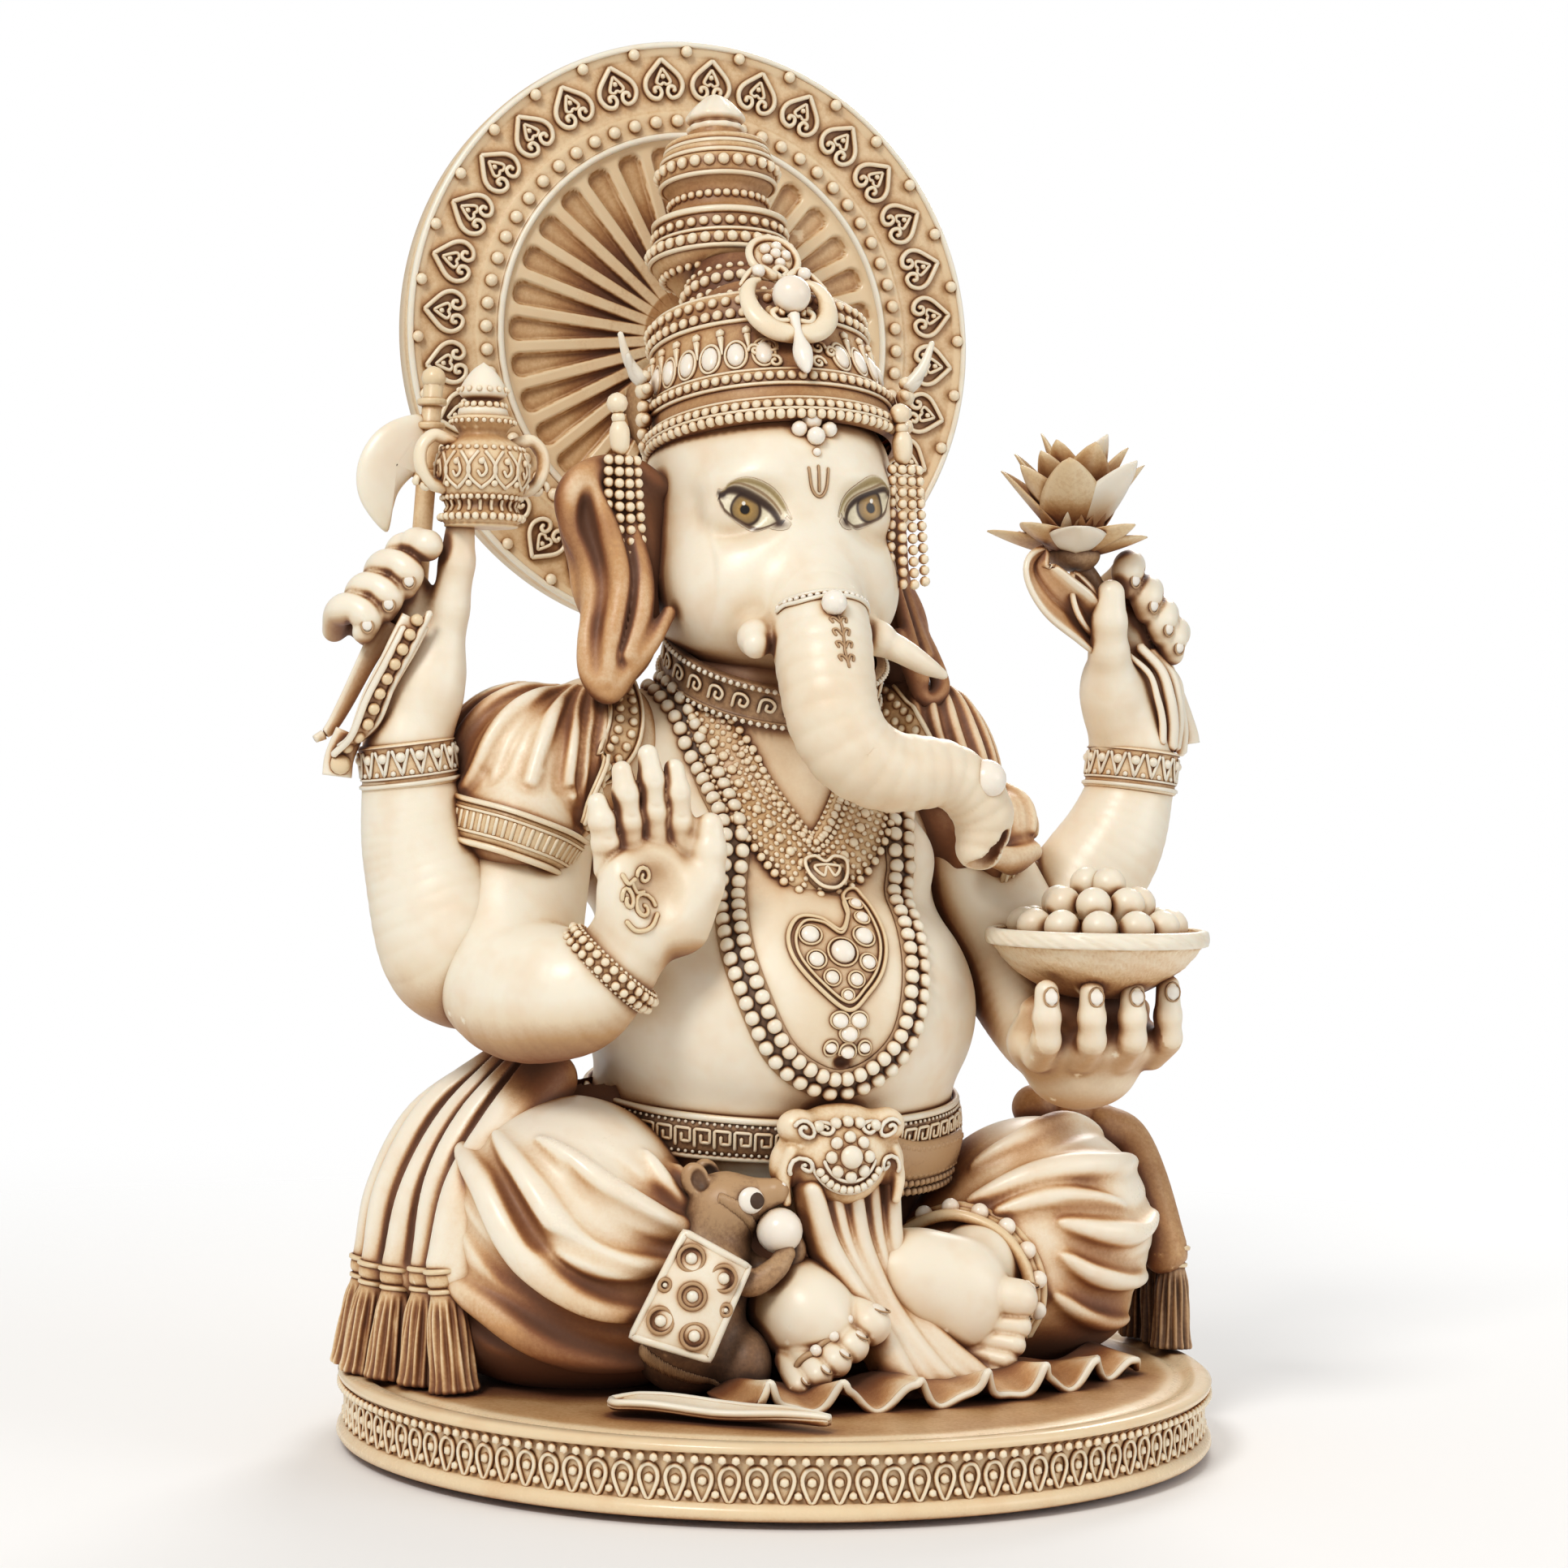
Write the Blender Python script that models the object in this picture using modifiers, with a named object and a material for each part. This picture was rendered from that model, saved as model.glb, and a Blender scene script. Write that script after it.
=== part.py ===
"""Ganesha idol: a seated four-armed figure with a halo on a round plinth, cast in ivory resin.

Run with: blender --background --python part.py
The figure faces -Y and +Z is up. The origin is the middle of the plinth's underside.
The tables of stations are in millimetres, and MM turns them into metres.
"""

import math

import bmesh
import bpy
from mathutils import Matrix, Vector
from mathutils.bvhtree import BVHTree

MM = 0.001
CLEARANCE = 0.55 * MM  # how far a neighbour is grown before it trims a piece
WELD = 0.00001

PLINTH_RADIUS = 93.0
PLINTH_HEIGHT = 16.3
PAD_RADIUS = 82.0
PAD_HEIGHT = 1.2
HALO_CENTRE = (0.8, 64.0, 241.5)
HALO_RADIUS = 68.3
HALO_THICKNESS = 9.0
HUB_HEIGHT = 13.0
POT_CENTRE = (-67.5, -4.0, 193.0)
BEAD_RADIUS = 1.7
BAND_WIDTH = 6.4
BAND_DEPTH = 2.8
ROUND_STEPS = 40

IVORY = (0.80, 0.70, 0.54)
CARVED = (0.52, 0.36, 0.22)
CLOTH = (0.70, 0.54, 0.37)
DARK = (0.26, 0.17, 0.11)
FELT = (0.10, 0.16, 0.11)


# ---------------------------------------------------------------- scene and materials


def clear_scene():
    for obj in list(bpy.data.objects):
        bpy.data.objects.remove(obj, do_unlink=True)


def new_collection(name):
    collection = bpy.data.collections.new(name)
    bpy.context.scene.collection.children.link(collection)
    return collection


def new_material(name, colour, roughness=0.45, metallic=0.0):
    material = bpy.data.materials.new(name)
    material.use_nodes = True
    shader = material.node_tree.nodes["Principled BSDF"]
    shader.inputs["Base Color"].default_value = (*colour, 1.0)
    shader.inputs["Roughness"].default_value = roughness
    shader.inputs["Metallic"].default_value = metallic
    material.diffuse_color = (*colour, 1.0)
    return material


clear_scene()
IDOL = new_collection("ganesha_idol")
pieces = []


# ---------------------------------------------------------------- mesh helpers


def evaluated_mesh(obj):
    graph = bpy.context.evaluated_depsgraph_get()
    return bpy.data.meshes.new_from_object(obj.evaluated_get(graph))


def apply_modifiers(obj):
    """Gives the object its evaluated mesh, so that the next piece is cut by the real surface."""
    mesh = evaluated_mesh(obj)
    obj.modifiers.clear()
    obj.data = mesh


def mesh_from(bm, name):
    bmesh.ops.recalc_face_normals(bm, faces=bm.faces)
    mesh = bpy.data.meshes.new(name)
    bm.to_mesh(mesh)
    bm.free()
    return mesh


def link_temporary(name, mesh):
    obj = bpy.data.objects.new(name, mesh)
    IDOL.objects.link(obj)
    return obj


def to_metres(point):
    return Vector(point[:3]) * MM


def islands(bm):
    """The connected groups of faces of a mesh."""
    unseen = set(bm.faces)
    while unseen:
        group, front = set(), [unseen.pop()]
        while front:
            face = front.pop()
            group.add(face)
            for edge in face.edges:
                for other in edge.link_faces:
                    if other in unseen:
                        unseen.remove(other)
                        front.append(other)
        yield group


def volume_of(faces):
    total = 0.0
    for face in faces:
        corners = [v.co for v in face.verts]
        for first, second in zip(corners[1:], corners[2:]):
            total += corners[0].dot(first.cross(second)) / 6.0
    return total


def keep_main_body(mesh):
    """Removes the loose crumbs that a trim can leave beside the piece itself."""
    bm = bmesh.new()
    bm.from_mesh(mesh)
    bmesh.ops.triangulate(bm, faces=bm.faces)
    groups = sorted(islands(bm), key=volume_of)
    for group in groups[:-1]:
        bmesh.ops.delete(bm, geom=list(group), context="FACES")
    loose = [v for v in bm.verts if not v.link_faces]
    bmesh.ops.delete(bm, geom=loose, context="VERTS")
    bm.to_mesh(mesh)
    bm.free()


# ---------------------------------------------------------------- trimming


def surface_tree(mesh):
    bm = bmesh.new()
    bm.from_mesh(mesh)
    tree = BVHTree.FromBMesh(bm)
    bm.free()
    return tree


def grown_copy(obj):
    """A copy whose surface stands off the original by the clearance."""
    cutter = link_temporary("grown_" + obj.name, obj.data.copy())
    swell = cutter.modifiers.new("swell", "DISPLACE")
    swell.strength = CLEARANCE
    swell.mid_level = 0.0
    apply_modifiers(cutter)
    return cutter


def trim(obj):
    """Cuts the piece back from every earlier piece that it touches."""
    for other in pieces:
        cutter = grown_copy(other)
        if surface_tree(cutter.data).overlap(surface_tree(obj.data)):
            cut = obj.modifiers.new("trim", "BOOLEAN")
            cut.operation = "DIFFERENCE"
            cut.solver = "MANIFOLD"
            cut.object = cutter
            apply_modifiers(obj)
        bpy.data.objects.remove(cutter, do_unlink=True)
    keep_main_body(obj.data)


def finish_piece(name, mesh, colour, roughness=0.45, metallic=0.0):
    """Names the piece, trims it against what is already there and gives it its material."""
    obj = link_temporary(name, mesh)
    trim(obj)
    obj.data.name = name
    obj.data.materials.clear()
    obj.data.materials.append(new_material(name, colour, roughness, metallic))
    obj.data.shade_smooth()
    obj.data.set_sharp_from_angle(angle=math.radians(40))
    pieces.append(obj)
    return obj


# ---------------------------------------------------------------- soft forms


def turn_matrix(turn):
    """Rotation from three angles in degrees, about X, then Y, then Z."""
    x, y, z = (math.radians(angle) for angle in turn)
    return Matrix.Rotation(z, 4, "Z") @ Matrix.Rotation(y, 4, "Y") @ Matrix.Rotation(x, 4, "X")


def add_ball(bm, centre, radii, turn=(0, 0, 0)):
    place = Matrix.Translation(to_metres(centre)) @ turn_matrix(turn)
    size = Matrix.Diagonal((*to_metres(radii), 1.0))
    bmesh.ops.create_uvsphere(bm, u_segments=20, v_segments=12, radius=1.0, matrix=place @ size)


def add_limb(bm, stations):
    """A chain of balls joined by tapered cones; a station is x, y, z and radius."""
    for station in stations:
        bmesh.ops.create_uvsphere(
            bm,
            u_segments=14,
            v_segments=10,
            radius=station[3] * MM,
            matrix=Matrix.Translation(to_metres(station)),
        )
    for near, far in zip(stations, stations[1:]):
        start, end = to_metres(near), to_metres(far)
        along = end - start
        aim = along.to_track_quat("Z", "Y").to_matrix().to_4x4()
        bmesh.ops.create_cone(
            bm,
            cap_ends=True,
            segments=14,
            radius1=near[3] * MM,
            radius2=far[3] * MM,
            depth=along.length,
            matrix=Matrix.Translation((start + end) / 2) @ aim,
        )


def soft_mesh(name, balls=(), limbs=(), voxel=2.0, faces=210, rounds=4):
    """Balls and limbs fused by a voxel remesh, smoothed, and thinned to about the number of faces."""
    bm = bmesh.new()
    for ball in balls:
        add_ball(bm, *ball)
    for limb in limbs:
        add_limb(bm, limb)
    obj = link_temporary("soft_" + name, mesh_from(bm, name))
    fuse = obj.modifiers.new("fuse", "REMESH")
    fuse.mode = "VOXEL"
    fuse.voxel_size = voxel * MM
    soften = obj.modifiers.new("soften", "SMOOTH")
    soften.factor = 0.5
    soften.iterations = rounds
    apply_modifiers(obj)
    thin = obj.modifiers.new("thin", "DECIMATE")
    thin.ratio = min(1.0, faces / (2.0 * len(obj.data.polygons)))
    mesh = evaluated_mesh(obj)
    bpy.data.objects.remove(obj, do_unlink=True)
    return mesh


def soft_piece(name, colour, balls=(), limbs=(), voxel=2.0, faces=210, rounds=4):
    return finish_piece(name, soft_mesh(name, balls, limbs, voxel, faces, rounds), colour)


# ---------------------------------------------------------------- turned, drawn and flat forms


def placed_mesh(obj, place):
    mesh = evaluated_mesh(obj)
    mesh.transform(place)
    bpy.data.objects.remove(obj, do_unlink=True)
    return mesh


def sealed(mesh):
    """Welds loose caps and faces the surface outward."""
    bm = bmesh.new()
    bm.from_mesh(mesh)
    bmesh.ops.remove_doubles(bm, verts=bm.verts, dist=WELD)
    bmesh.ops.recalc_face_normals(bm, faces=bm.faces)
    bm.to_mesh(mesh)
    bm.free()
    return mesh


def turned_mesh(name, profile, steps, centre=(0, 0, 0), turn=(0, 0, 0)):
    """A profile of (radius, height) rows, top to bottom down its outer side, spun about Z."""
    bm = bmesh.new()
    corners = [bm.verts.new((r * MM, 0.0, z * MM)) for r, z in profile]
    for upper, lower in zip(corners, corners[1:]):
        bm.edges.new((upper, lower))
    mesh = bpy.data.meshes.new(name)
    bm.to_mesh(mesh)
    bm.free()
    obj = link_temporary("turned_" + name, mesh)
    spin = obj.modifiers.new("spin", "SCREW")
    spin.steps = steps
    spin.render_steps = steps
    spin.use_merge_vertices = True
    spin.merge_threshold = WELD
    return sealed(placed_mesh(obj, Matrix.Translation(to_metres(centre)) @ turn_matrix(turn)))


def turned_piece(name, colour, profile, steps, centre=(0, 0, 0), turn=(0, 0, 0), **look):
    return finish_piece(name, turned_mesh(name, profile, steps, centre, turn), colour, **look)


def tube_mesh(name, points, radius, closed=False):
    """A round tube along the points, with its end caps welded on."""
    curve = bpy.data.curves.new(name, "CURVE")
    curve.dimensions = "3D"
    curve.bevel_depth = radius * MM
    curve.bevel_resolution = 1
    curve.use_fill_caps = True
    spline = curve.splines.new("POLY")
    spline.points.add(len(points) - 1)
    for spot, point in zip(spline.points, points):
        spot.co = (*to_metres(point), 1.0)
    spline.use_cyclic_u = closed
    obj = link_temporary("tube_" + name, curve)
    return sealed(placed_mesh(obj, Matrix.Identity(4)))


def plate_mesh(name, outline, thickness, bevel=0.0, place=Matrix.Identity(4)):
    """A flat plate from an outline in its own X and Y, with a rounded edge."""
    curve = bpy.data.curves.new(name, "CURVE")
    curve.dimensions = "2D"
    curve.fill_mode = "BOTH"
    curve.extrude = thickness * MM / 2 - bevel * MM
    curve.bevel_depth = bevel * MM
    curve.bevel_resolution = 0
    curve.offset = -bevel * MM
    spline = curve.splines.new("POLY")
    spline.points.add(len(outline) - 1)
    for spot, (x, y) in zip(spline.points, outline):
        spot.co = (x * MM, y * MM, 0.0, 1.0)
    spline.use_cyclic_u = True
    obj = link_temporary("plate_" + name, curve)
    return sealed(placed_mesh(obj, place))


def united_mesh(name, meshes):
    """The boolean union of several closed meshes."""
    whole = link_temporary(name, meshes[0])
    for mesh in meshes[1:]:
        other = link_temporary("other", mesh)
        unite = whole.modifiers.new("unite", "BOOLEAN")
        unite.operation = "UNION"
        unite.object = other
        apply_modifiers(whole)
        bpy.data.objects.remove(other, do_unlink=True)
    united = whole.data
    bpy.data.objects.remove(whole, do_unlink=True)
    return united


def ring_points(centre, radii, turn=(0, 0, 0), count=20):
    """Points round an ellipse, tilted by the turn."""
    place = Matrix.Translation(Vector(centre)) @ turn_matrix(turn)
    angles = [2 * math.pi * step / count for step in range(count)]
    return [place @ Vector((radii[0] * math.cos(a), radii[1] * math.sin(a), 0.0)) for a in angles]


def smooth_path(points, steps=4):
    """Points along a Catmull-Rom curve through the given points."""
    rows = [Vector(point) for point in points]
    rows = [2 * rows[0] - rows[1], *rows, 2 * rows[-1] - rows[-2]]
    path = []
    for a, b, c, d in zip(rows, rows[1:], rows[2:], rows[3:]):
        for step in range(steps):
            t = step / steps
            bend = (2 * a - 5 * b + 4 * c - d) * t * t + (3 * b - a - 3 * c + d) * t**3
            path.append(b + ((c - a) * t + bend) / 2)
    return [*path, rows[-2]]


def on_surface(base, points, lift):
    """Moves each point to the nearest place of a piece's surface, then outward by the lift."""
    tree = surface_tree(base.data)
    moved = []
    for point in points:
        spot, normal, _, _ = tree.find_nearest(to_metres(point))
        moved.append((spot + normal * lift * MM) / MM)
    return moved


# ---------------------------------------------------------------- plinth and halo


def make_plinth():
    profile = [
        (0, PLINTH_HEIGHT),
        (PLINTH_RADIUS - 3.0, PLINTH_HEIGHT),
        (PLINTH_RADIUS - 1.0, PLINTH_HEIGHT - 0.7),
        (PLINTH_RADIUS, PLINTH_HEIGHT - 2.1),
        (PLINTH_RADIUS, 0),
        (PAD_RADIUS + 0.5, 0),
        (PAD_RADIUS + 0.5, PAD_HEIGHT + 0.3),
        (0, PAD_HEIGHT + 0.3),
    ]
    turned_piece("base_plinth", CARVED, profile, ROUND_STEPS, roughness=0.5)
    pad = [(0, PAD_HEIGHT), (PAD_RADIUS, PAD_HEIGHT), (PAD_RADIUS, 0), (0, 0)]
    turned_piece("felt_pad", FELT, pad, ROUND_STEPS, roughness=0.95)


def make_halo():
    """An upright disc whose hub comes forward to the crown, and the cast stem behind the head."""
    rim, thick = HALO_RADIUS, HALO_THICKNESS
    profile = [
        (0, thick + HUB_HEIGHT),
        (10, thick + HUB_HEIGHT - 1),
        (26, thick + 3),
        (44, thick - 1.2),
        (46, thick),
        (rim - 1.5, thick),
        (rim, thick - 1.5),
        (rim, 1.5),
        (rim - 1.5, 0),
        (0, 0),
    ]
    x, y, z = HALO_CENTRE
    turned_piece("halo_disc", CARVED, profile, ROUND_STEPS, centre=(x, y + thick, z), turn=(90, 0, 0))
    stem = [(-1, 26, 204, 13), (0, 58, 212, 15)]
    soft_piece("halo_stem", CLOTH, limbs=[stem], voxel=2.4, faces=100)


# ---------------------------------------------------------------- body, head and crown


def make_body():
    soft_piece(
        "torso",
        IVORY,
        balls=[((0, 0, 92), (42, 40, 33)), ((0, 8, 66), (41, 37, 22)), ((-2, 10, 124), (39, 29, 28))],
        limbs=[[(-42, 17, 136, 18), (33, 17, 136, 17)], [(0, 12, 140, 23), (-1, 6, 158, 20)]],
        voxel=2.5,
        faces=400,
    )
    soft_piece(
        "dhoti_seat",
        CLOTH,
        balls=[((0, 24, 38), (58, 36, 27)), ((0, 18, 26), (66, 40, 16))],
        voxel=3.0,
        faces=170,
    )


def make_head():
    soft_piece(
        "head",
        IVORY,
        balls=[
            ((-1, 6, 192), (27.5, 27, 29)),
            ((-2, -1, 176), (26, 22, 17)),
            ((-1, -12, 182), (15, 13, 13)),
        ],
        voxel=2.0,
        faces=330,
    )
    trunk = [
        (-1, -20, 176, 12),
        (-2, -31, 171, 12),
        (-4, -37, 161, 11.2),
        (-3.5, -40, 150, 10.8),
        (1, -41, 143.5, 9.6),
        (10, -41, 141, 8.4),
        (19, -41, 143, 7.6),
        (27, -40, 143, 7.0),
        (31, -38, 136, 6.6),
        (28, -37, 129, 6.0),
    ]
    soft_piece("trunk", IVORY, limbs=[trunk], voxel=1.6, faces=270)
    band = ring_points((-2, -29, 174), (13.5, 13), turn=(20, 0, 0), count=16)
    finish_piece("trunk_band", tube_mesh("trunk_band", band, 1.5, closed=True), CARVED)
    soft_piece("trunk_sweet", IVORY, balls=[((33, -43, 142), (4.6, 4.6, 4.6))], voxel=1.2, faces=50)
    right = [(-15, -20, 171, 3.6), (-18, -25, 168.5, 3.8), (-17, -28, 168, 3.4)]
    left = [(11, -20, 171, 4.0), (19, -21, 167, 3.2), (27, -20, 163, 1.6)]
    soft_piece("right_tusk", IVORY, limbs=[right], voxel=1.0, faces=60)
    soft_piece("left_tusk", IVORY, limbs=[left], voxel=0.9, faces=60)


def make_ears():
    right = [
        ((-38, 4, 192), (13, 4, 13), (0, 20, 12)),
        ((-42, 0, 178), (9, 3.6, 16), (0, 8, 12)),
        ((-46, -4, 168), (4.5, 3.2, 9), (0, 6, 0)),
    ]
    left = [
        ((30, 8, 188), (8, 4, 14), (0, -12, -20)),
        ((33, 5, 172), (7, 3.6, 11), (0, -30, -10)),
    ]
    soft_piece("right_ear", IVORY, balls=right, voxel=1.6, faces=140)
    soft_piece("left_ear", IVORY, balls=left, voxel=1.6, faces=100)


def make_crown():
    """A dome that leans back to the halo, with a stepped spire over it."""
    dome = [
        (0, 50),
        (10, 50),
        (15, 42),
        (22, 33),
        (28, 23),
        (31, 13),
        (31.5, 4),
        (29.5, -1),
        (0, -1),
    ]
    turned_piece("crown_dome", CARVED, dome, 28, centre=(-1, 7, 211), turn=(-36, 0, 0))
    spire = [
        (0, 44),
        (7, 44),
        (11, 41),
        (11, 36),
        (12.5, 34),
        (12.5, 30),
        (10.5, 27),
        (10.5, 23),
        (12.5, 20),
        (14.5, 17),
        (14, 12),
        (8, 9),
        (8, 4),
        (12, 0),
        (0, 0),
    ]
    turned_piece("crown_spire", CARVED, spire, 20, centre=(-1, 43, 243), turn=(-5, 0, 0))
    finial = [(0, 15), (1.2, 14.2), (5.2, 8), (5.6, 5.5), (3.6, 4.2), (3.6, 2), (5, 0), (0, 0)]
    turned_piece("crown_finial", IVORY, finial, 16, centre=(-1, 50, 287), turn=(-5, 0, 0))
    front = [(9 * math.sin(a), 9 * math.cos(a)) for a in (math.pi * k / 8 for k in range(16))]
    face = Matrix.Translation(to_metres((-1, -11, 240))) @ turn_matrix((52, 0, 0))
    finish_piece("crown_crescent", plate_mesh("crown_crescent", front, 4, 0.8, face), IVORY)


def make_ear_tassels():
    for side, x, y in (("right", -40, -4), ("left", 21.5, -13)):
        limb = [(x, y, 219, 3.2), (x, y, 210, 2.6), (x + 1, y, 205, 4.4), (x + 1, y - 1, 183, 4.8)]
        soft_piece(side + "_ear_tassel", CARVED, limbs=[limb], voxel=1.3, faces=60)


# ---------------------------------------------------------------- arms and hands

RIGHT_FRONT_ARM = [(-56, 6, 130, 15), (-63, -8, 101, 15.5), (-56, -24, 97, 13.5), (-48, -29, 101, 9.6)]
LEFT_FRONT_ARM = [(42, 8, 130, 13), (52, -2, 100, 13.5), (55, -18, 88, 10)]
RIGHT_REAR_ARM = [(-58, 14, 128, 14), (-71, 2, 107, 17), (-78, 3, 124, 13), (-82, 3, 143, 9.6)]
LEFT_REAR_ARM = [(44, 14, 128, 13), (62, 8, 108, 13), (76, 3, 124, 12.2), (84, 3, 144, 9.6)]


def fingers(roots, tips, radius):
    return [[(*root, radius), (*tip, radius * 0.8)] for root, tip in zip(roots, tips)]


def make_arms():
    soft_piece("right_front_arm", IVORY, limbs=[RIGHT_FRONT_ARM], voxel=2.2, faces=180)
    soft_piece("left_front_arm", IVORY, limbs=[LEFT_FRONT_ARM], voxel=2.2, faces=140)
    soft_piece("right_rear_arm", IVORY, limbs=[RIGHT_REAR_ARM], voxel=2.2, faces=180)
    soft_piece("left_rear_arm", IVORY, limbs=[LEFT_REAR_ARM], voxel=2.2, faces=180)


def make_right_front_hand():
    """Raised with its palm forward, in blessing."""
    roots = [(-35.5, -33, 128), (-39.5, -33, 129.5), (-43.8, -33, 128.5), (-47.5, -33, 126)]
    tips = [(-37.5, -34, 143), (-43, -34, 145), (-47.5, -34, 141.5), (-51, -34, 135)]
    thumb = [(-34, -33, 112, 5.0), (-31, -35, 121, 3.8), (-29.6, -35, 131, 2.8)]
    limbs = [*fingers(roots, tips, 2.9), thumb, [(-46, -30, 105, 8), (-42, -32, 113, 8)]]
    soft_piece("right_front_hand", IVORY, [((-41, -33, 119), (10.5, 5.5, 12))], limbs, 1.3, 250)


def make_left_front_hand():
    """Open upwards under the bowl, with four fingertips round its front."""
    grips = [
        [(46 + 9 * k, -34 - 1.2 * k, 86, 3.2), (47 + 9 * k, -41 - 0.7 * k, 94, 2.6)] for k in range(4)
    ]
    limbs = [*grips, [(55, -18, 87, 9), (58, -26, 85, 8)]]
    soft_piece("left_front_hand", IVORY, [((61, -30, 84), (17, 11, 7))], limbs, 1.3, 250)


def make_right_rear_hand():
    """A fist round the axe shaft, with the thumb up under the pot."""
    curled = [
        [(-80 - 3.6 * k, 7, 184 - 4.2 * k, 4.0), (-80.5 - 3.6 * k, -1, 186 - 4.4 * k, 3.6)]
        for k in range(4)
    ]
    thumb = [(-77, 2, 168, 7), (-74.5, 0, 180, 4.4), (-73, -1, 190, 3.4)]
    limbs = [*curled, thumb, [(-82, 3, 149, 8.6), (-80, 3, 162, 9.4), (-80, 4, 174, 7)]]
    soft_piece("right_rear_hand", IVORY, (), limbs, 1.4, 250)


def make_left_rear_hand():
    """A fist round the lotus stem."""
    curled = [
        [(81 + 4.2 * k, 7, 184 - 4.2 * k, 4.0), (81.5 + 4.2 * k, -1, 185 - 4.4 * k, 3.6)] for k in range(4)
    ]
    thumb = [(77, 2, 164, 6.5), (75, 0, 172, 4.4), (75, -1, 180, 3.2)]
    limbs = [*curled, thumb, [(84, 3, 150, 8.6), (82, 3, 162, 9.2), (83, 4, 173, 7)]]
    soft_piece("left_rear_hand", IVORY, (), limbs, 1.4, 250)


def make_bangles():
    """A flat band round each visible wrist, just below the seam between arm and hand."""
    bands = [
        ("right_rear", (-81.6, 3, 143), 12.2, (0, -8, 0)),
        ("left_rear", (84, 3, 143), 12.2, (0, 6, 0)),
        ("right_front", (-47.2, -29.3, 102.8), 10.6, (14, 40, 0)),
    ]
    for arm, centre, radius, turn in bands:
        inner = radius - BAND_DEPTH
        half = BAND_WIDTH / 2
        profile = [(inner, half), (radius, half), (radius, -half), (inner, -half), (inner, half)]
        turned_piece(arm + "_bangle", CARVED, profile, 18, centre, turn)


# ---------------------------------------------------------------- legs and feet


def make_legs():
    right = [((-50, -10, 47), (27, 28, 29)), ((-38, -14, 36), (26, 24, 20)), ((-52, -4, 28), (24, 24, 13))]
    left = [((60, -6, 44), (27, 24, 24)), ((44, -12, 34), (24, 20, 18)), ((58, -2, 26), (22, 22, 10))]
    soft_piece("right_leg", CLOTH, balls=right, voxel=2.4, faces=220)
    soft_piece("left_leg", CLOTH, balls=left, voxel=2.4, faces=210)


def make_feet():
    right_toes = [[(-8, -42, 29, 3.4), (-1, -46, 30, 3.2)]]
    right_toes += [
        [(-11 + 1.2 * k, -42, 29, 2.6), (-7 - 1.6 * k, -48, 27 - 1.2 * k, 2.2)] for k in range(4)
    ]
    soft_piece("right_foot", IVORY, [((-9, -34, 34), (9, 13, 9))], right_toes, 1.3, 200)
    left_toes = [
        [(38 - 1.0 * k, -38, 34 - 3.4 * k, 3.2), (45 - 1.6 * k, -39, 35 - 4.2 * k, 2.9 - 0.2 * k)]
        for k in range(5)
    ]
    soft_piece("left_foot", IVORY, [((27, -34, 34), (16, 9, 10.5), (0, 12, 0))], left_toes, 1.3, 230)
    anklet = ring_points((44, -24, 40), (11, 12), turn=(35, 48, 0), count=18)
    finish_piece("left_anklet", tube_mesh("left_anklet", anklet, 2.0, closed=True), CARVED)


def make_draped_cloth():
    pleats = [
        [(x, -36, 56, 4), (x + 3, -37, 40, 4.4), (x + 9 + 0.2 * x, -41, 22, 5)] for x in (-9, -3, 3, 9)
    ]
    soft_piece("front_pleats", CLOTH, limbs=pleats, voxel=1.8, faces=160)
    wave = []
    for step in range(24):
        t = step / 23
        x = -26 + 84 * t
        y = -51 - 14 * math.sin(math.pi * min(1.0, 1.25 * t)) + 3.0 * math.sin(step * math.pi * 0.75)
        wave.append((x, y + 8 * t, 18.6))
    finish_piece("ruffled_hem", tube_mesh("ruffled_hem", wave, 1.9), CLOTH)
    leaf = [(-22, 0), (-12, 4.5), (2, 5.2), (16, 3.0), (23, 0), (14, -3.2), (0, -4.6), (-13, -3.8)]
    lie = Matrix.Translation(to_metres((-36, -60.5, PLINTH_HEIGHT + 1.9))) @ turn_matrix((0, 0, -44))
    finish_piece("ground_leaf", plate_mesh("ground_leaf", leaf, 2.6, 0.6, lie), CLOTH)


def make_shawls():
    """The ends of the shawl fall over both knees to tied tassels on the plinth."""
    feet = [(-86, 17), (-85, 7), (-80, -2), (-74, -9), (-66, -14)]
    falls = []
    for k, (x, y) in enumerate(feet):
        top = (-60 - 1.0 * k, 4 - 4 * k, 80 - 2 * k, 3.6)
        falls.append([top, (x + 8, y * 0.8, 62, 4.0), (x, y, 40, 4.0), (x, y, 20, 5.4)])
    soft_piece("right_shawl", CLOTH, limbs=falls, voxel=1.8, faces=300)
    left = [
        [(64 + 7 * k, 4 - 2 * k, 71 - 2 * k, 3.4), (86, 6 - 3 * k, 56, 4), (88, 8 - 8 * k, 24, 4.6)]
        for k in range(3)
    ]
    soft_piece("left_shawl", DARK, limbs=left, voxel=1.8, faces=190)


# ---------------------------------------------------------------- dress and jewellery


def make_sleeves():
    right = [((-56, 8, 140), (18, 20, 19), (0, 20, 0)), ((-60, 0, 130), (14, 17, 13), (0, 24, 0))]
    left = [((38, 10, 138), (14, 19, 18), (0, -20, 0)), ((45, 4, 128), (10, 13, 12), (0, -20, 0))]
    soft_piece("right_sleeve", CLOTH, balls=right, voxel=2.0, faces=160)
    soft_piece("left_sleeve", CLOTH, balls=left, voxel=2.0, faces=140)


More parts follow.
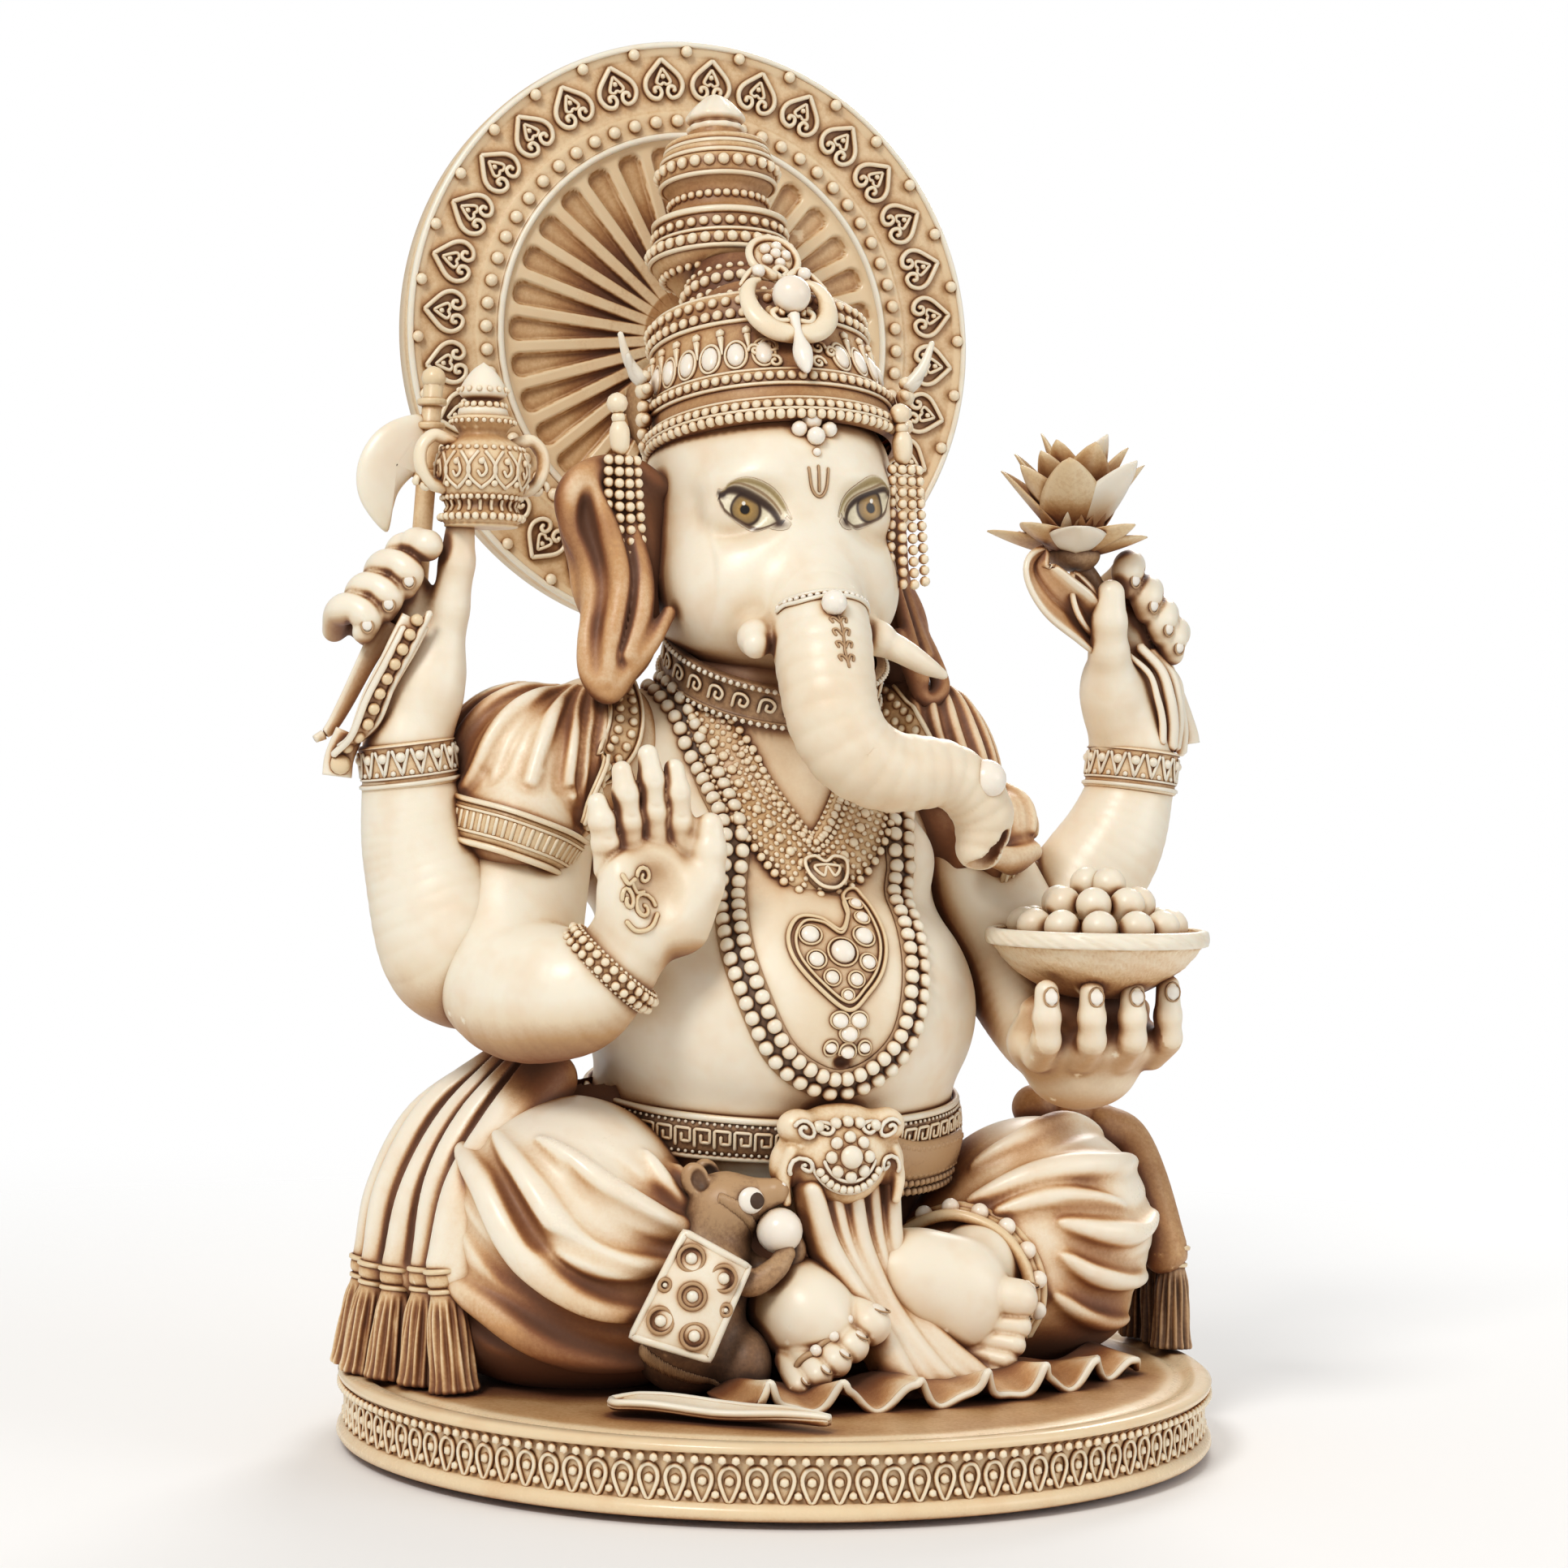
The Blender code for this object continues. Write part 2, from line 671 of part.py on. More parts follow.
def make_belt(torso):
    path = on_surface(torso, ring_points((0, 4, 71), (46, 42), turn=(10, 0, 0), count=24), 1.6)
    finish_piece("waist_belt", tube_mesh("waist_belt", path, 3.2, closed=True), CARVED)
    outline = [(-12, 8), (-8, 10), (8, 10), (12, 8), (12, -4), (8, -9), (0, -11), (-8, -9), (-12, -4)]
    face = Matrix.Translation(to_metres((-1, -41, 63.5))) @ turn_matrix((84, 0, 0))
    finish_piece("belt_buckle", plate_mesh("belt_buckle", outline, 5, 1.0, face), CARVED)


def make_necklaces(torso):
    choker = on_surface(torso, ring_points((-1, 5, 156), (24, 24), turn=(14, 0, 0), count=18), 1.2)
    finish_piece("choker", tube_mesh("choker", choker, 2.8, closed=True), CARVED)
    guide = [(-34, 8, 158), (-33, -20, 140), (-30, -38, 112), (-22, -48, 84), (0, -52, 73)]
    guide += [(-x, y, z) for x, y, z in reversed(guide[:-1])]
    beads = on_surface(torso, smooth_path(guide, 3), BEAD_RADIUS * 1.3)
    finish_piece("bead_necklace", tube_mesh("bead_necklace", beads, BEAD_RADIUS * 1.6), IVORY)
    guide = [(-20, -18, 150), (-14, -34, 128), (0, -40, 116), (14, -34, 128), (20, -18, 150)]
    collar = on_surface(torso, smooth_path(guide, 3), 1.2)
    finish_piece("chest_collar", tube_mesh("chest_collar", collar, 3.0), CARVED)
    spots = on_surface(torso, [(0, -50, 104), (0, -52, 90)], 0.6)
    balls = [(spots[0], (11, 4.0, 11), (-12, 0, 0)), (spots[1], (6.5, 4.0, 8), (0, 0, 0))]
    soft_piece("medallion", CARVED, balls=balls, voxel=1.4, faces=100)


# ---------------------------------------------------------------- held things


def make_bowl():
    """A shallow dish in the left hand, heaped with round sweets."""
    dish = [(22.6, 15), (22.6, 12.6), (19, 9), (12, 3), (8, 0), (0, 0)]
    inner = [(0, 12), (20.4, 13.2), (21, 15)]
    turned_piece("sweet_bowl", CARVED, [*inner, *dish], 28, centre=(60, -30, 94))
    balls = [((60, -30, 109), (17, 17, 5))]
    for ring, count, height in ((14.0, 9, 111), (7.5, 5, 115.5), (0.0, 1, 119)):
        for k in range(count):
            angle = 2 * math.pi * (k + 0.5) / count
            spot = (60 + ring * math.cos(angle), -30 + ring * math.sin(angle), height)
            balls.append((spot, (4.4, 4.4, 4.4)))
    soft_piece("sweets_heap", IVORY, balls=balls, voxel=1.4, faces=240, rounds=2)


def make_axe_and_pot():
    shaft = tube_mesh("shaft", [(-79, 9, 176), (-76, 9, 222)], 1.8)
    outline = [(0, 5), (-6, 6), (-9, 11), (-14, 5), (-16, -3), (-13, -10), (-9, -14), (-8, -8)]
    outline += [(-5, -5), (0, -4)]
    face = Matrix.Translation(to_metres((-77.4, 9, 205))) @ turn_matrix((90, 0, 0))
    blade = plate_mesh("blade", outline, 2.6, 0.6, face)
    finish_piece("axe", united_mesh("axe", [shaft, blade]), IVORY)
    pot = [(0, 21), (6.4, 21), (7.4, 19), (5.6, 17), (9, 14), (10.6, 9), (9, 4.6), (7.8, 3)]
    pot += [(9.6, 0.6), (8.4, -1), (0, -1)]
    body = turned_mesh("pot", pot, 18, POT_CENTRE)
    loops = []
    for side in (-1, 1):
        loop = [(9.6, 10), (15, 12.5), (16, 17), (12, 19), (6.6, 18.4)]
        spots = [(POT_CENTRE[0] + side * x, POT_CENTRE[1], POT_CENTRE[2] + z) for x, z in loop]
        loops.append(tube_mesh("loop", smooth_path(spots, 2), 1.4))
    finish_piece("water_pot", united_mesh("water_pot", [body, *loops]), CARVED)
    lid = [(0, 32.4), (1.0, 31.8), (4.6, 26.6), (3.2, 25.6), (5.2, 24), (6.2, 21.4), (0, 21.4)]
    turned_piece("pot_lid", IVORY, lid, 16, centre=POT_CENTRE)


def make_lotus():
    petals = []
    for count, reach, lift, height in ((8, 14, 18, 4), (7, 10, 42, 9), (5, 6, 66, 13)):
        for k in range(count):
            angle = 360 * (k + 0.5 * (count % 2)) / count
            turn = (0, -lift, angle)
            direction = turn_matrix(turn) @ Vector((1, 0, 0))
            centre = Vector((69, 2, 197 + height * 0.4)) + direction * reach * 0.8
            petals.append((centre, (9.5, 5.4, 2.2), turn))
    stem = [(76, 2, 176, 3), (70, 2, 190, 3.4), (69, 2, 197, 5)]
    leaf = [(75, 3, 178, 2.5), (64, 4, 181, 4.2), (58, 4, 188, 2.0)]
    soft_piece("lotus_flower", CARVED, balls=petals, limbs=[stem, leaf], voxel=1.5, faces=370, rounds=2)


def make_hand_scarves():
    right = [(-84, 6, 170, 3), (-92, 6, 160, 2.6), (-98, 7, 150, 2.2), (-97, 7, 144, 2.0)]
    left = [(90, 6, 172, 3), (93, 6, 162, 2.6), (97, 6, 156, 2.2), (97, 6, 151, 2)]
    soft_piece("right_hand_scarf", CLOTH, limbs=[right], voxel=1.3, faces=70)
    soft_piece("left_hand_scarf", CLOTH, limbs=[left], voxel=1.3, faces=70)


def make_mouse():
    """The mouse sits up in front of the right knee, with a blanket on its back and a sweet in its paws."""
    body = [((-31, -30, 31), (12, 14, 14)), ((-26, -30, 44), (9.5, 10, 11))]
    head = [[(-24, -32, 54, 6.5), (-18, -36, 57, 4.2), (-14, -38, 58, 2.4)]]
    soft_piece("mouse_body", DARK, body, head, 1.6, 230)
    blanket = [((-35, -42, 38), (10.0, 5, 11.5), (-14, 12, -21))]
    soft_piece("mouse_blanket", CARVED, blanket, voxel=1.4, faces=70)
    soft_piece("mouse_sweet", IVORY, [((-15, -37, 49), (5, 5, 5))], voxel=1.2, faces=50)


# ---------------------------------------------------------------- assembly


def build():
    make_plinth()
    make_body()
    torso = bpy.data.objects["torso"]
    make_head()
    make_crown()
    make_ears()
    make_arms()
    make_belt(torso)
    make_legs()
    make_feet()
    make_mouse()
    make_draped_cloth()
    make_sleeves()
    make_right_front_hand()
    make_bowl()
    make_left_front_hand()
    make_right_rear_hand()
    make_left_rear_hand()
    make_bangles()
    make_necklaces(torso)
    make_axe_and_pot()
    make_lotus()
    make_hand_scarves()
    make_shawls()
    make_ear_tassels()
    make_halo()


build()
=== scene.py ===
import math

import bmesh
import bpy
import numpy as np
from mathutils import Matrix, Vector


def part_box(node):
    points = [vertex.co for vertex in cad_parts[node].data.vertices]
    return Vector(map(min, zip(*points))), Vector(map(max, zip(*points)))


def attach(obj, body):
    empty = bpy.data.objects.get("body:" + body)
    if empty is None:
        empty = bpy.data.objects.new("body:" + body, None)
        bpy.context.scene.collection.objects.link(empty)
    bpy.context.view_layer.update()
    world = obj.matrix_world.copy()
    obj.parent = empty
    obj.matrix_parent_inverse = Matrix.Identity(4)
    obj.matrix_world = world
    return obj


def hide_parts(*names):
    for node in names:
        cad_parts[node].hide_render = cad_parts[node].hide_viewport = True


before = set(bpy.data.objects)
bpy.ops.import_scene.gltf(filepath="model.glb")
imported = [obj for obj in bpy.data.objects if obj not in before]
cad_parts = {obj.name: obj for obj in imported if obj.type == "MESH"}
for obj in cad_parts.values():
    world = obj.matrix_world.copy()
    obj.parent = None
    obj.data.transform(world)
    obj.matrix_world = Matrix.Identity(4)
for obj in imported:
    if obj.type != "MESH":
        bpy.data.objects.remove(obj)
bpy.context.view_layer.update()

# Places below are in millimetres of the figure, which faces -Y. MM is one of them in metres: the
# packed plinth sets it, so everything follows the frame.
PLINTH_R = 93.0
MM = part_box("base_plinth")[1].x / PLINTH_R
FAR = 9.0  # distance that stands for "nowhere near", in a clay field
COARSE = 1.0


# ---------------------------------------------------------------- camera, light and stage


def aim(obj, target):
    """Turns a lamp to face a point."""
    obj.rotation_euler = (Vector(target) - obj.location).to_track_quat("-Z", "Y").to_euler()


def add_camera():
    """The photograph's viewpoint: a little to the left of the front, at the height of the chest."""
    distance, height, azimuth = 0.75, 0.144, math.radians(-21.0)
    pitch, roll = math.radians(0.33), math.radians(0.9)
    sensor, lens, far_clip = 36.0, 80.66, 20.0
    data = bpy.data.cameras.new("camera")
    data.sensor_width = sensor
    data.lens = lens
    data.clip_end = far_clip
    camera = bpy.data.objects.new("camera", data)
    camera.location = (distance * math.sin(azimuth), -distance * math.cos(azimuth), height)
    turn = Matrix.Rotation(azimuth, 3, "Z") @ Matrix.Rotation(math.pi / 2 - pitch, 3, "X")
    camera.rotation_euler = (turn @ Matrix.Rotation(roll, 3, "Z")).to_euler()
    bpy.context.scene.collection.objects.link(camera)
    bpy.context.scene.camera = camera


def add_area(name, place, target, size, watts, colour=(1.0, 1.0, 1.0)):
    data = bpy.data.lights.new(name, "AREA")
    data.shape = "DISK"
    data.size = size
    data.energy = watts
    data.color = colour
    light = bpy.data.objects.new(name, data)
    light.location = place
    aim(light, target)
    bpy.context.scene.collection.objects.link(light)


def add_stage():
    """White background, warm white light, three soft lamps and a pale floor."""
    scene = bpy.context.scene
    scene.view_settings.view_transform = "Standard"
    scene.view_settings.look = "None"
    world = bpy.data.worlds.new("studio")
    world.use_nodes = True
    tree = world.node_tree
    shown, lit = tree.nodes["Background"], tree.nodes.new("ShaderNodeBackground")
    shown.inputs["Color"].default_value = (1.0, 1.0, 1.0, 1.0)
    lit.inputs["Color"].default_value = (1.0, 0.985, 0.96, 1.0)
    lit.inputs["Strength"].default_value = 0.5
    pick = tree.nodes.new("ShaderNodeMixShader")
    tree.links.new(tree.nodes.new("ShaderNodeLightPath").outputs["Is Camera Ray"], pick.inputs[0])
    tree.links.new(lit.outputs[0], pick.inputs[1])
    tree.links.new(shown.outputs[0], pick.inputs[2])
    tree.links.new(pick.outputs[0], tree.nodes["World Output"].inputs["Surface"])
    scene.world = world
    middle = (0.0, 0.0, 0.16)
    add_area("key", (-0.75, -0.75, 1.05), middle, size=0.42, watts=9.5, colour=(1.0, 0.97, 0.93))
    add_area("fill", (0.85, -0.85, 0.45), middle, size=0.7, watts=2.4)
    add_area("rim", (0.5, 0.7, 0.7), middle, size=0.5, watts=4.0)
    edge = 1.5
    corners = [(x, y, 0.0) for x in (-edge, edge) for y in (-edge, edge)]
    floor = mesh_object("floor", corners, [[0, 2, 3, 1]])
    floor.data.materials.append(plain_stage_material())


# ---------------------------------------------------------------- meshes from arrays


def mesh_object(name, points, faces):
    """An object from an array of points in metres and an array of triangles or quads."""
    points = np.asarray(points, np.float32)
    faces = np.asarray(faces, np.int32)
    corners = faces.shape[1]
    mesh = bpy.data.meshes.new(name)
    mesh.vertices.add(len(points))
    mesh.vertices.foreach_set("co", points.ravel())
    mesh.loops.add(faces.size)
    mesh.loops.foreach_set("vertex_index", faces.ravel())
    mesh.polygons.add(len(faces))
    mesh.polygons.foreach_set("loop_start", np.arange(0, faces.size, corners, dtype=np.int32))
    mesh.update(calc_edges=True)
    mesh.validate()
    mesh.shade_smooth()
    obj = bpy.data.objects.new(name, mesh)
    bpy.context.scene.collection.objects.link(obj)
    return obj


def finish_piece(name, points, faces, material, slot, nodes=(), stain_and_shade=None):
    """A piece of the figure, from points in millimetres. The last argument, one value or one for each point,
    adds wash and painted shade to it, and lightens it where it is negative, in places as a painted highlight."""
    obj = mesh_object(name, np.asarray(points) * MM, faces)
    obj.data.materials.append(material)
    if stain_and_shade is not None:
        layer = obj.data.attributes.new("stain_and_shade", "FLOAT", "POINT")
        layer.data.foreach_set("value", np.full(len(points), stain_and_shade, np.float32))
    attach(obj, "root")
    if nodes:
        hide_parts(*nodes)
    return obj


def finish_parts(name, parts, material, slot, nodes=(), stain_and_shade=None):
    """A piece made of several bodies."""
    finish_piece(name, *joined(parts), material, slot, nodes, stain_and_shade)


def full_turn(count):
    """Angles at an even spacing round a circle."""
    return np.linspace(0, 2 * math.pi, count, endpoint=False)


def clamp(values):
    return np.clip(values, 0, 1)


def grid_faces(rows, columns, closed=False):
    """Quads of a grid of points, row by row. closed joins the last column to the first."""
    i, j = np.meshgrid(np.arange(rows - 1), np.arange(columns - (0 if closed else 1)), indexing="ij")
    k = (j + 1) % columns
    return np.stack([i * columns + j, (i + 1) * columns + j, (i + 1) * columns + k, i * columns + k],
                    -1).reshape(-1, 4)


def outward(points, faces):
    """The same faces, turned over if they enclose the body inside out."""
    points, faces = np.asarray(points, float), np.asarray(faces)
    corners = (points - points.mean(0))[faces]
    volume = np.linalg.det(corners[:, :3]).sum()
    if faces.shape[1] == 4:
        volume += np.linalg.det(corners[:, [0, 2, 3]]).sum()
    return points, faces[:, ::-1] if volume < 0 else faces


def triangles_of(quads):
    return np.concatenate([quads[:, [0, 1, 2]], quads[:, [0, 2, 3]]])


def joined(parts):
    """One set of points and triangles from several bodies."""
    points, faces, base = [], [], 0
    for part in parts:
        part_points, part_faces = outward(*part)
        if part_faces.shape[1] == 4:
            part_faces = triangles_of(part_faces)
        points.append(part_points)
        faces.append(part_faces + base)
        base += len(part_points)
    return np.concatenate(points), np.concatenate(faces)


def unit(vectors):
    vectors = np.asarray(vectors, float)
    return vectors / np.maximum(np.linalg.norm(vectors, axis=-1, keepdims=True), 1e-9)


def ball_shape(detail):
    bm = bmesh.new()
    bmesh.ops.create_icosphere(bm, subdivisions=detail, radius=1.0)
    points = np.array([v.co for v in bm.verts])
    faces = np.array([[v.index for v in f.verts] for f in bm.faces])
    bm.free()
    return points, faces


BALLS = {detail: ball_shape(detail) for detail in (1, 2, 3)}


def beads(centres, radius, detail=2, squash=None):
    """Points and triangles of a ball at each centre. squash=(out, share) flattens it along out."""
    shape, faces = BALLS[max(1, detail - (0))]
    parts = []
    radii = np.broadcast_to(np.asarray(radius, float), (len(centres),))
    for index, centre in enumerate(centres):
        points = shape
        if squash is not None:
            out = unit(squash[0][index])
            points = shape - np.outer(shape @ out, out) * (1 - squash[1])
        parts.append((points * radii[index] + centre, faces))
    return joined(parts)


def spread(path, spacing, closed=False):
    """Points at an even spacing along a path."""
    path = np.asarray(path, float)
    if closed:
        path = np.concatenate([path, path[:1]])
    along = np.concatenate([[0], np.cumsum(np.linalg.norm(np.diff(path[:, :3], axis=0), axis=1))])
    count = max(2, int(round(along[-1] / spacing)) + 1)
    wanted = np.linspace(0, along[-1], count)
    if closed:
        wanted = wanted[:-1]
    return np.stack([np.interp(wanted, along, path[:, axis]) for axis in range(path.shape[1])], 1)


def curve(points, steps=10, closed=False):
    """A smooth Catmull-Rom curve through the points, with any number of values per point."""
    points = np.asarray(points, float)
    count = len(points)
    if closed:
        ends = np.concatenate([points[-1:], points, points[:2]])
        spans = count
    else:
        ends = np.concatenate([2 * points[:1] - points[1:2], points, 2 * points[-1:] - points[-2:-1]])
        spans = count - 1
    t = np.arange(steps)[:, None] / steps
    out = []
    for i in range(spans):
        a, b, c, d = ends[i:i + 4]
        out.append(0.5 * (2 * b + (c - a) * t + (2 * a - 5 * b + 4 * c - d) * t ** 2
                          + (3 * b - a - 3 * c + d) * t ** 3))
    if not closed:
        out.append(points[-1:])
    return np.concatenate(out)


def tube_faces(rings, sides, closed=False):
    """Quads between rings of points. closed joins the last ring to the first."""
    i, j = np.meshgrid(np.arange(rings if closed else rings - 1), np.arange(sides), indexing="ij")
    after, k = (i + 1) % rings, (j + 1) % sides
    return np.stack([i * sides + j, i * sides + k, after * sides + k, after * sides + j], -1).reshape(-1, 4)


def tube(rings):
    """Points and triangles of a tube through rings of points, with flat ends."""
    count, sides = rings.shape[:2]
    fan = np.array([[0, a, a + 1] for a in range(1, sides - 1)])
    last = (count - 1) * sides
    faces = np.concatenate([triangles_of(tube_faces(count, sides)), fan[:, ::-1], fan + last])
    return rings.reshape(-1, 3), faces


def circle(centre, side, up, radius, count):
    """Points round a centre, in the plane of two directions."""
    turns = full_turn(count)
    return centre + radius * (np.cos(turns)[:, None] * side + np.sin(turns)[:, None] * up)


def wire(path, radius, out, sides=6, flat=1.0, closed=False):
    """Points and quads of a rod along a path. out is the outward direction, along which flat scales it."""
    path = np.asarray(path, float)
    count = len(path)
    if closed:
        tangent = unit(np.roll(path, -1, 0) - np.roll(path, 1, 0))
    else:
        tangent = unit(np.gradient(path, axis=0))
    out = np.broadcast_to(np.asarray(out, float), path.shape)
    lift = unit(out - (out * tangent).sum(1, keepdims=True) * tangent)
    side = np.cross(tangent, lift)
    radii = np.broadcast_to(np.asarray(radius, float), (count,))
    if not closed:
        ends = [path[0] - tangent[0] * radii[0] * 0.6], [path[-1] + tangent[-1] * radii[-1] * 0.6]
        path = np.concatenate([ends[0], path, ends[1]])
        radii = np.concatenate([[radii[0] * 0.35], radii, [radii[-1] * 0.35]])
        lift = np.concatenate([lift[:1], lift, lift[-1:]])
        side = np.concatenate([side[:1], side, side[-1:]])
        count += 2
    turn = np.arange(sides) * 2 * math.pi / sides
    rings = (path[:, None] + radii[:, None, None] * (np.cos(turn)[None, :, None] * side[:, None]
                                                     + flat * np.sin(turn)[None, :, None] * lift[:, None]))
    points = rings.reshape(-1, 3)
    faces = tube_faces(count, sides, closed)
    if closed:
        return points, faces
    start, stop = len(points), len(points) + 1
    points = np.concatenate([points, path[:1], path[-1:]])
    spin = np.arange(sides)
    after = (spin + 1) % sides
    last = (count - 1) * sides
    caps = np.concatenate([np.stack([np.full(sides, start), after, spin], 1),
                           np.stack([np.full(sides, stop), last + spin, last + after], 1)])
    return points, np.concatenate([triangles_of(faces), caps])


# ---------------------------------------------------------------- clay


def smooth_min(a, b, soft):
    """The smaller of two distances, rounded over where they are nearly equal."""
    if soft <= 0:
        return np.minimum(a, b)
    h = clamp(0.5 + 0.5 * (b - a) / soft)
    return b * (1 - h) + a * h - soft * h * (1 - h)


class Clay:
    """A block of signed distances, in millimetres, that shapes are added to and cut from, then skinned."""

    BALL_REACH, ROD_REACH = 7.0, 6.0  # how far from a shape its distances are worked out

    def __init__(self, low, high, voxel):
        self.step = voxel * COARSE
        self.low = np.array(low, float)
        self.axes = [np.arange(a, b + self.step, self.step, dtype=np.float32) for a, b in zip(low, high)]
        self.field = np.full([len(axis) for axis in self.axes], FAR, np.float32)

    def window(self, low, high):
        where, coords = [], []
        for i, axis in enumerate(self.axes):
            start = int(np.clip((low[i] - self.low[i]) / self.step, 0, len(axis) - 2))
            stop = int(np.clip((high[i] - self.low[i]) / self.step + 2, start + 2, len(axis)))
            shape = [1, 1, 1]
            shape[i] = -1
            where.append(slice(start, stop))
            coords.append(axis[start:stop].reshape(shape))
        return tuple(where), coords

    def merge(self, where, distance, soft, cut):
        old = self.field[where]
        if cut:
            self.field[where] = -smooth_min(-old, distance, soft)
        else:
            self.field[where] = smooth_min(old, distance, soft)

    def ball(self, centre, radii, soft=4.0, turn=(0, 0, 0), cut=False):
        """An ellipsoid. turn is in degrees about X, Y and Z."""
        centre, radii = np.asarray(centre, float), np.asarray(radii, float)
        span = (radii.max() if any(turn) else radii) + self.BALL_REACH
        where, (x, y, z) = self.window(centre - span, centre + span)
        x, y, z = x - centre[0], y - centre[1], z - centre[2]
        if any(turn):
            spin = np.array(turn_matrix(turn).transposed())
            x, y, z = (spin[i, 0] * x + spin[i, 1] * y + spin[i, 2] * z for i in range(3))
        near = np.sqrt((x / radii[0]) ** 2 + (y / radii[1]) ** 2 + (z / radii[2]) ** 2)
        slope = np.sqrt((x / radii[0] ** 2) ** 2 + (y / radii[1] ** 2) ** 2 + (z / radii[2] ** 2) ** 2)
        distance = near * (near - 1) / np.maximum(slope, 1e-6)
        self.merge(where, distance.astype(np.float32), soft, cut)

    def limbs(self, paths, soft=3.0, cut=False):
        """Round rods along paths of (x, y, z, radius), joined to each other and then blended in."""
        paths = [np.asarray(path, float) for path in paths]
        every = np.concatenate(paths)
        margin = every[:, 3:4].max() + self.ROD_REACH + 3 * self.step
        where, _ = self.window((every[:, :3] - margin).min(0), (every[:, :3] + margin).max(0))
        shape = [s.stop - s.start for s in where]
        local = np.full(shape, FAR, np.float32)
        for path in paths:
            for a, b in zip(path[:-1], path[1:]):
                span = max(a[3], b[3]) + self.ROD_REACH
                inner, (x, y, z) = self.window(np.minimum(a, b)[:3] - span, np.maximum(a, b)[:3] + span)
                inside = tuple(slice(s.start - w.start, s.stop - w.start) for s, w in zip(inner, where))
                gap = (b - a)[:3]
                square = max(float(gap @ gap), 1e-9)
                x, y, z = x - a[0], y - a[1], z - a[2]
                t = clamp((x * gap[0] + y * gap[1] + z * gap[2]) / square)
                away = np.sqrt((x - t * gap[0]) ** 2 + (y - t * gap[1]) ** 2 + (z - t * gap[2]) ** 2)
                away -= a[3] + t * (b[3] - a[3])
                np.minimum(local[inside], away, out=local[inside])
        self.merge(where, local, soft, cut)

    def at(self, points):
        """The distance at each point, read between the voxels."""
        place = (np.asarray(points, float) - self.low) / self.step
        size = np.array(self.field.shape)
        place = np.clip(place, 0, size - 1.001)
        base = place.astype(int)
        part = place - base
        value = 0
        for i in (0, 1):
            for j in (0, 1):
                for k in (0, 1):
                    share = (np.abs(1 - i - part[:, 0]) * np.abs(1 - j - part[:, 1])
                             * np.abs(1 - k - part[:, 2]))
                    value = value + share * self.field[base[:, 0] + i, base[:, 1] + j, base[:, 2] + k]
        return value

    def slope(self, points):
        """The outward direction at each point."""
        sides = []
        for axis in range(3):
            step = np.zeros(3)
            step[axis] = self.step
            sides.append(self.at(points + step) - self.at(points - step))
        return unit(np.stack(sides, 1))

    def drop(self, points, height=0.0):
        """Moves points onto the clay's surface, or to a height over it. Any radius is kept."""
        points = np.array(points, float)
        tries, share = 8, 0.8
        for _ in range(tries):
            spot = points[:, :3]
            points[:, :3] = spot - self.slope(spot) * (self.at(spot) - height)[:, None] * share
        return points

    def folds(self, first, last, count, radius, height, soft, cut=False, taper=0.5):
        """Ridges, or creases with cut, laid on the surface between two guide curves."""
        first, last = curve(first, 12), curve(last, 12)
        paths = []
        for i in range(count):
            share = i / max(count - 1, 1)
            path = self.drop(first * (1 - share) + last * share, height)
            along = np.linspace(0, 1, len(path))
            swell = taper + (1 - taper) * np.sin(math.pi * along) ** 0.6
            paths.append(np.column_stack([path[:, :3], radius * swell]))
        self.limbs(paths, soft, cut)

    def pleated(self, first, last, count, radius, crease):
        """Ridges between two guide curves, with a crease between each two."""
        height, soft = 0.2, 1.6
        first, last = np.array(first, float), np.array(last, float)
        self.folds(first, last, count, radius, height, soft)
        half = (last - first) / (2 * (count - 1))
        self.folds(first + half, last - half, count - 1, crease, height + 0.6, soft * 0.7, cut=True)

    def hollow(self, points, reach=3.0):
        """How much of a hollow each point sits in: 0 on a ridge, up to 1 in a deep crease."""
        out = self.slope(points)
        return clamp(1.1 * (1 - self.at(points + out * reach) / reach) - 0.08)

    def finish(self, name, material, slot, nodes=(), crease=0.5, under=0.2, reach=3.0, stain_and_shade=0.0):
        """Makes the piece, with wash in its creases and painted shade on the sides that face down. The last
        argument, a number or a function of x, y and z, adds to that."""
        points, faces = self.skin()
        # under sets the painted shade on the sides that face down, where less light falls.
        amount = crease * self.hollow(points, reach) + under * clamp(-self.slope(points)[:, 2])
        amount = amount + (stain_and_shade(*points.T) if callable(stain_and_shade) else stain_and_shade)
        finish_piece(name, points, faces, material, slot, nodes, amount)

    def skin(self):
        """Points and quads of the surface where the distance is zero: one point in each cell that it
        crosses, and one quad for each edge of the grid that it crosses."""
        field = self.field
        inside = field < 0
        cells = np.zeros([n - 1 for n in field.shape], np.int8)
        corners = [(i, j, k) for i in (0, 1) for j in (0, 1) for k in (0, 1)]
        size = cells.shape
        for i, j, k in corners:
            cells += inside[i:i + size[0], j:j + size[1], k:k + size[2]]
        index = np.full(size, -1, np.int32)
        active = np.argwhere((cells > 0) & (cells < 8))
        index[tuple(active.T)] = np.arange(len(active))
        total, hits = np.zeros((len(active), 3)), np.zeros(len(active))
        for a in range(8):
            for b in range(a + 1, 8):
                first, second = np.array(corners[a]), np.array(corners[b])
                if np.abs(first - second).sum() != 1:
                    continue
                one = field[tuple((active + first).T)]
                two = field[tuple((active + second).T)]
                crossed = (one < 0) != (two < 0)
                t = np.where(crossed, one / np.where(crossed, one - two, 1), 0)
                total += np.where(crossed[:, None], first + t[:, None] * (second - first), 0)
                hits += crossed
        points = self.low + self.step * (active + total / hits[:, None])
        faces = []
        for axis in range(3):
            ahead = [slice(None)] * 3
            behind = [slice(None)] * 3
            ahead[axis], behind[axis] = slice(1, None), slice(None, -1)
            crossing = np.argwhere(inside[tuple(ahead)] != inside[tuple(behind)])
            u, v = np.zeros(3, int), np.zeros(3, int)
            u[(axis + 1) % 3] = 1
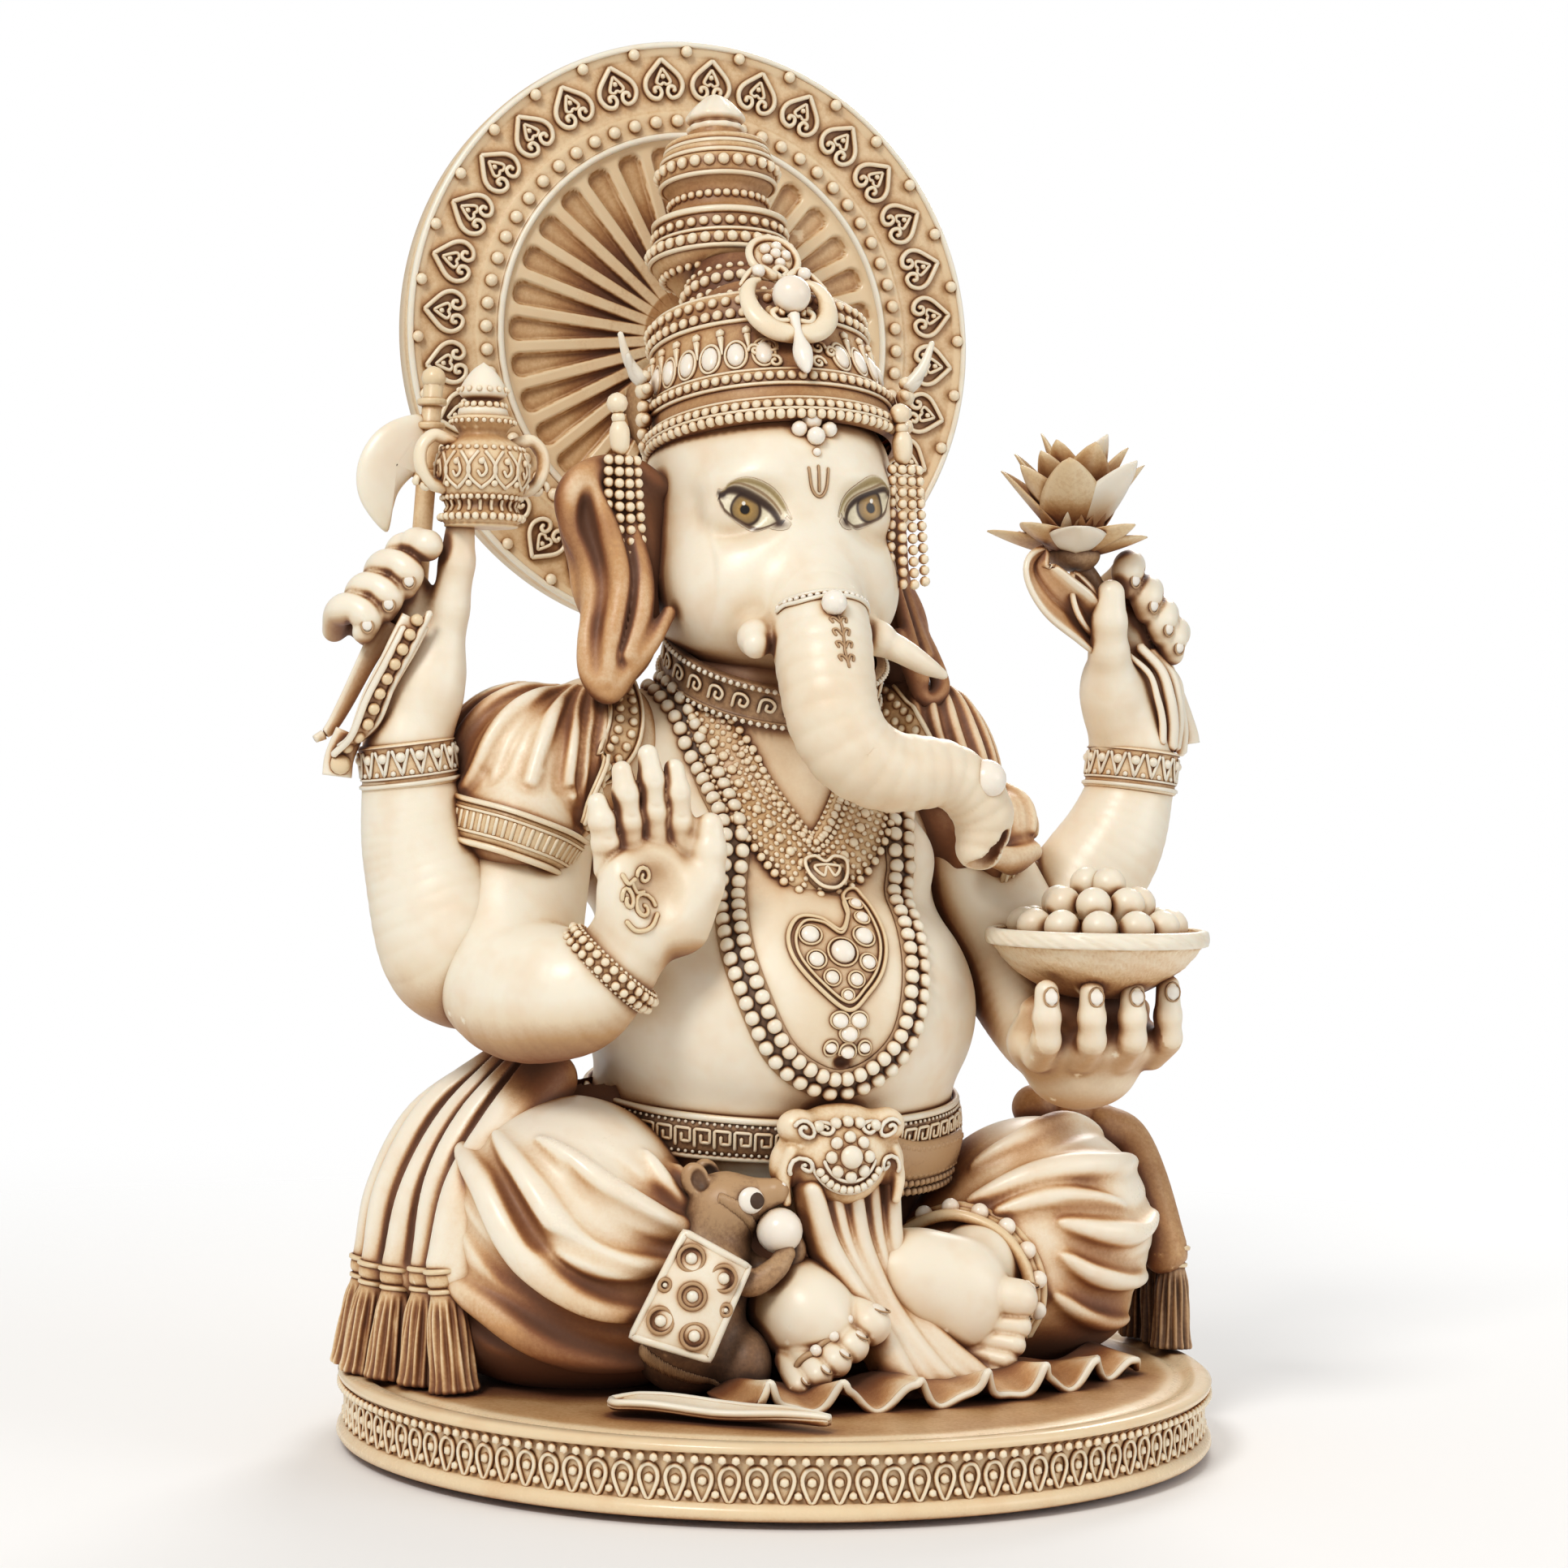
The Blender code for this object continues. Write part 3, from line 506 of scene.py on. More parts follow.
            v[(axis + 2) % 3] = 1
            ok = ((crossing - u - v) >= 0).all(1) & (crossing < np.array(size)).all(1)
            crossing = crossing[ok]
            quad = np.stack([index[tuple((crossing - shift).T)] for shift in (0 * u, u, u + v, v)], 1)
            solid = inside[tuple(crossing.T)]
            quad[~solid] = quad[~solid][:, ::-1]
            faces.append(quad)
        return points, np.concatenate(faces)


def turn_matrix(degrees):
    x, y, z = (math.radians(angle) for angle in degrees)
    return Matrix.Rotation(z, 3, "Z") @ Matrix.Rotation(y, 3, "Y") @ Matrix.Rotation(x, 3, "X")


class Turned:
    """A turned shape: rings of (radius, height) about an axis that may lean."""

    def __init__(self, origin, stations, lean=(0, 0, 0), steps=8):
        self.origin = np.asarray(origin, float)
        self.turn = np.array(turn_matrix(lean))
        self.profile = curve(stations, steps) if steps > 1 else np.asarray(stations, float)
        self.drift = 0.0

    def place(self, radius, angle, height):
        """The point at an angle about the axis, from -Y at 0 towards +X. drift slides each ring back, in
        proportion to its height."""
        radius, angle, height = np.broadcast_arrays(radius, angle, height)
        back = self.drift * height - radius * np.cos(angle)
        local = np.stack([radius * np.sin(angle), back, height], -1)
        return local @ self.turn.T + self.origin

    def radius(self, height):
        """The widest radius at a height."""
        order = np.argsort(self.profile[:, 1])
        return np.interp(height, self.profile[order, 1], self.profile[order, 0])

    def on(self, height, angle, lift=0.0):
        return self.place(self.radius(height) + lift, angle, height)

    def out(self, angle):
        angle = np.asarray(angle, float)
        local = np.stack([np.sin(angle), -np.cos(angle), 0 * angle], -1)
        return local @ self.turn.T

    def row(self, height, count, radius, lift=0.0, detail=2):
        """A row of beads round the shape."""
        angles = np.arange(count) * 2 * math.pi / count
        return beads(self.on(height, angles, lift), radius, detail)

    def shell(self, segments=96, ripple=None):
        """The surface. ripple(angle, height) gives an amount to add to the radius."""
        segments = int(segments / COARSE)
        angles = np.arange(segments) * 2 * math.pi / segments
        radius = self.profile[:, 0][:, None] + 0 * angles
        height = self.profile[:, 1][:, None] + 0 * angles
        if ripple is not None:
            radius = radius + ripple(angles[None, :], height)
        points = self.place(radius, angles[None, :], height).reshape(-1, 3)
        return outward(points, grid_faces(len(self.profile), segments, closed=True))


class Strip:
    """A band laid on a surface: places along it, across it and over it."""

    def __init__(self, clay, path, height=0.0, closed=False):
        self.points = clay.drop(spread(path, 0.8, closed), height)
        if closed:
            self.points = np.concatenate([self.points, self.points[:1]])
        self.out = clay.slope(self.points)
        tangent = unit(np.gradient(self.points, axis=0))
        self.side = unit(np.cross(tangent, self.out))
        self.along = np.concatenate([[0], np.cumsum(np.linalg.norm(np.diff(self.points, axis=0), axis=1))])
        self.length = self.along[-1]

    def read(self, values, along):
        return np.stack([np.interp(along, self.along, values[:, axis]) for axis in range(3)], -1)

    def at(self, along, across=0.0, lift=0.0):
        along, across, lift = np.broadcast_arrays(*(np.asarray(v, float) for v in (along, across, lift)))
        return (self.read(self.points, along) + self.read(self.side, along) * across[..., None]
                + self.read(self.out, along) * lift[..., None])

    def steps(self, spacing):
        return np.linspace(0, self.length, max(2, int(round(self.length / spacing)) + 1))

    def line(self, across, radius, lift, sides=6):
        """A rod along the band."""
        along = self.steps(1.2)
        return wire(self.at(along, across, lift), radius, unit(self.read(self.out, along)), sides)

    def row(self, across, spacing, radius, lift, detail=2):
        """A row of beads along the band."""
        return beads(self.at(self.steps(spacing), across, lift), radius, detail)

    def motif(self, line, pitch, radius, lift):
        """Repeats a drawn line of (along, across) at a pitch."""
        count = max(1, int(round(self.length / pitch)))
        line = np.asarray(line, float)
        parts = []
        for i in range(count):
            middle = (i + 0.5) * self.length / count
            path = self.at(middle + line[:, 0], line[:, 1], lift)
            parts.append(wire(path, radius, self.read(self.out, np.array([middle]))[0], 5))
        return parts

    def band(self, width, thick):
        """A solid ribbon with a slightly crowned face."""
        crown = 0.3
        along = self.steps(1.4)
        section = [(-0.5, -0.6), (-0.5, 0.6), (-0.3, 1 + crown * 0.6), (0, 1 + crown),
                   (0.3, 1 + crown * 0.6), (0.5, 0.6), (0.5, -0.6)]
        rings = np.stack([self.at(along, across * width, lift * thick) for across, lift in section], 1)
        return tube(rings)


# ---------------------------------------------------------------- materials


class Graph:
    """A material's node graph, with short ways to make the nodes it needs."""

    def __init__(self, name, roughness):
        self.material = bpy.data.materials.new(name)
        self.material.use_nodes = True
        self.tree = self.material.node_tree
        self.shader = self.tree.nodes["Principled BSDF"]
        self.shader.inputs["Roughness"].default_value = roughness
        self.place = self.node("ShaderNodeTexCoord").outputs["Object"]

    def node(self, kind, **settings):
        made = self.tree.nodes.new(kind)
        for key, value in settings.items():
            setattr(made, key, value)
        return made

    def put(self, socket, value):
        if isinstance(value, bpy.types.NodeSocket):
            self.tree.links.new(value, socket)
        else:
            socket.default_value = value

    def sum(self, *terms):
        """Adds (value, gain) pairs and plain numbers."""
        total = 0.0
        for term in terms:
            value, gain = term if isinstance(term, tuple) else (term, 1.0)
            made = self.node("ShaderNodeMath", operation="MULTIPLY_ADD")
            self.put(made.inputs[0], value)
            self.put(made.inputs[1], gain)
            self.put(made.inputs[2], total)
            total = made.outputs[0]
        return total

    def noise(self, size, detail=3.0, rough=0.55):
        """Noise whose features are about size millimetres across."""
        made = self.node("ShaderNodeTexNoise")
        self.put(made.inputs["Vector"], self.place)
        made.inputs["Scale"].default_value = 1 / (size * MM)
        made.inputs["Detail"].default_value = detail
        made.inputs["Roughness"].default_value = rough
        return made.outputs["Fac"]

    def openness(self, reach, samples):
        """1 in the open, falling to 0 in hollows narrower than reach millimetres."""
        made = self.node("ShaderNodeAmbientOcclusion", samples=samples)
        made.inputs["Distance"].default_value = reach * MM
        return made.outputs["AO"]

    def ramp(self, value, stops):
        made = self.node("ShaderNodeValToRGB")
        self.put(made.inputs["Fac"], value)
        band = made.color_ramp
        while len(band.elements) < len(stops):
            band.elements.new(0.5)
        for element, (place, colour) in zip(band.elements, stops):
            element.position = place
            element.color = rgb(*colour)
        return made.outputs["Color"]

    def mix(self, share, first, second, kind="MIX"):
        made = self.node("ShaderNodeMix", data_type="RGBA", blend_type=kind)
        self.put(made.inputs["Factor"], share)
        self.put(made.inputs[6], first)
        self.put(made.inputs[7], second)
        return made.outputs[2]

    def remap(self, value, low, high, top=1.0, **settings):
        """0 where value is low, rising to top where it is high."""
        made = self.node("ShaderNodeMapRange", **settings)
        self.put(made.inputs["Value"], value)
        made.inputs["From Min"].default_value = low
        made.inputs["From Max"].default_value = high
        made.inputs["To Max"].default_value = top
        return made.outputs["Result"]

    def bump(self, height, strength, depth):
        made = self.node("ShaderNodeBump")
        made.inputs["Strength"].default_value = strength
        made.inputs["Distance"].default_value = depth * MM
        self.put(made.inputs["Height"], height)
        self.tree.links.new(made.outputs["Normal"], self.shader.inputs["Normal"])


def linear(values):
    """Screen values from 0 to 255 as linear light."""
    values = np.clip(values, 0, 255) / 255
    return np.where(values <= 0.04045, values / 12.92, ((values + 0.055) / 1.055) ** 2.4)


def rgb(*values):
    return (*(float(value) for value in linear(values)), 1.0)


def antique(name, stops, roughness=0.34, wash=1.0, reach=8.0, mottle=0.16, grain=0.12, glow=0.12):
    """Cast resin with a brown wash that stays in its hollows. stops run from the clean resin to the wash."""
    g = Graph(name, roughness)
    wide, tight = g.openness(reach, 8), g.openness(2.2, 6)
    edge = g.node("ShaderNodeNewGeometry").outputs["Pointiness"]
    # The mesh's own values add wash, painted shade and painted highlights to the amount.
    stain_and_shade = g.node("ShaderNodeAttribute", attribute_name="stain_and_shade").outputs["Fac"]
    cloud, speck = g.noise(14.0, 4.0), g.noise(0.9, 3.0, 0.7)
    amount = g.sum((wide, -0.62 * wash), (tight, -0.45 * wash), 1.07 * wash, (edge, -1.6 * wash), 0.8 * wash,
                   (stain_and_shade, 1.0), (cloud, mottle), -0.5 * mottle, (speck, grain), -0.5 * grain)
    colour = g.ramp(amount, stops)
    warm = g.mix(0.5, colour, rgb(236, 205, 170), "MULTIPLY")
    blush = g.remap(g.noise(9.0, 2.0), 0.48, 0.75, 0.55)
    g.put(g.shader.inputs["Base Color"], g.mix(blush, colour, warm))
    g.put(g.shader.inputs["Roughness"], g.sum((amount, 0.3), (speck, 0.12), roughness - 0.06))
    g.shader.inputs["Subsurface Weight"].default_value = glow
    g.shader.inputs["Subsurface Radius"].default_value = (1.0, 0.6, 0.4)
    g.shader.inputs["Subsurface Scale"].default_value = 3.0 * MM
    g.bump(g.sum((speck, 0.6), (g.noise(0.35, 2.0), 0.4)), 0.22, 0.16)
    return g.material


def painted(name):
    """Paint whose colour is held by the mesh, with fine brush streaks over it."""
    g = Graph(name, 0.28)
    colour = g.node("ShaderNodeAttribute", attribute_name="paint").outputs["Color"]
    streak = g.ramp(g.noise(0.5, 3.0), [(0.25, (214, 206, 196)), (0.7, (255, 255, 255))])
    g.put(g.shader.inputs["Base Color"], g.mix(0.5, colour, streak, "MULTIPLY"))
    g.bump(g.noise(0.7, 2.0), 0.1, 0.05)
    return g.material


def felt_material():
    g = Graph("green_felt", 0.95)
    fibre = g.noise(0.5, 5.0, 0.8)
    g.put(g.shader.inputs["Base Color"], g.ramp(fibre, [(0.3, (34, 52, 38)), (0.7, (66, 88, 66))]))
    g.shader.inputs["Sheen Weight"].default_value = 0.4
    g.bump(fibre, 0.7, 0.5)
    return g.material


def plain_stage_material():
    """A pale floor that fades into the background at its rim."""
    g = Graph("pale_floor", 0.85)
    g.put(g.shader.inputs["Base Color"], rgb(250, 250, 250))
    g.shader.inputs["Specular IOR Level"].default_value = 0.1
    away = g.node("ShaderNodeVectorMath", operation="LENGTH")
    g.put(away.inputs[0], g.place)
    near, far = 0.16, 0.62  # metres from the middle, where the fade starts and ends
    fade = g.remap(away.outputs["Value"], near, far, interpolation_type="SMOOTHSTEP")
    blend = g.node("ShaderNodeMixShader")
    g.put(blend.inputs[0], fade)
    g.put(blend.inputs[1], g.shader.outputs[0])
    g.put(blend.inputs[2], g.node("ShaderNodeBsdfTransparent").outputs[0])
    g.put(g.tree.nodes["Material Output"].inputs["Surface"], blend.outputs[0])
    return g.material


CREAM = (0.0, (251, 241, 222))
BROWN = (0.72, (134, 82, 49))
DARKEST = (1.0, (98, 61, 39))
IVORY = antique("ivory_resin", [CREAM, (0.28, (240, 222, 192)), (0.48, (203, 163, 118)), BROWN, DARKEST],
                mottle=0.16, grain=0.06, glow=0.2, wash=1.3)
CARVED = antique("carved_resin", [(0.0, (250, 234, 206)), (0.22, (229, 196, 150)), (0.42, (186, 138, 88)),
                                  (0.66, (136, 84, 50)), DARKEST], mottle=0.3, grain=0.3, wash=1.25)
TAN = antique("tan_resin", [(0.0, (240, 216, 178)), (0.18, (214, 176, 128)), (0.4, (178, 130, 82)),
                            (0.7, (120, 72, 43)), DARKEST], mottle=0.34, grain=0.3, wash=1.15)
CLOTH = antique("cloth_resin", [CREAM, (0.2, (240, 218, 184)), (0.38, (208, 159, 107)),
                                (0.64, (140, 84, 47)), DARKEST], mottle=0.26, grain=0.16, reach=10.0,
                wash=1.6)
DARK = antique("dark_resin", [(0.0, (190, 154, 114)), (0.25, (132, 96, 66)), (0.6, (76, 52, 35)),
                              (1.0, (52, 35, 24))], mottle=0.4, grain=0.4, glow=0.0, roughness=0.42)
PEARL = antique("pearl_resin", [(0.0, (255, 247, 234)), (0.35, (243, 220, 190)), (0.7, (176, 126, 84)),
                                DARKEST], mottle=0.08, grain=0.05, roughness=0.26, wash=0.75, reach=4.0)
PAINT = painted("face_paint")
FELT = felt_material()


# ---------------------------------------------------------------- plinth


def plinth():
    """Stepped disc with teardrops and studs round its side, on a felt pad."""
    body = Turned((0, 0, 0), [(0, 1.5), (91.5, 1.5), (92.6, 2.2), (93, 3.4), (92.2, 4.6), (90.6, 5.0),
                              (90.4, 9), (90.6, 13.4), (91.0, 14.0), (92.2, 14.2), (92.9, 15.0),
                              (92.4, 16.0), (91, 16.3), (88.2, 16.2), (87.0, 15.2), (85.6, 15.4), (84, 16.0),
                              (40, 16.2), (0, 16.2)], steps=1)
    body.profile = spread(body.profile, 1.2)
    points, faces = body.shell(360)
    radius = np.hypot(points[:, 0], points[:, 1])
    stain_and_shade = clamp((radius - 84) / -3) * (points[:, 2] > 14) * 0.3
    stain_and_shade += np.exp(-((radius - 86.4) / 1.4) ** 2) * (points[:, 2] > 14) * 0.1
    stain_and_shade -= 0.32 * (radius > 84.5)
    finish_piece("plinth", points, faces, TAN, "carved_resin", ["base_plinth"], stain_and_shade)
    count = 110
    drops, studs = [], []
    outline = curve([(0, -3.6), (1.35, -1.2), (1.9, 1.0), (1.2, 2.7), (0, 3.2), (-1.2, 2.7), (-1.9, 1.0),
                     (-1.35, -1.2)], 3, closed=True)
    for i in range(count):
        angle = 2 * math.pi * i / count
        out = np.array([math.sin(angle), -math.cos(angle), 0])
        side = np.array([math.cos(angle), math.sin(angle), 0])
        rim = out * 90.9 + side * outline[:, :1] + np.array([0, 0, 1]) * (outline[:, 1:] + 8.4)
        drops.append(wire(rim, 0.5, out, sides=5, closed=True))
        drops.append(beads([out * 90.6 + (0, 0, 8.9)], 1.15, 1, squash=([out], 0.8)))
        for shift in (-0.25, 0.25):
            a = angle + shift * 2 * math.pi / count
            studs.append((92 * math.sin(a), -92 * math.cos(a), 13.1))
        a = angle + math.pi / count
        studs.append((91 * math.sin(a), -91 * math.cos(a), 6.4))
    finish_parts("plinth_teardrops", drops, CARVED, "carved_resin")
    finish_piece("plinth_beads", *beads(studs, 0.95, 1), CARVED, "carved_resin")
    pad = Turned((0, 0, 0), [(0, 0), (79, 0), (81.6, 0.2), (82, 0.7), (81.2, 1.2), (0, 1.2)], steps=1)
    pad.profile = spread(pad.profile, 2.0)
    points, faces = pad.shell(96)
    finish_piece("felt_base", points, faces, FELT, "felt", ["felt_pad"])


# ---------------------------------------------------------------- halo


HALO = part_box("halo_disc")
HALO_MIDDLE = np.array([(HALO[0].x + HALO[1].x) / 2, 0, (HALO[0].z + HALO[1].z) / 2]) / MM
HALO_R = (HALO[1].x - HALO[0].x) / 2 / MM
HALO_FRONT = 64.0
MOTIFS = 32
SLOTS_END, RIDGE_R = 44.6, 46.4
TROUGH = (52.2, 65.6)
MOTIF_R, RIM_R = 59.2, 65.8


def halo_point(radius, angle, lift=0.0):
    """A point on the halo's front, angle from the top towards +X, lift towards the viewer."""
    radius, angle, lift = np.broadcast_arrays(radius, angle, lift)
    place = np.stack([radius * np.sin(angle), HALO_FRONT - lift, radius * np.cos(angle)], -1)
    return place + HALO_MIDDLE


def halo_relief(radius, angle):
    """Height of the front over its flat: ribs between sunk slots, a ridge, a trough and the rim."""
    turn = (angle / (2 * math.pi) * MOTIFS + 0.5) % 1.0 - 0.5  # 0 in the middle of a slot
    across = np.abs(turn) * 2 * math.pi * radius / MOTIFS
    wall = np.maximum(1.05, 0.17 * math.pi * radius / MOTIFS)
    inside = math.pi * radius / MOTIFS - wall - across
    end = SLOTS_END - radius
    round_end = 2.6
    corner = np.hypot(np.maximum(round_end - inside, 0), np.maximum(round_end - end, 0))
    depth = np.minimum(np.minimum(inside, end), round_end - corner)
    slot = clamp(depth / 0.8)
    slot = slot * slot * (3 - 2 * slot)
    ridge = np.exp(-((radius - RIDGE_R) / 1.1) ** 2) * 0.9
    trough = clamp((radius - TROUGH[0]) / 0.8) * clamp((TROUGH[1] - radius) / 0.8)
    rim = clamp(radius - RIM_R) * clamp((HALO_R - radius) / 0.6)
    rib = 0.5 * np.cos(turn * 2 * math.pi) * clamp((40 - radius) / 12) * slot
    return ridge - 1.7 * slot + rib * 0.4 - 0.5 * trough + 0.4 * rim


def spade(scale):
    """The halo motif's lines, (side, up, radius): a pointed leaf whose foot curls into two scrolls."""
    half = curve([(0, 4.5), (1.5, 3.0), (3.5, 0.9), (4.1, -1.1), (3.2, -2.9), (1.6, -3.4), (0.7, -2.4),
                  (1.1, -1.2), (2.1, -1.3), (2.2, -2.1)], 4)
    leaf = curve([(0, 2.6), (0.9, 1.2), (1.5, -0.1), (0.8, -0.7), (0, -0.3)], 3)
    lines = []
    for line, radius in ((half, 0.55), (leaf, 0.42)):
        for side in (-1, 1):
            lines.append((line * (side * scale, scale), radius * scale))
    return lines


def halo():
    """Disc of slots between ribs, with a ring of leaf motifs, beads and a neck that holds it."""
    rings = np.concatenate([np.linspace(0.02, 12, 7)[:-1], np.linspace(12, HALO_R - 0.8, int(108 / COARSE)),
                            [HALO_R - 0.2, HALO_R]])
    segments = int(MOTIFS * 22 / COARSE)
    angles = np.arange(segments) * 2 * math.pi / segments
    r, a = np.meshgrid(rings, angles, indexing="ij")
    relief = halo_relief(r, a)
    relief[-2], relief[-1] = -0.4, -1.4
    front = halo_point(r, a, relief)
    back_rings = [(HALO_R, -3.2), (HALO_R - 0.3, -7.6), (HALO_R - 1.4, -8.8), (HALO_R - 5, -9.0),
                  (HALO_R - 6, -8.2), (48, -8.2), (47, -8.9), (44, -8.9), (43, -8.2), (4, -8.2),
                  (0.02, -8.2)]
    back = np.stack([halo_point(radius, angles, lift) for radius, lift in back_rings])
    points = np.concatenate([front, back]).reshape(-1, 3)
    faces = grid_faces(len(front) + len(back), segments, closed=True)
    # Painted shade: darker towards the middle, where the head and crown shade the slots.
    head_shade_on_slots = clamp((36 - r) / 16) * 0.55
    ribs = ((r > 12) & (r < 47.6) & (relief > -0.5)) * 0.34
    field = ((r > 52) & (r < 65.4)) * 0.14
    stain_and_shade = np.concatenate([(head_shade_on_slots + 0.24 * (relief < -0.9) + field - ribs).ravel(),
                            np.full(back.size // 3, 0.05)])
    finish_piece("halo_face", points, faces, TAN, "carved_resin", ["halo_disc", "halo_stem"], stain_and_shade - 0.17)
    out = np.array([0, -1, 0])
    lines, tops = [], []
    for i in range(MOTIFS):
        angle = 2 * math.pi * (i + 0.25) / MOTIFS
        for line, radius in spade(1.12):
            reach = MOTIF_R + line[:, 1]
            turn = angle + line[:, 0] / MOTIF_R
            lines.append(wire(halo_point(reach, turn, 0.1), radius, out, sides=5, flat=1.3))
        tops.append(halo_point(MOTIF_R + 1.2, angle))
    finish_parts("halo_motifs", lines, CARVED, "carved_resin")
    finish_piece("halo_leaf_hearts", *beads(tops, 0.8, 1), CARVED, "carved_resin")
    inner = halo_point(50.0, np.arange(60) * 2 * math.pi / 60, 0.5)
    outer = halo_point(65.9, (np.arange(MOTIFS) + 0.75) * 2 * math.pi / MOTIFS, 0.4)
    finish_parts("halo_beads", [beads(inner, 1.5), beads(outer, 1.4)], CARVED, "carved_resin")
    rims = []
    for radius, lift, width in ((RIDGE_R + 0.2, 0.5, 0.9), (67.4, 0.2, 0.8)):
        rims.append(wire(halo_point(radius, full_turn(239), lift), width, out, closed=True))
    finish_parts("halo_rings", rims, IVORY, "carved_resin")
    hub = Turned((-1, 44, 214), [(15, -18), (15.5, -6), (14.5, 4), (13, 14), (15, 24)], lean=(-62, 0, 0))
    finish_piece("halo_neck", *hub.shell(48), DARK, "dark_resin")


# ---------------------------------------------------------------- head, trunk, ears and tusks

TRUNK = [(-2.6, -16, 179, 10.4), (-3.2, -24, 175, 10.6), (-4.2, -31, 170, 10.4), (-5.2, -36.5, 162, 10.0),
         (-4.6, -39.5, 153.5, 9.6), (-1, -41, 146.8, 9.2), (6, -41.5, 143, 8.5), (12.8, -41.5, 142.6, 7.8),
         (18.6, -41, 142.6, 7.0), (24.6, -40, 140, 6.7), (29.4, -38.5, 134, 6.4), (29, -37.5, 127.4, 5.0)]
EYE_SPOTS = {"right": (-16.4, -17, 196), "left": (10.8, -17, 197)}


def creased(path, first, last, pitch, depth):
    """A rod's path with narrow creases cut round it between two distances along it."""
    fine = spread(curve(path, 10), 0.6)
    along = np.arange(len(fine)) * 0.6
    inside = clamp((along - first) / 6) * clamp((last - along) / 6)
    near = (along % pitch) - pitch / 2
    fine[:, 3] -= depth * inside * np.exp(-(near / 0.8) ** 2)
    return fine


def head():
    """Head, trunk and tusks in one casting."""
    clay = Clay((-58, -56, 120), (48, 40, 226), 0.6)
    clay.ball((-2.4, 6, 192), (26.2, 26.5, 29))
    clay.ball((-2, 7, 208), (25.2, 25.4, 16), 8)
    clay.ball((-5, -1, 179), (22.6, 21.5, 15.6), 12)
    clay.ball((-2.8, -11, 183), (12.4, 13, 14), 12)
    clay.ball((-1.5, -13, 204), (14, 7, 9), 9)
    clay.limbs([[(-1, 10, 168, 20), (-1, 8, 156, 20)]], 6)
    for side in (-1, 1):
        middle = -2.8
        clay.ball((middle + side * 12.5, -14.5, 202.5), (8.2, 4.5, 3.4), 5, turn=(0, side * 14, side * 30))
        clay.ball((middle - 0.6 + side * 13.8, -10, 180), (8.4, 9, 9), 9)
        clay.ball((middle + side * 14.6, -21.6, 196), (8.5, 4.2, 4.6), 4, turn=(0, side * 20, side * 34),
                  cut=True)
        clay.ball((middle + side * 13.4, -13.0, 196), (7.0, 5.8, 5.4), 2.6)
    trunk = creased(TRUNK, 12, 96, 3.6, 1.3)
    clay.limbs([trunk], 4.5)
    clay.limbs([[(32, -41, 130, 1.6), (28, -39, 123, 1.9)]], 1.6, cut=True)
    for side, root, tip in ((-1, (-13, -18, 172), (-17.0, -26.5, 169.6)),
                            (1, (6, -18, 174), (10.4, -25, 170.5))):
        clay.limbs([[(*root, 4.2), (*tip, 3.4)]], 3)
        ring = np.array(tip, float)
        clay.limbs([[(*ring, 3.7), (*(ring + (side * 0.3, -1.0, -0.3)), 3.7)]], 0.8)
    clay.limbs([curve([(9.4, -24, 170.8, 3.1), (15, -27, 168, 2.8), (20.5, -27.5, 165, 2.1),
                       (25, -27, 163, 1.0)])], 0.6)
    clay.limbs([[(-17.2, -27, 169.4, 2.6), (-18.0, -29.6, 168.2, 2.9)]], 0.5)

    # Painted shade under the head, below the jaw; also darker towards the bottom of the trunk's front, along
    # the crown's edge and round the eyes.
    def stain_and_shade(x, y, z):
        trunk_front_darker = 0.16 * clamp((-34 - y) / 4) * clamp((176 - z) / 12)
        shade_under_jaw = 0.26 * clamp((172 - z) / 12) * (y > -26)
        crown_line = 0.3 * clamp((z - 211) / 6)
        sockets = sum(np.exp(-((x - spot[0]) / 9) ** 2 - ((z - spot[2] - 3) / 6) ** 2)
                      for spot in EYE_SPOTS.values())
        return trunk_front_darker + shade_under_jaw + crown_line + 0.12 * sockets

    clay.finish("head", IVORY, "ivory_resin", ["head", "trunk", "right_tusk", "left_tusk"], crease=0.5,
                under=0.14, reach=2.0, stain_and_shade=stain_and_shade)
    return clay


def ear(name, shade, clay, plate, rim, folds, nodes):
    """A folded ear: a plate of balls with a rolled rim and folds on it."""
    for centre, radii, turn in plate:
        clay.ball(centre, radii, 4, turn)
    clay.limbs([curve(rim, 8)], 2.4)
    clay.limbs([curve(fold, 8) for fold in folds], 2.4)

    def stain_and_shade(x, _, z):
        top = 0.16 * clamp((z - 180) / 12)
        return shade + 0.35 + top - 0.3 * np.exp(-((x + 48) / 5) ** 2 - ((z - 200) / 5) ** 2)

    clay.finish(name, CLOTH, "ivory_resin", nodes, crease=0.55, under=0.25, reach=3.0, stain_and_shade=stain_and_shade)


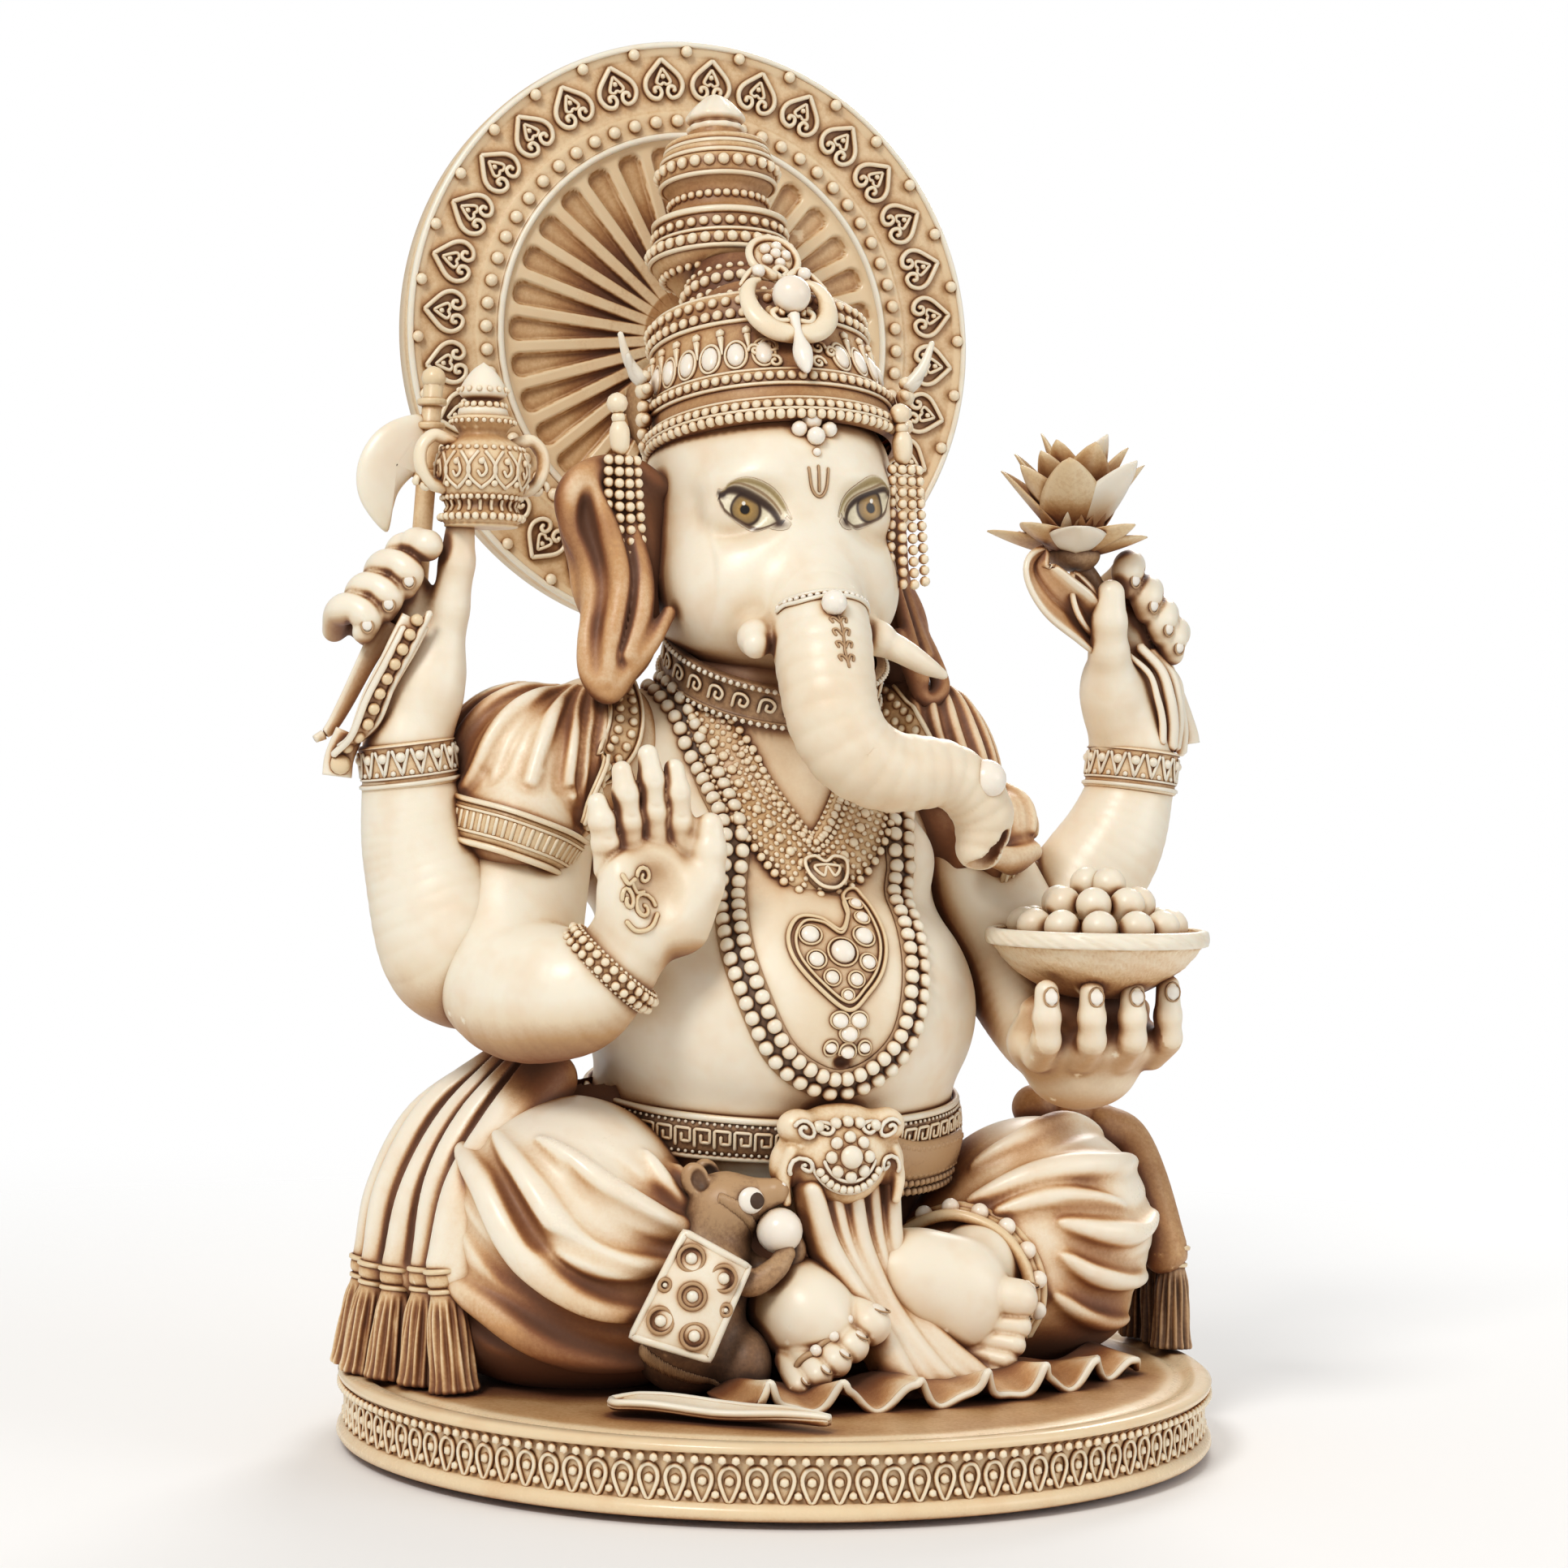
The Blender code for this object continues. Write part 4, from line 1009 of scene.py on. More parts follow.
def ears():
    ear("right_ear", 0.0, Clay((-60, -22, 148), (-20, 20, 216), 0.5),
        [((-38, 3, 195), (13, 6.4, 12.6), (0, 0, 10)), ((-38.5, 0, 184), (10, 5.4, 13), (0, 4, 0)),
         ((-38.5, -4, 172), (8.5, 4.2, 12), (0, 4, 0)), ((-42, -7, 163), (5.4, 3.4, 7), (0, 0, 0))],
        [(-28, 1, 202, 2.0), (-36, 0, 205.5, 2.6), (-45, -2, 204, 3.0), (-50, -3, 199, 2.9),
         (-49.5, -3, 192, 2.1), (-46, -3.5, 185, 1.7), (-45.2, -5, 177, 1.6), (-47, -7, 169, 1.8),
         (-46.6, -8.5, 162, 2.1), (-43, -10, 158, 2.3), (-39.5, -11, 162, 2.0), (-34.5, -11.5, 168, 1.7),
         (-30, -10, 175, 1.5)], [[(-45, -4, 201, 1.4), (-42, -6, 191, 2.4), (-40, -7.5, 181, 2.4),
                                  (-42, -10, 171, 2.3), (-43.6, -11, 161, 1.5)],
                                 [(-37, -4, 194, 1.2), (-35, -6.5, 184, 2.2), (-36, -10, 175, 2.3),
                                  (-39.5, -12, 166, 1.5)]], ["right_ear"])
    ear("left_ear", 0.2, Clay((12, -16, 148), (46, 24, 208), 0.5),
        [((24, 12, 188), (7, 4.5, 14), (0, 0, -10)), ((29, 7, 172), (7, 4.2, 12), (0, -4, 0))],
        [(23, 9, 201, 2.0), (28.5, 9, 197, 2.0), (30, 9, 187, 1.7), (30.6, 6, 178, 1.7), (34, 2, 169, 1.9),
         (35.6, -1, 161, 2.1), (31, -3, 158.5, 1.9), (27.5, -3, 165, 1.8), (24.5, -3, 172, 1.6)],
        [[(28, 5, 190, 1.0), (28.5, 4, 180, 1.9), (31.5, -1, 168, 2.0)],
         [(26, 1, 182, 1.0), (27.5, -1, 173, 1.7), (30, -4, 163, 1.4)]], ["left_ear"])


def eye_colour(a, b):
    """Paint of an almond eye: a runs from the outer to the inner corner, b up. Returns colours and a mask."""
    top = 3.1 * np.clip(1 - (np.abs(a + 0.3) / 8.2) ** 2.2, 0, None) ** 0.75
    bottom = -2.7 * np.clip(1 - (np.abs(a + 0.5) / 7.9) ** 2.1, 0, None) ** 0.8
    tail = 0.9 * np.exp(-((a + 8.4) / 2.0) ** 2) * clamp(1 - np.abs(b - 0.7) / 1.0)
    liner = np.exp(-((b - top - 0.15) / 0.85) ** 4) * (np.abs(a) < 9.0) * 0.95
    lower = np.exp(-((b - bottom) / 0.42) ** 4) * (np.abs(a) < 8.4) * 0.75
    lid = np.exp(-((b - top - 1.55) / 0.34) ** 4) * (np.abs(a - 0.4) < 7.0) * 0.62
    brow_line = 6.4 - 0.06 * (a - 0.8) ** 2
    brow_width = 0.62 * clamp(1 - (np.abs(a - 0.4) / 9.6) ** 3) + 0.05
    brow = np.exp(-((b - brow_line) / brow_width) ** 4) * (np.abs(a - 0.4) < 9.4) * 0.75
    shadow = ((b > top) & (b < brow_line)).astype(float) * clamp((b - top) / 3.4) * 0.5 * (np.abs(a) < 8.6)
    corner = np.exp(-((a - 8.2) / 1.6) ** 2 - ((b + 0.4) / 1.1) ** 2) * 0.8
    white = ((b < top) & (b > bottom)).astype(float)
    out = np.zeros((*a.shape, 3)) + (244, 231, 206)
    out = out + ((240, 230, 200) - out) * white[..., None]
    reach = np.hypot(a + 0.5, b - 0.25)
    iris = clamp((3.3 - reach) / 0.25) * white
    tone = np.stack([186 - 26 * reach, 142 - 20 * reach, 66 - 8 * reach], -1) + 30 * (reach > 1.3)[..., None]
    out = out + (np.clip(tone, 30, 255) - out) * iris[..., None]
    ring = np.exp(-((reach - 3.2) / 0.3) ** 2) * white
    out = out + ((58, 38, 24) - out) * clamp(ring)[..., None]
    pupil = clamp((1.15 - reach) / 0.2) * white
    out = out + ((26, 17, 12) - out) * pupil[..., None]
    glint = clamp((0.5 - np.hypot(a + 1.3, b - 1.4)) / 0.15)
    out = out + ((255, 252, 244) - out) * glint[..., None]
    for mask, colour in ((liner, (50, 30, 20)), (lower, (74, 46, 28)), (shadow, (182, 162, 106)),
                         (lid, (120, 84, 48)), (brow, (152, 128, 76)), (corner, (60, 36, 24)),
                         (tail, (50, 30, 20))):
        out = out + (colour - out) * clamp(mask)[..., None]
    keep = clamp(white + liner + lower + lid + brow + corner + tail + 1.6 * shadow)
    return out, keep


def eyes(clay):
    """Painted eyes and brows: thin patches of paint that follow the head."""
    rows, columns = int(150 / COARSE), int(200 / COARSE)
    for side, spot in EYE_SPOTS.items():
        sign = -1 if side == "right" else 1
        centre = clay.drop(np.array([spot], float))[0]
        facing = clay.slope(centre[None])[0]
        inner = unit(np.cross((0, 0, 1), facing) * sign) * -1
        tilt = math.radians(-24)
        up = unit(np.cross(facing, inner) if sign < 0 else np.cross(inner, facing))
        if up[2] < 0:
            up = -up
        along = inner * math.cos(tilt) + up * math.sin(tilt)
        across = up * math.cos(tilt) - inner * math.sin(tilt)
        a, b = np.meshgrid(np.linspace(-10.4, 10.4, columns), np.linspace(-5.0, 8.6, rows))
        colours, keep = eye_colour(a, b)
        flat = centre + a[..., None] * along + b[..., None] * across + facing
        points = clay.drop(flat.reshape(-1, 3), 0.07)
        faces = grid_faces(rows, columns)
        shown = keep.ravel() > 0.1
        faces = faces[shown[faces].any(1)]
        used, index = np.unique(faces, return_inverse=True)
        faces = index.reshape(-1, 4)
        first, second, third = (points[used][faces[:, corner]] for corner in range(3))
        normal = np.cross(second - first, third - first)
        if (normal @ facing).mean() < 0:
            faces = faces[:, ::-1]
        obj = finish_piece(side + "_eye_paint", points[used], faces, PAINT, "ivory_resin")
        layer = obj.data.attributes.new("paint", "FLOAT_COLOR", "POINT")
        shades = linear(colours.reshape(-1, 3)[used])
        layer.data.foreach_set("color",
                               np.column_stack([shades, np.ones(len(used))]).astype(np.float32).ravel())


def scroll(size, turns=1.25, steps=16):
    """A flat spiral (side, up), from its outer end in to its eye."""
    t = np.linspace(0, 1, steps)
    angle = turns * 2 * math.pi * t
    return np.column_stack([np.cos(angle), np.sin(angle)]) * (size * (1 - 0.82 * t))[:, None]


def on_clay(clay, centre, drawn, height):
    """Lays a flat drawing (side, up) in millimetres on the clay's front, round a centre. Returns its points
    and the direction that the clay faces there."""
    centre = clay.drop(np.array([centre], float))[0]
    facing = clay.slope(centre[None])[0]
    side = unit(np.cross((0, 0, 1), facing))
    side = side if side[0] > 0 else -side
    up = np.cross(side, -facing)
    up = up if up[2] > 0 else -up
    drawn = np.asarray(drawn, float)
    points = centre + drawn[:, :1] * side + drawn[:, 1:2] * up + facing * 0.8
    return clay.drop(points, height), facing


def traced(clay, centre, drawn, height, radius, sides=6, closed=False):
    """A rod along a flat drawing that is laid on the clay's front."""
    path, out = on_clay(clay, centre, drawn, height)
    return wire(path, radius, out, sides, closed=closed)


def gem(clay, centre, place, height, radius, detail=2, share=1.0):
    """A ball at (side, up) from a centre on the clay's front, flattened to a share of its height."""
    spot, out = on_clay(clay, centre, [place], height)
    return beads(spot, radius, detail, ([out], share) if share < 1 else None)


def face_jewels(clay):
    """Forehead drop, tilak, band at the trunk's root and the small carving on the trunk."""
    pearls, lines, dark = [], [], []
    for x, y, z, r in ((-2.5, -22, 218.6, 2.3), (-5.6, -21, 214.4, 1.7), (-2.2, -22, 212.6, 2.0),
                       (1.4, -21, 214.6, 1.7)):
        spot = clay.drop(np.array([(x, y, z)], float), r * 0.4)[0]
        pearls.append(beads([spot], r))
    spot = clay.drop(np.array([(-2.2, -22, 208.8)], float), 0.2)[0]
    pearls.append(beads([spot], 0.9))
    for drawn in ([(-2.2, 3), (-1.6, -1.6), (0, -3.2), (1.6, -1.6), (2.2, 3)], [(0, 3.4), (0, -2.0)]):
        dark.append(traced(clay, (-2, -22, 202.5), curve(drawn, 6), 0.1, 0.28, 5))
    band = np.array([(15.2 * math.sin(a) - 4.6, -27.5 - 13 * math.cos(a) * 0.9, 176.6 + 4.4 * math.cos(a))
                     for a in np.linspace(-1.12, 1.3, 34)])
    for height in (-0.9, 0.9):
        path = clay.drop(band + (0, 0, height), 0.25)
        lines.append(wire(path, 0.55, (0, -1, 0.2), 6))
    pearls.append(beads(clay.drop(spread(band, 2.0), 0.3), 0.7, 1))
    spot = clay.drop(np.array([(-5.4, -42, 178)], float), 1.2)[0]
    pearls.append(beads([spot], 2.7))
    spray = [[(0, 6.5), (0.3, 2), (-0.2, -3), (0.2, -7)]]
    for up in (4.6, 1.6, -1.4, -4.4):
        for side in (-1, 1):
            spray.append([(0.1, up - 1.0), (side * 1.0, up + 0.4), (side * 1.9, up + 0.2),
                          (side * 1.5, up - 0.9)])
    for drawn in spray:
        dark.append(traced(clay, (-4.4, -46, 171), curve(drawn, 5), 0.02, 0.3, 5))
    finish_parts("face_pearls", pearls, PEARL, "ivory_resin", ["trunk_sweet"])
    finish_parts("face_band", lines, IVORY, "carved_resin", ["trunk_band"])
    finish_parts("face_carving", dark, DARK, "carved_resin")
    sweet = beads([(27.6, -43.5, 141.4)], 4.2, 3)
    finish_piece("sweet_on_trunk", *sweet, PEARL, "ivory_resin")


# ---------------------------------------------------------------- crown


def crown_scroll(tier, height, angle, size, mirror):
    """A scroll lying on a crown tier."""
    drawn = scroll(size, 1.3) * (mirror, 1)
    around = tier.radius(height)
    path = tier.on(height + drawn[:, 1], angle + drawn[:, 0] / around, 0.35)
    return wire(path, 0.5, tier.out(np.array([angle]))[0], 5)


def crown():
    """Four tiers and a tip, with rows of beads, rims, and cabochons in their settings."""
    band = Turned((-1, 7, 213), [(25, -3), (27.4, -2.2), (27.4, 1.2), (26.2, 2.0), (25.9, 5.4), (26.3, 6.0),
                                 (26.3, 8.4), (25.0, 9.2), (24.4, 14), (23.6, 19), (23.2, 22.6),
                                 (23.2, 27.8), (21.4, 28.6), (16, 30.5), (10, 32)], lean=(-12, 0, 0),
                  steps=4)
    band.drift = 0.24
    lower = Turned((-1, 23, 237), [(17, -5), (15.2, -1), (12.8, 1.4), (12.6, 4.6), (11.0, 6), (10, 9)],
                   lean=(-24, 0, 0), steps=4)
    neck = Turned((-1, 31, 245), [(8, -5), (10.8, -2), (11.4, 0.6), (11.2, 4), (10, 6), (9, 9)],
                  lean=(-18, 0, 0), steps=4)
    cap = Turned((-1, 42, 255.5), [(6, -8), (9.4, -7), (11.6, -4.4), (14.8, -1.6), (15.9, 1.0), (15.8, 3.0),
                                   (14.6, 4.2), (14.4, 8.2), (14.0, 9.8), (12.2, 10.4), (10.9, 11.6),
                                   (10.9, 15.4), (12.4, 17.4), (13.0, 19), (13.0, 22.2), (12.0, 22.8),
                                   (12.4, 23.8), (12.2, 25.0), (11.2, 25.6), (11.6, 26.6), (11.2, 27.6),
                                   (8.2, 28.4), (6.4, 29.2), (6.2, 30.6)], lean=(-9, 0, 0), steps=3)
    for name, tier, nodes, shade in (("crown_band", band, ["crown_dome"], 0.2),
                                     ("crown_lower_neck", lower, [], 0.5), ("crown_neck", neck, [], 0.55),
                                     ("crown_cap", cap, ["crown_spire"], 0.16)):
        finish_piece(name, *tier.shell(160), TAN, "carved_resin", nodes, shade)
    tip = Turned(cap.place(0, 0, 30), [(5.6, 0), (6.3, 0.8), (6.3, 1.9), (5.4, 2.4), (6.6, 3.6), (6.2, 5.0),
                                       (4.0, 7.4), (1.6, 9.2), (0, 9.8)], lean=(-7, 0, 0), steps=3)
    points, faces = tip.shell(64, lambda angle, height: 0.16 * np.cos(angle * 10))
    finish_piece("crown_tip", points, faces, IVORY, "ivory_resin", ["crown_finial"])
    rows = [band.row(0.2, 78, 1.05, 0.25), band.row(-2.0, 80, 1.15, 0.0), band.row(7.2, 72, 1.05, 0.2),
            band.row(23.6, 52, 1.25, 0.2), band.row(26.6, 50, 1.1, 0.2), lower.row(0.2, 36, 1.2, 0.0),
            lower.row(3.0, 34, 1.0, 0.1), lower.row(5.4, 30, 0.8, 0.2), neck.row(-0.6, 28, 1.0, 0.1),
            neck.row(2.4, 26, 1.3, 0.1), neck.row(5.2, 28, 0.8, 0.1), cap.row(-3.2, 34, 1.0, 0.1),
            cap.row(2.0, 34, 1.35, -0.1), cap.row(6.2, 32, 1.15, 0.1), cap.row(13.6, 34, 0.95, 0.1),
            cap.row(20.6, 26, 1.35, 0.1)]
    finish_parts("crown_beads", rows, CARVED, "carved_resin")
    rims = []
    full = full_turn(120)
    for tier, height, lift, radius in ((band, -0.9, 0.3, 0.45), (band, 1.9, 0.4, 0.5), (band, 5.6, 0.3, 0.5),
                                       (band, 9.0, 0.4, 0.5), (band, 21.8, 0.2, 0.6), (band, 28.6, 0.4, 0.8),
                                       (cap, 0.2, 0.2, 0.6), (cap, 4.2, 0.2, 0.6), (cap, 8.8, 0.2, 0.9),
                                       (cap, 17.8, 0.2, 0.6), (cap, 23.2, 0.2, 0.7), (cap, 25.6, 0.2, 0.7)):
        rims.append(wire(tier.on(height, full, lift), radius, tier.out(full), 6, closed=True))
    finish_parts("crown_rims", rims, CARVED, "carved_resin")
    jewels, pips = [], []
    count = 26
    for i in range(count):
        angle = (i + 0.5) * 2 * math.pi / count
        if abs((angle + math.pi) % (2 * math.pi) - math.pi) < 0.34:
            continue
        centre = band.on(13.4, angle, 0.1)
        top, out = band.on(14.4, angle, 0.1) - centre, band.out(angle)
        shape, faces = BALLS[2]
        side = np.cross(unit(top), out)
        axes = np.stack([side * 2.1, out * 1.2, unit(top) * 3.1])
        jewels.append((shape @ axes + centre, faces))
        loop = circle(centre - out * 0.1, side * 2.5, unit(top) * 3.5, 1, 30)
        pips.append(wire(loop, 0.42, out, 5, closed=True))
        pips.append(beads([band.on(19.2, angle + math.pi / count, 0.1)], 1.15, 1))
        drop = curve([band.on(h, angle + math.pi / count, 0.15) for h in (18, 16, 14)], 3)
        pips.append(wire(drop, np.linspace(0.9, 0.3, len(drop)), out, 5))
    finish_parts("crown_cabochons", jewels, PEARL, "carved_resin")
    finish_parts("crown_settings", pips, CARVED, "carved_resin")
    crown_front(band)


def crown_front(band):
    """Crescent with its pearl, the drop below it, the flower above it and the scrolls on either side."""
    parts, pearls = [], []
    out = unit(band.out(0.0) + np.array([0, 0, 0.45]))
    side = np.array([1.0, 0, 0])
    up = unit(np.cross(side, out)) * -1
    up = up if up[2] > 0 else -up
    hub = band.on(23.5, 0.0, 2.2) + (-2.6, 0, 0)

    def flat(drawn, lift=0.0):
        drawn = np.asarray(drawn, float)
        return hub + drawn[:, :1] * side + drawn[:, 1:2] * up + out * lift

    for mirror in (-1, 1):
        horn = curve([(0, -7.6, 2.3), (4.6, -6.6, 2.5), (8.0, -3.0, 2.4), (8.9, 2.0, 1.9), (7.4, 5.8, 1.3),
                      (5.2, 7.2, 0.6)], 6)
        parts.append(wire(flat(horn[:, :2] * (mirror, 1), 0.5), horn[:, 2], out, 8, flat=0.7))
        curl = curve([(1.0, -4.6), (3.6, -4.8), (4.6, -2.8), (3.0, -1.6), (2.2, -2.8)], 5) * (mirror, 1)
        parts.append(wire(flat(curl, 1.2), 0.8, out, 6))
        for height, size, angle in ((14.8, 2.0, 0.21), (11.0, 1.7, 0.19), (14.0, 1.5, 0.34)):
            parts.append(crown_scroll(band, height, mirror * angle - 0.09, size, mirror))
        leaf = curve([(1.4, 8.4), (4.4, 10.6), (7.2, 9.0), (9.6, 5.6)], 5) * (mirror, 1)
        parts.append(wire(flat(leaf, 0.2), np.linspace(1.1, 0.5, len(leaf)), out, 6))
        pearls.append(beads([flat([(mirror * 5.2, 9.2)], 0.8)[0]], 1.5))
    pearls.append(beads([flat([(0, 1.2)], 3.0)[0]], 4.1, 3))
    stem = curve([(0, -3.4, 1.4), (0, -7.5, 1.0), (0, -10, 1.3), (0, -13.4, 2.2), (0, -16.4, 1.7),
                  (0, -18.4, 0.7)], 5)
    pearls.append(wire(flat(stem[:, :2], 1.6), stem[:, 2], out, 8))
    disc = flat([(0, 15.0)], -1.2)[0]
    for radius, width in ((5.4, 0.9), (3.9, 0.4)):
        parts.append(wire(circle(disc, side, up, radius, 40), width, out, 6, closed=True))
    parts.append(beads([disc - out * 0.6], 5.2, 2, squash=([out], 0.3)))
    petals = circle(disc + out, side, up, 2.4, 5)
    pearls.append(beads([*petals, disc + out * 1.4], 1.25))
    parts.append(wire(flat(curve([(0, 8.0), (-1.4, 9.6), (0, 11), (1.4, 9.6), (0, 8)], 4), 0.3), 0.8, out,
                      6))
    finish_parts("crown_front_carving", parts, CARVED, "carved_resin", ["crown_crescent"])
    finish_parts("crown_front_pearls", pearls, PEARL, "ivory_resin")


def ear_tassels():
    """Strings of beads that hang from the crown in front of each ear."""
    for side, x, y, nodes in (("right", -40.4, -5, ["right_ear_tassel"]),
                              ("left", 19.6, -14, ["left_ear_tassel"])):
        parts = [beads([(x, y, 218.4), (x + 0.3, y, 215.4)], [2.3, 1.5])]
        oblong = curve([(x + 0.4, y, 214.4, 1.5), (x + 0.6, y, 212.6, 2.2), (x + 0.8, y, 209.4, 2.0),
                        (x + 1.0, y, 208, 1.2)], 4)
        parts.append(wire(oblong[:, :3], oblong[:, 3], (0, -1, 0), 10))
        for column in (-1.5, -0.5, 0.5, 1.5):
            top = np.array([x + 1.4 + column * 2.0, y - (1.5 - abs(column)) * 0.6, 206.6])
            foot = top + (column * 0.7 + 0.9, 0, -23.4 - 0.8 * (abs(column) < 1))
            parts.append(beads(top + (foot - top) * np.linspace(0, 1, 11)[:, None], 1.14))
        finish_parts(side + "_ear_beads", parts, CARVED, "carved_resin", nodes)
    side_parts, horns = [], []
    for turn in (-1.72, 1.15):
        sign = math.copysign(1, turn)
        spot = np.array([-1 + 28.4 * math.sin(turn), 7 - 27 * math.cos(turn), 221.0])
        out = unit(spot - (-1, 7, 221))
        side = np.cross((0, 0, 1), out)
        for shift, across, radius in ((5.0, 0, 1.5), (2.0, 0, 2.1), (-1.4, 0, 1.6), (-4.2, 0, 1.9),
                                      (-7.2, 0, 1.5), (-9.8, 0, 1.2), (2.2, 2.9, 1.1), (2.2, -2.9, 1.1),
                                      (-4.2, 2.6, 1.0), (-4.2, -2.6, 1.0)):
            side_parts.append(beads([spot + side * across + (0, 0, shift)], radius, 2))
        for reach, high in ((8.0, 14.0), (5.6, 9.5)):
            horn = curve([spot + out * 0.4 + (0, 0, 4), spot + out * reach * 0.45 + (0, 0, high * 0.6),
                          spot + out * reach * 0.7 + side * 1.0 + (0, 0, high)], 6)
            horns.append(wire(horn, np.linspace(1.7, 0.6, len(horn)), (sign * 0.2, -1, 0), 10))
    finish_parts("crown_side_beads", side_parts, CARVED, "carved_resin")
    finish_parts("crown_side_horns", horns, IVORY, "carved_resin")


# ---------------------------------------------------------------- torso and its jewellery

NECKLACE = [(-22, 15, 154), (-20, -3, 145), (-19, -11, 137), (-18.5, -16, 127), (-20, -22, 116),
            (-21.5, -31, 106), (-19, -35, 96), (-14.5, -37, 86), (-9, -40, 79.5), (-2, -41, 76.5),
            (5.4, -40, 79.5), (12, -38, 87), (15, -35, 98), (16.5, -31, 107), (17, -22, 116), (18, -14, 125),
            (20, -5, 136), (21.5, 6, 147), (18, 22, 153), (4, 31, 153), (-12, 29, 154)]
COLLAR = [(-21, -3, 153), (-17.5, -13, 144), (-13, -19, 135), (-8, -20, 127), (-1.5, -21, 121),
          (5.5, -21, 125), (10.5, -20, 133), (15.5, -13, 143), (19, -3, 152)]
INNER_COLLAR = [(-14, -9, 147), (-9.5, -15, 138), (-4.5, -18, 130), (-1, -19, 127), (3, -18, 131),
                (8, -14, 139), (12, -9, 146)]


def torso():
    """Chest, belly and shoulders, with painted shade on the chest under the head, on the middle of the belly
    and on the lower flanks.
    """
    clay = Clay((-74, -50, 44), (64, 52, 166), 0.8)
    clay.ball((0, 0, 92), (42, 40, 33))
    clay.ball((0, 8, 66), (41, 37, 22), 8)
    clay.ball((-2, 10, 124), (39, 29, 28), 10)
    clay.limbs([[(-42, 17, 136, 18), (33, 17, 136, 17)]], 8)
    clay.limbs([[(-2, 12, 140, 25), (-3, 6.5, 158, 21.5)]], 6)
    clay.ball((-30, 12, 146), (15, 16, 13), 7)
    clay.ball((20, 12, 150), (14, 14, 12), 7)
    for x in (-19, 15):
        clay.ball((x, -12, 124), (14, 8, 10), 7)
    clay.ball((-1, -41, 83.4), (2.4, 5, 1.8), 1.2, cut=True)

    # Painted shade on the chest under the head and trunk, painted shadow of the trunk and arms on the middle
    # of the belly, and painted shade on the lower flanks.
    def stain_and_shade(x, y, z):
        chest_shade = np.exp(-((x + 2) / 19) ** 4) * clamp((z - 100) / 24) * (y < 12)
        belly_shadow = np.exp(-((x + 1) / 11) ** 4 - ((z - 97) / 17) ** 4) * (y < 0)
        flank_shade = clamp((112 - z) / 26) * clamp((np.abs(x + 1) - 26) / 22)
        return 0.30 * chest_shade + 0.27 * belly_shadow + 0.05 * flank_shade

    clay.finish("torso", IVORY, "ivory_resin", ["torso"], crease=0, under=0, stain_and_shade=stain_and_shade)
    return clay


def necklace(clay):
    """Double string of large beads on a dark bed."""
    rope = Strip(clay, curve(NECKLACE, 8, closed=True), 0.0, closed=True)
    pearls = [rope.row(across, 3.15, 1.56, 0.8, 3) for across in (-1.7, 1.7)]
    finish_parts("bead_necklace", pearls, IVORY, "carved_resin", ["bead_necklace"])
    finish_parts("necklace_bed", [rope.band(7.0, 0.35)], DARK, "dark_resin")


def collar(clay):
    """Broad collar of grains with a heart at its point."""
    outer, inner = Strip(clay, curve(COLLAR, 8)), Strip(clay, curve(INNER_COLLAR, 8))
    finish_parts("collar_bed", [outer.band(11.0, 0.7), inner.band(4.4, 0.7)], TAN, "carved_resin",
                 ["chest_collar"])
    grains = [outer.row(across, 1.75, 0.72, 0.8, 1) for across in (-4.5, -2.9, -1.2, 1.2, 2.9, 4.5)]
    grains += [outer.row(0, 3.6, 1.15, 0.9), outer.row(5.9, 2.1, 0.95, 0.5), inner.row(0, 1.9, 0.85, 0.9)]
    grains += [outer.row(-5.9, 2.1, 0.95, 0.5), inner.row(-1.9, 1.5, 0.5, 0.8, 1),
               inner.row(1.9, 1.5, 0.5, 0.8, 1)]
    finish_parts("collar_grains", grains, CARVED, "carved_resin")
    middle = (0.5, -21, 119.5)
    finish_parts("collar_heart", [gem(clay, middle, (0, 0), 0.4, 4.4, 3, 0.5)], DARK, "dark_resin")
    lines = []
    for drawn in ([(-4.6, 2.4), (-3.4, -2.4), (0, -4.8), (3.4, -2.4), (4.6, 2.4), (2.2, 3.6), (0, 2.2),
                   (-2.2, 3.6)], [(-2.6, 1), (-1.2, -1.6), (0, 0.8), (1.2, -1.6), (2.6, 1)]):
        lines.append(traced(clay, middle, curve(drawn, 6, closed=True), 2.0, 0.42, closed=True))
    finish_parts("collar_heart_lines", lines, CARVED, "carved_resin")


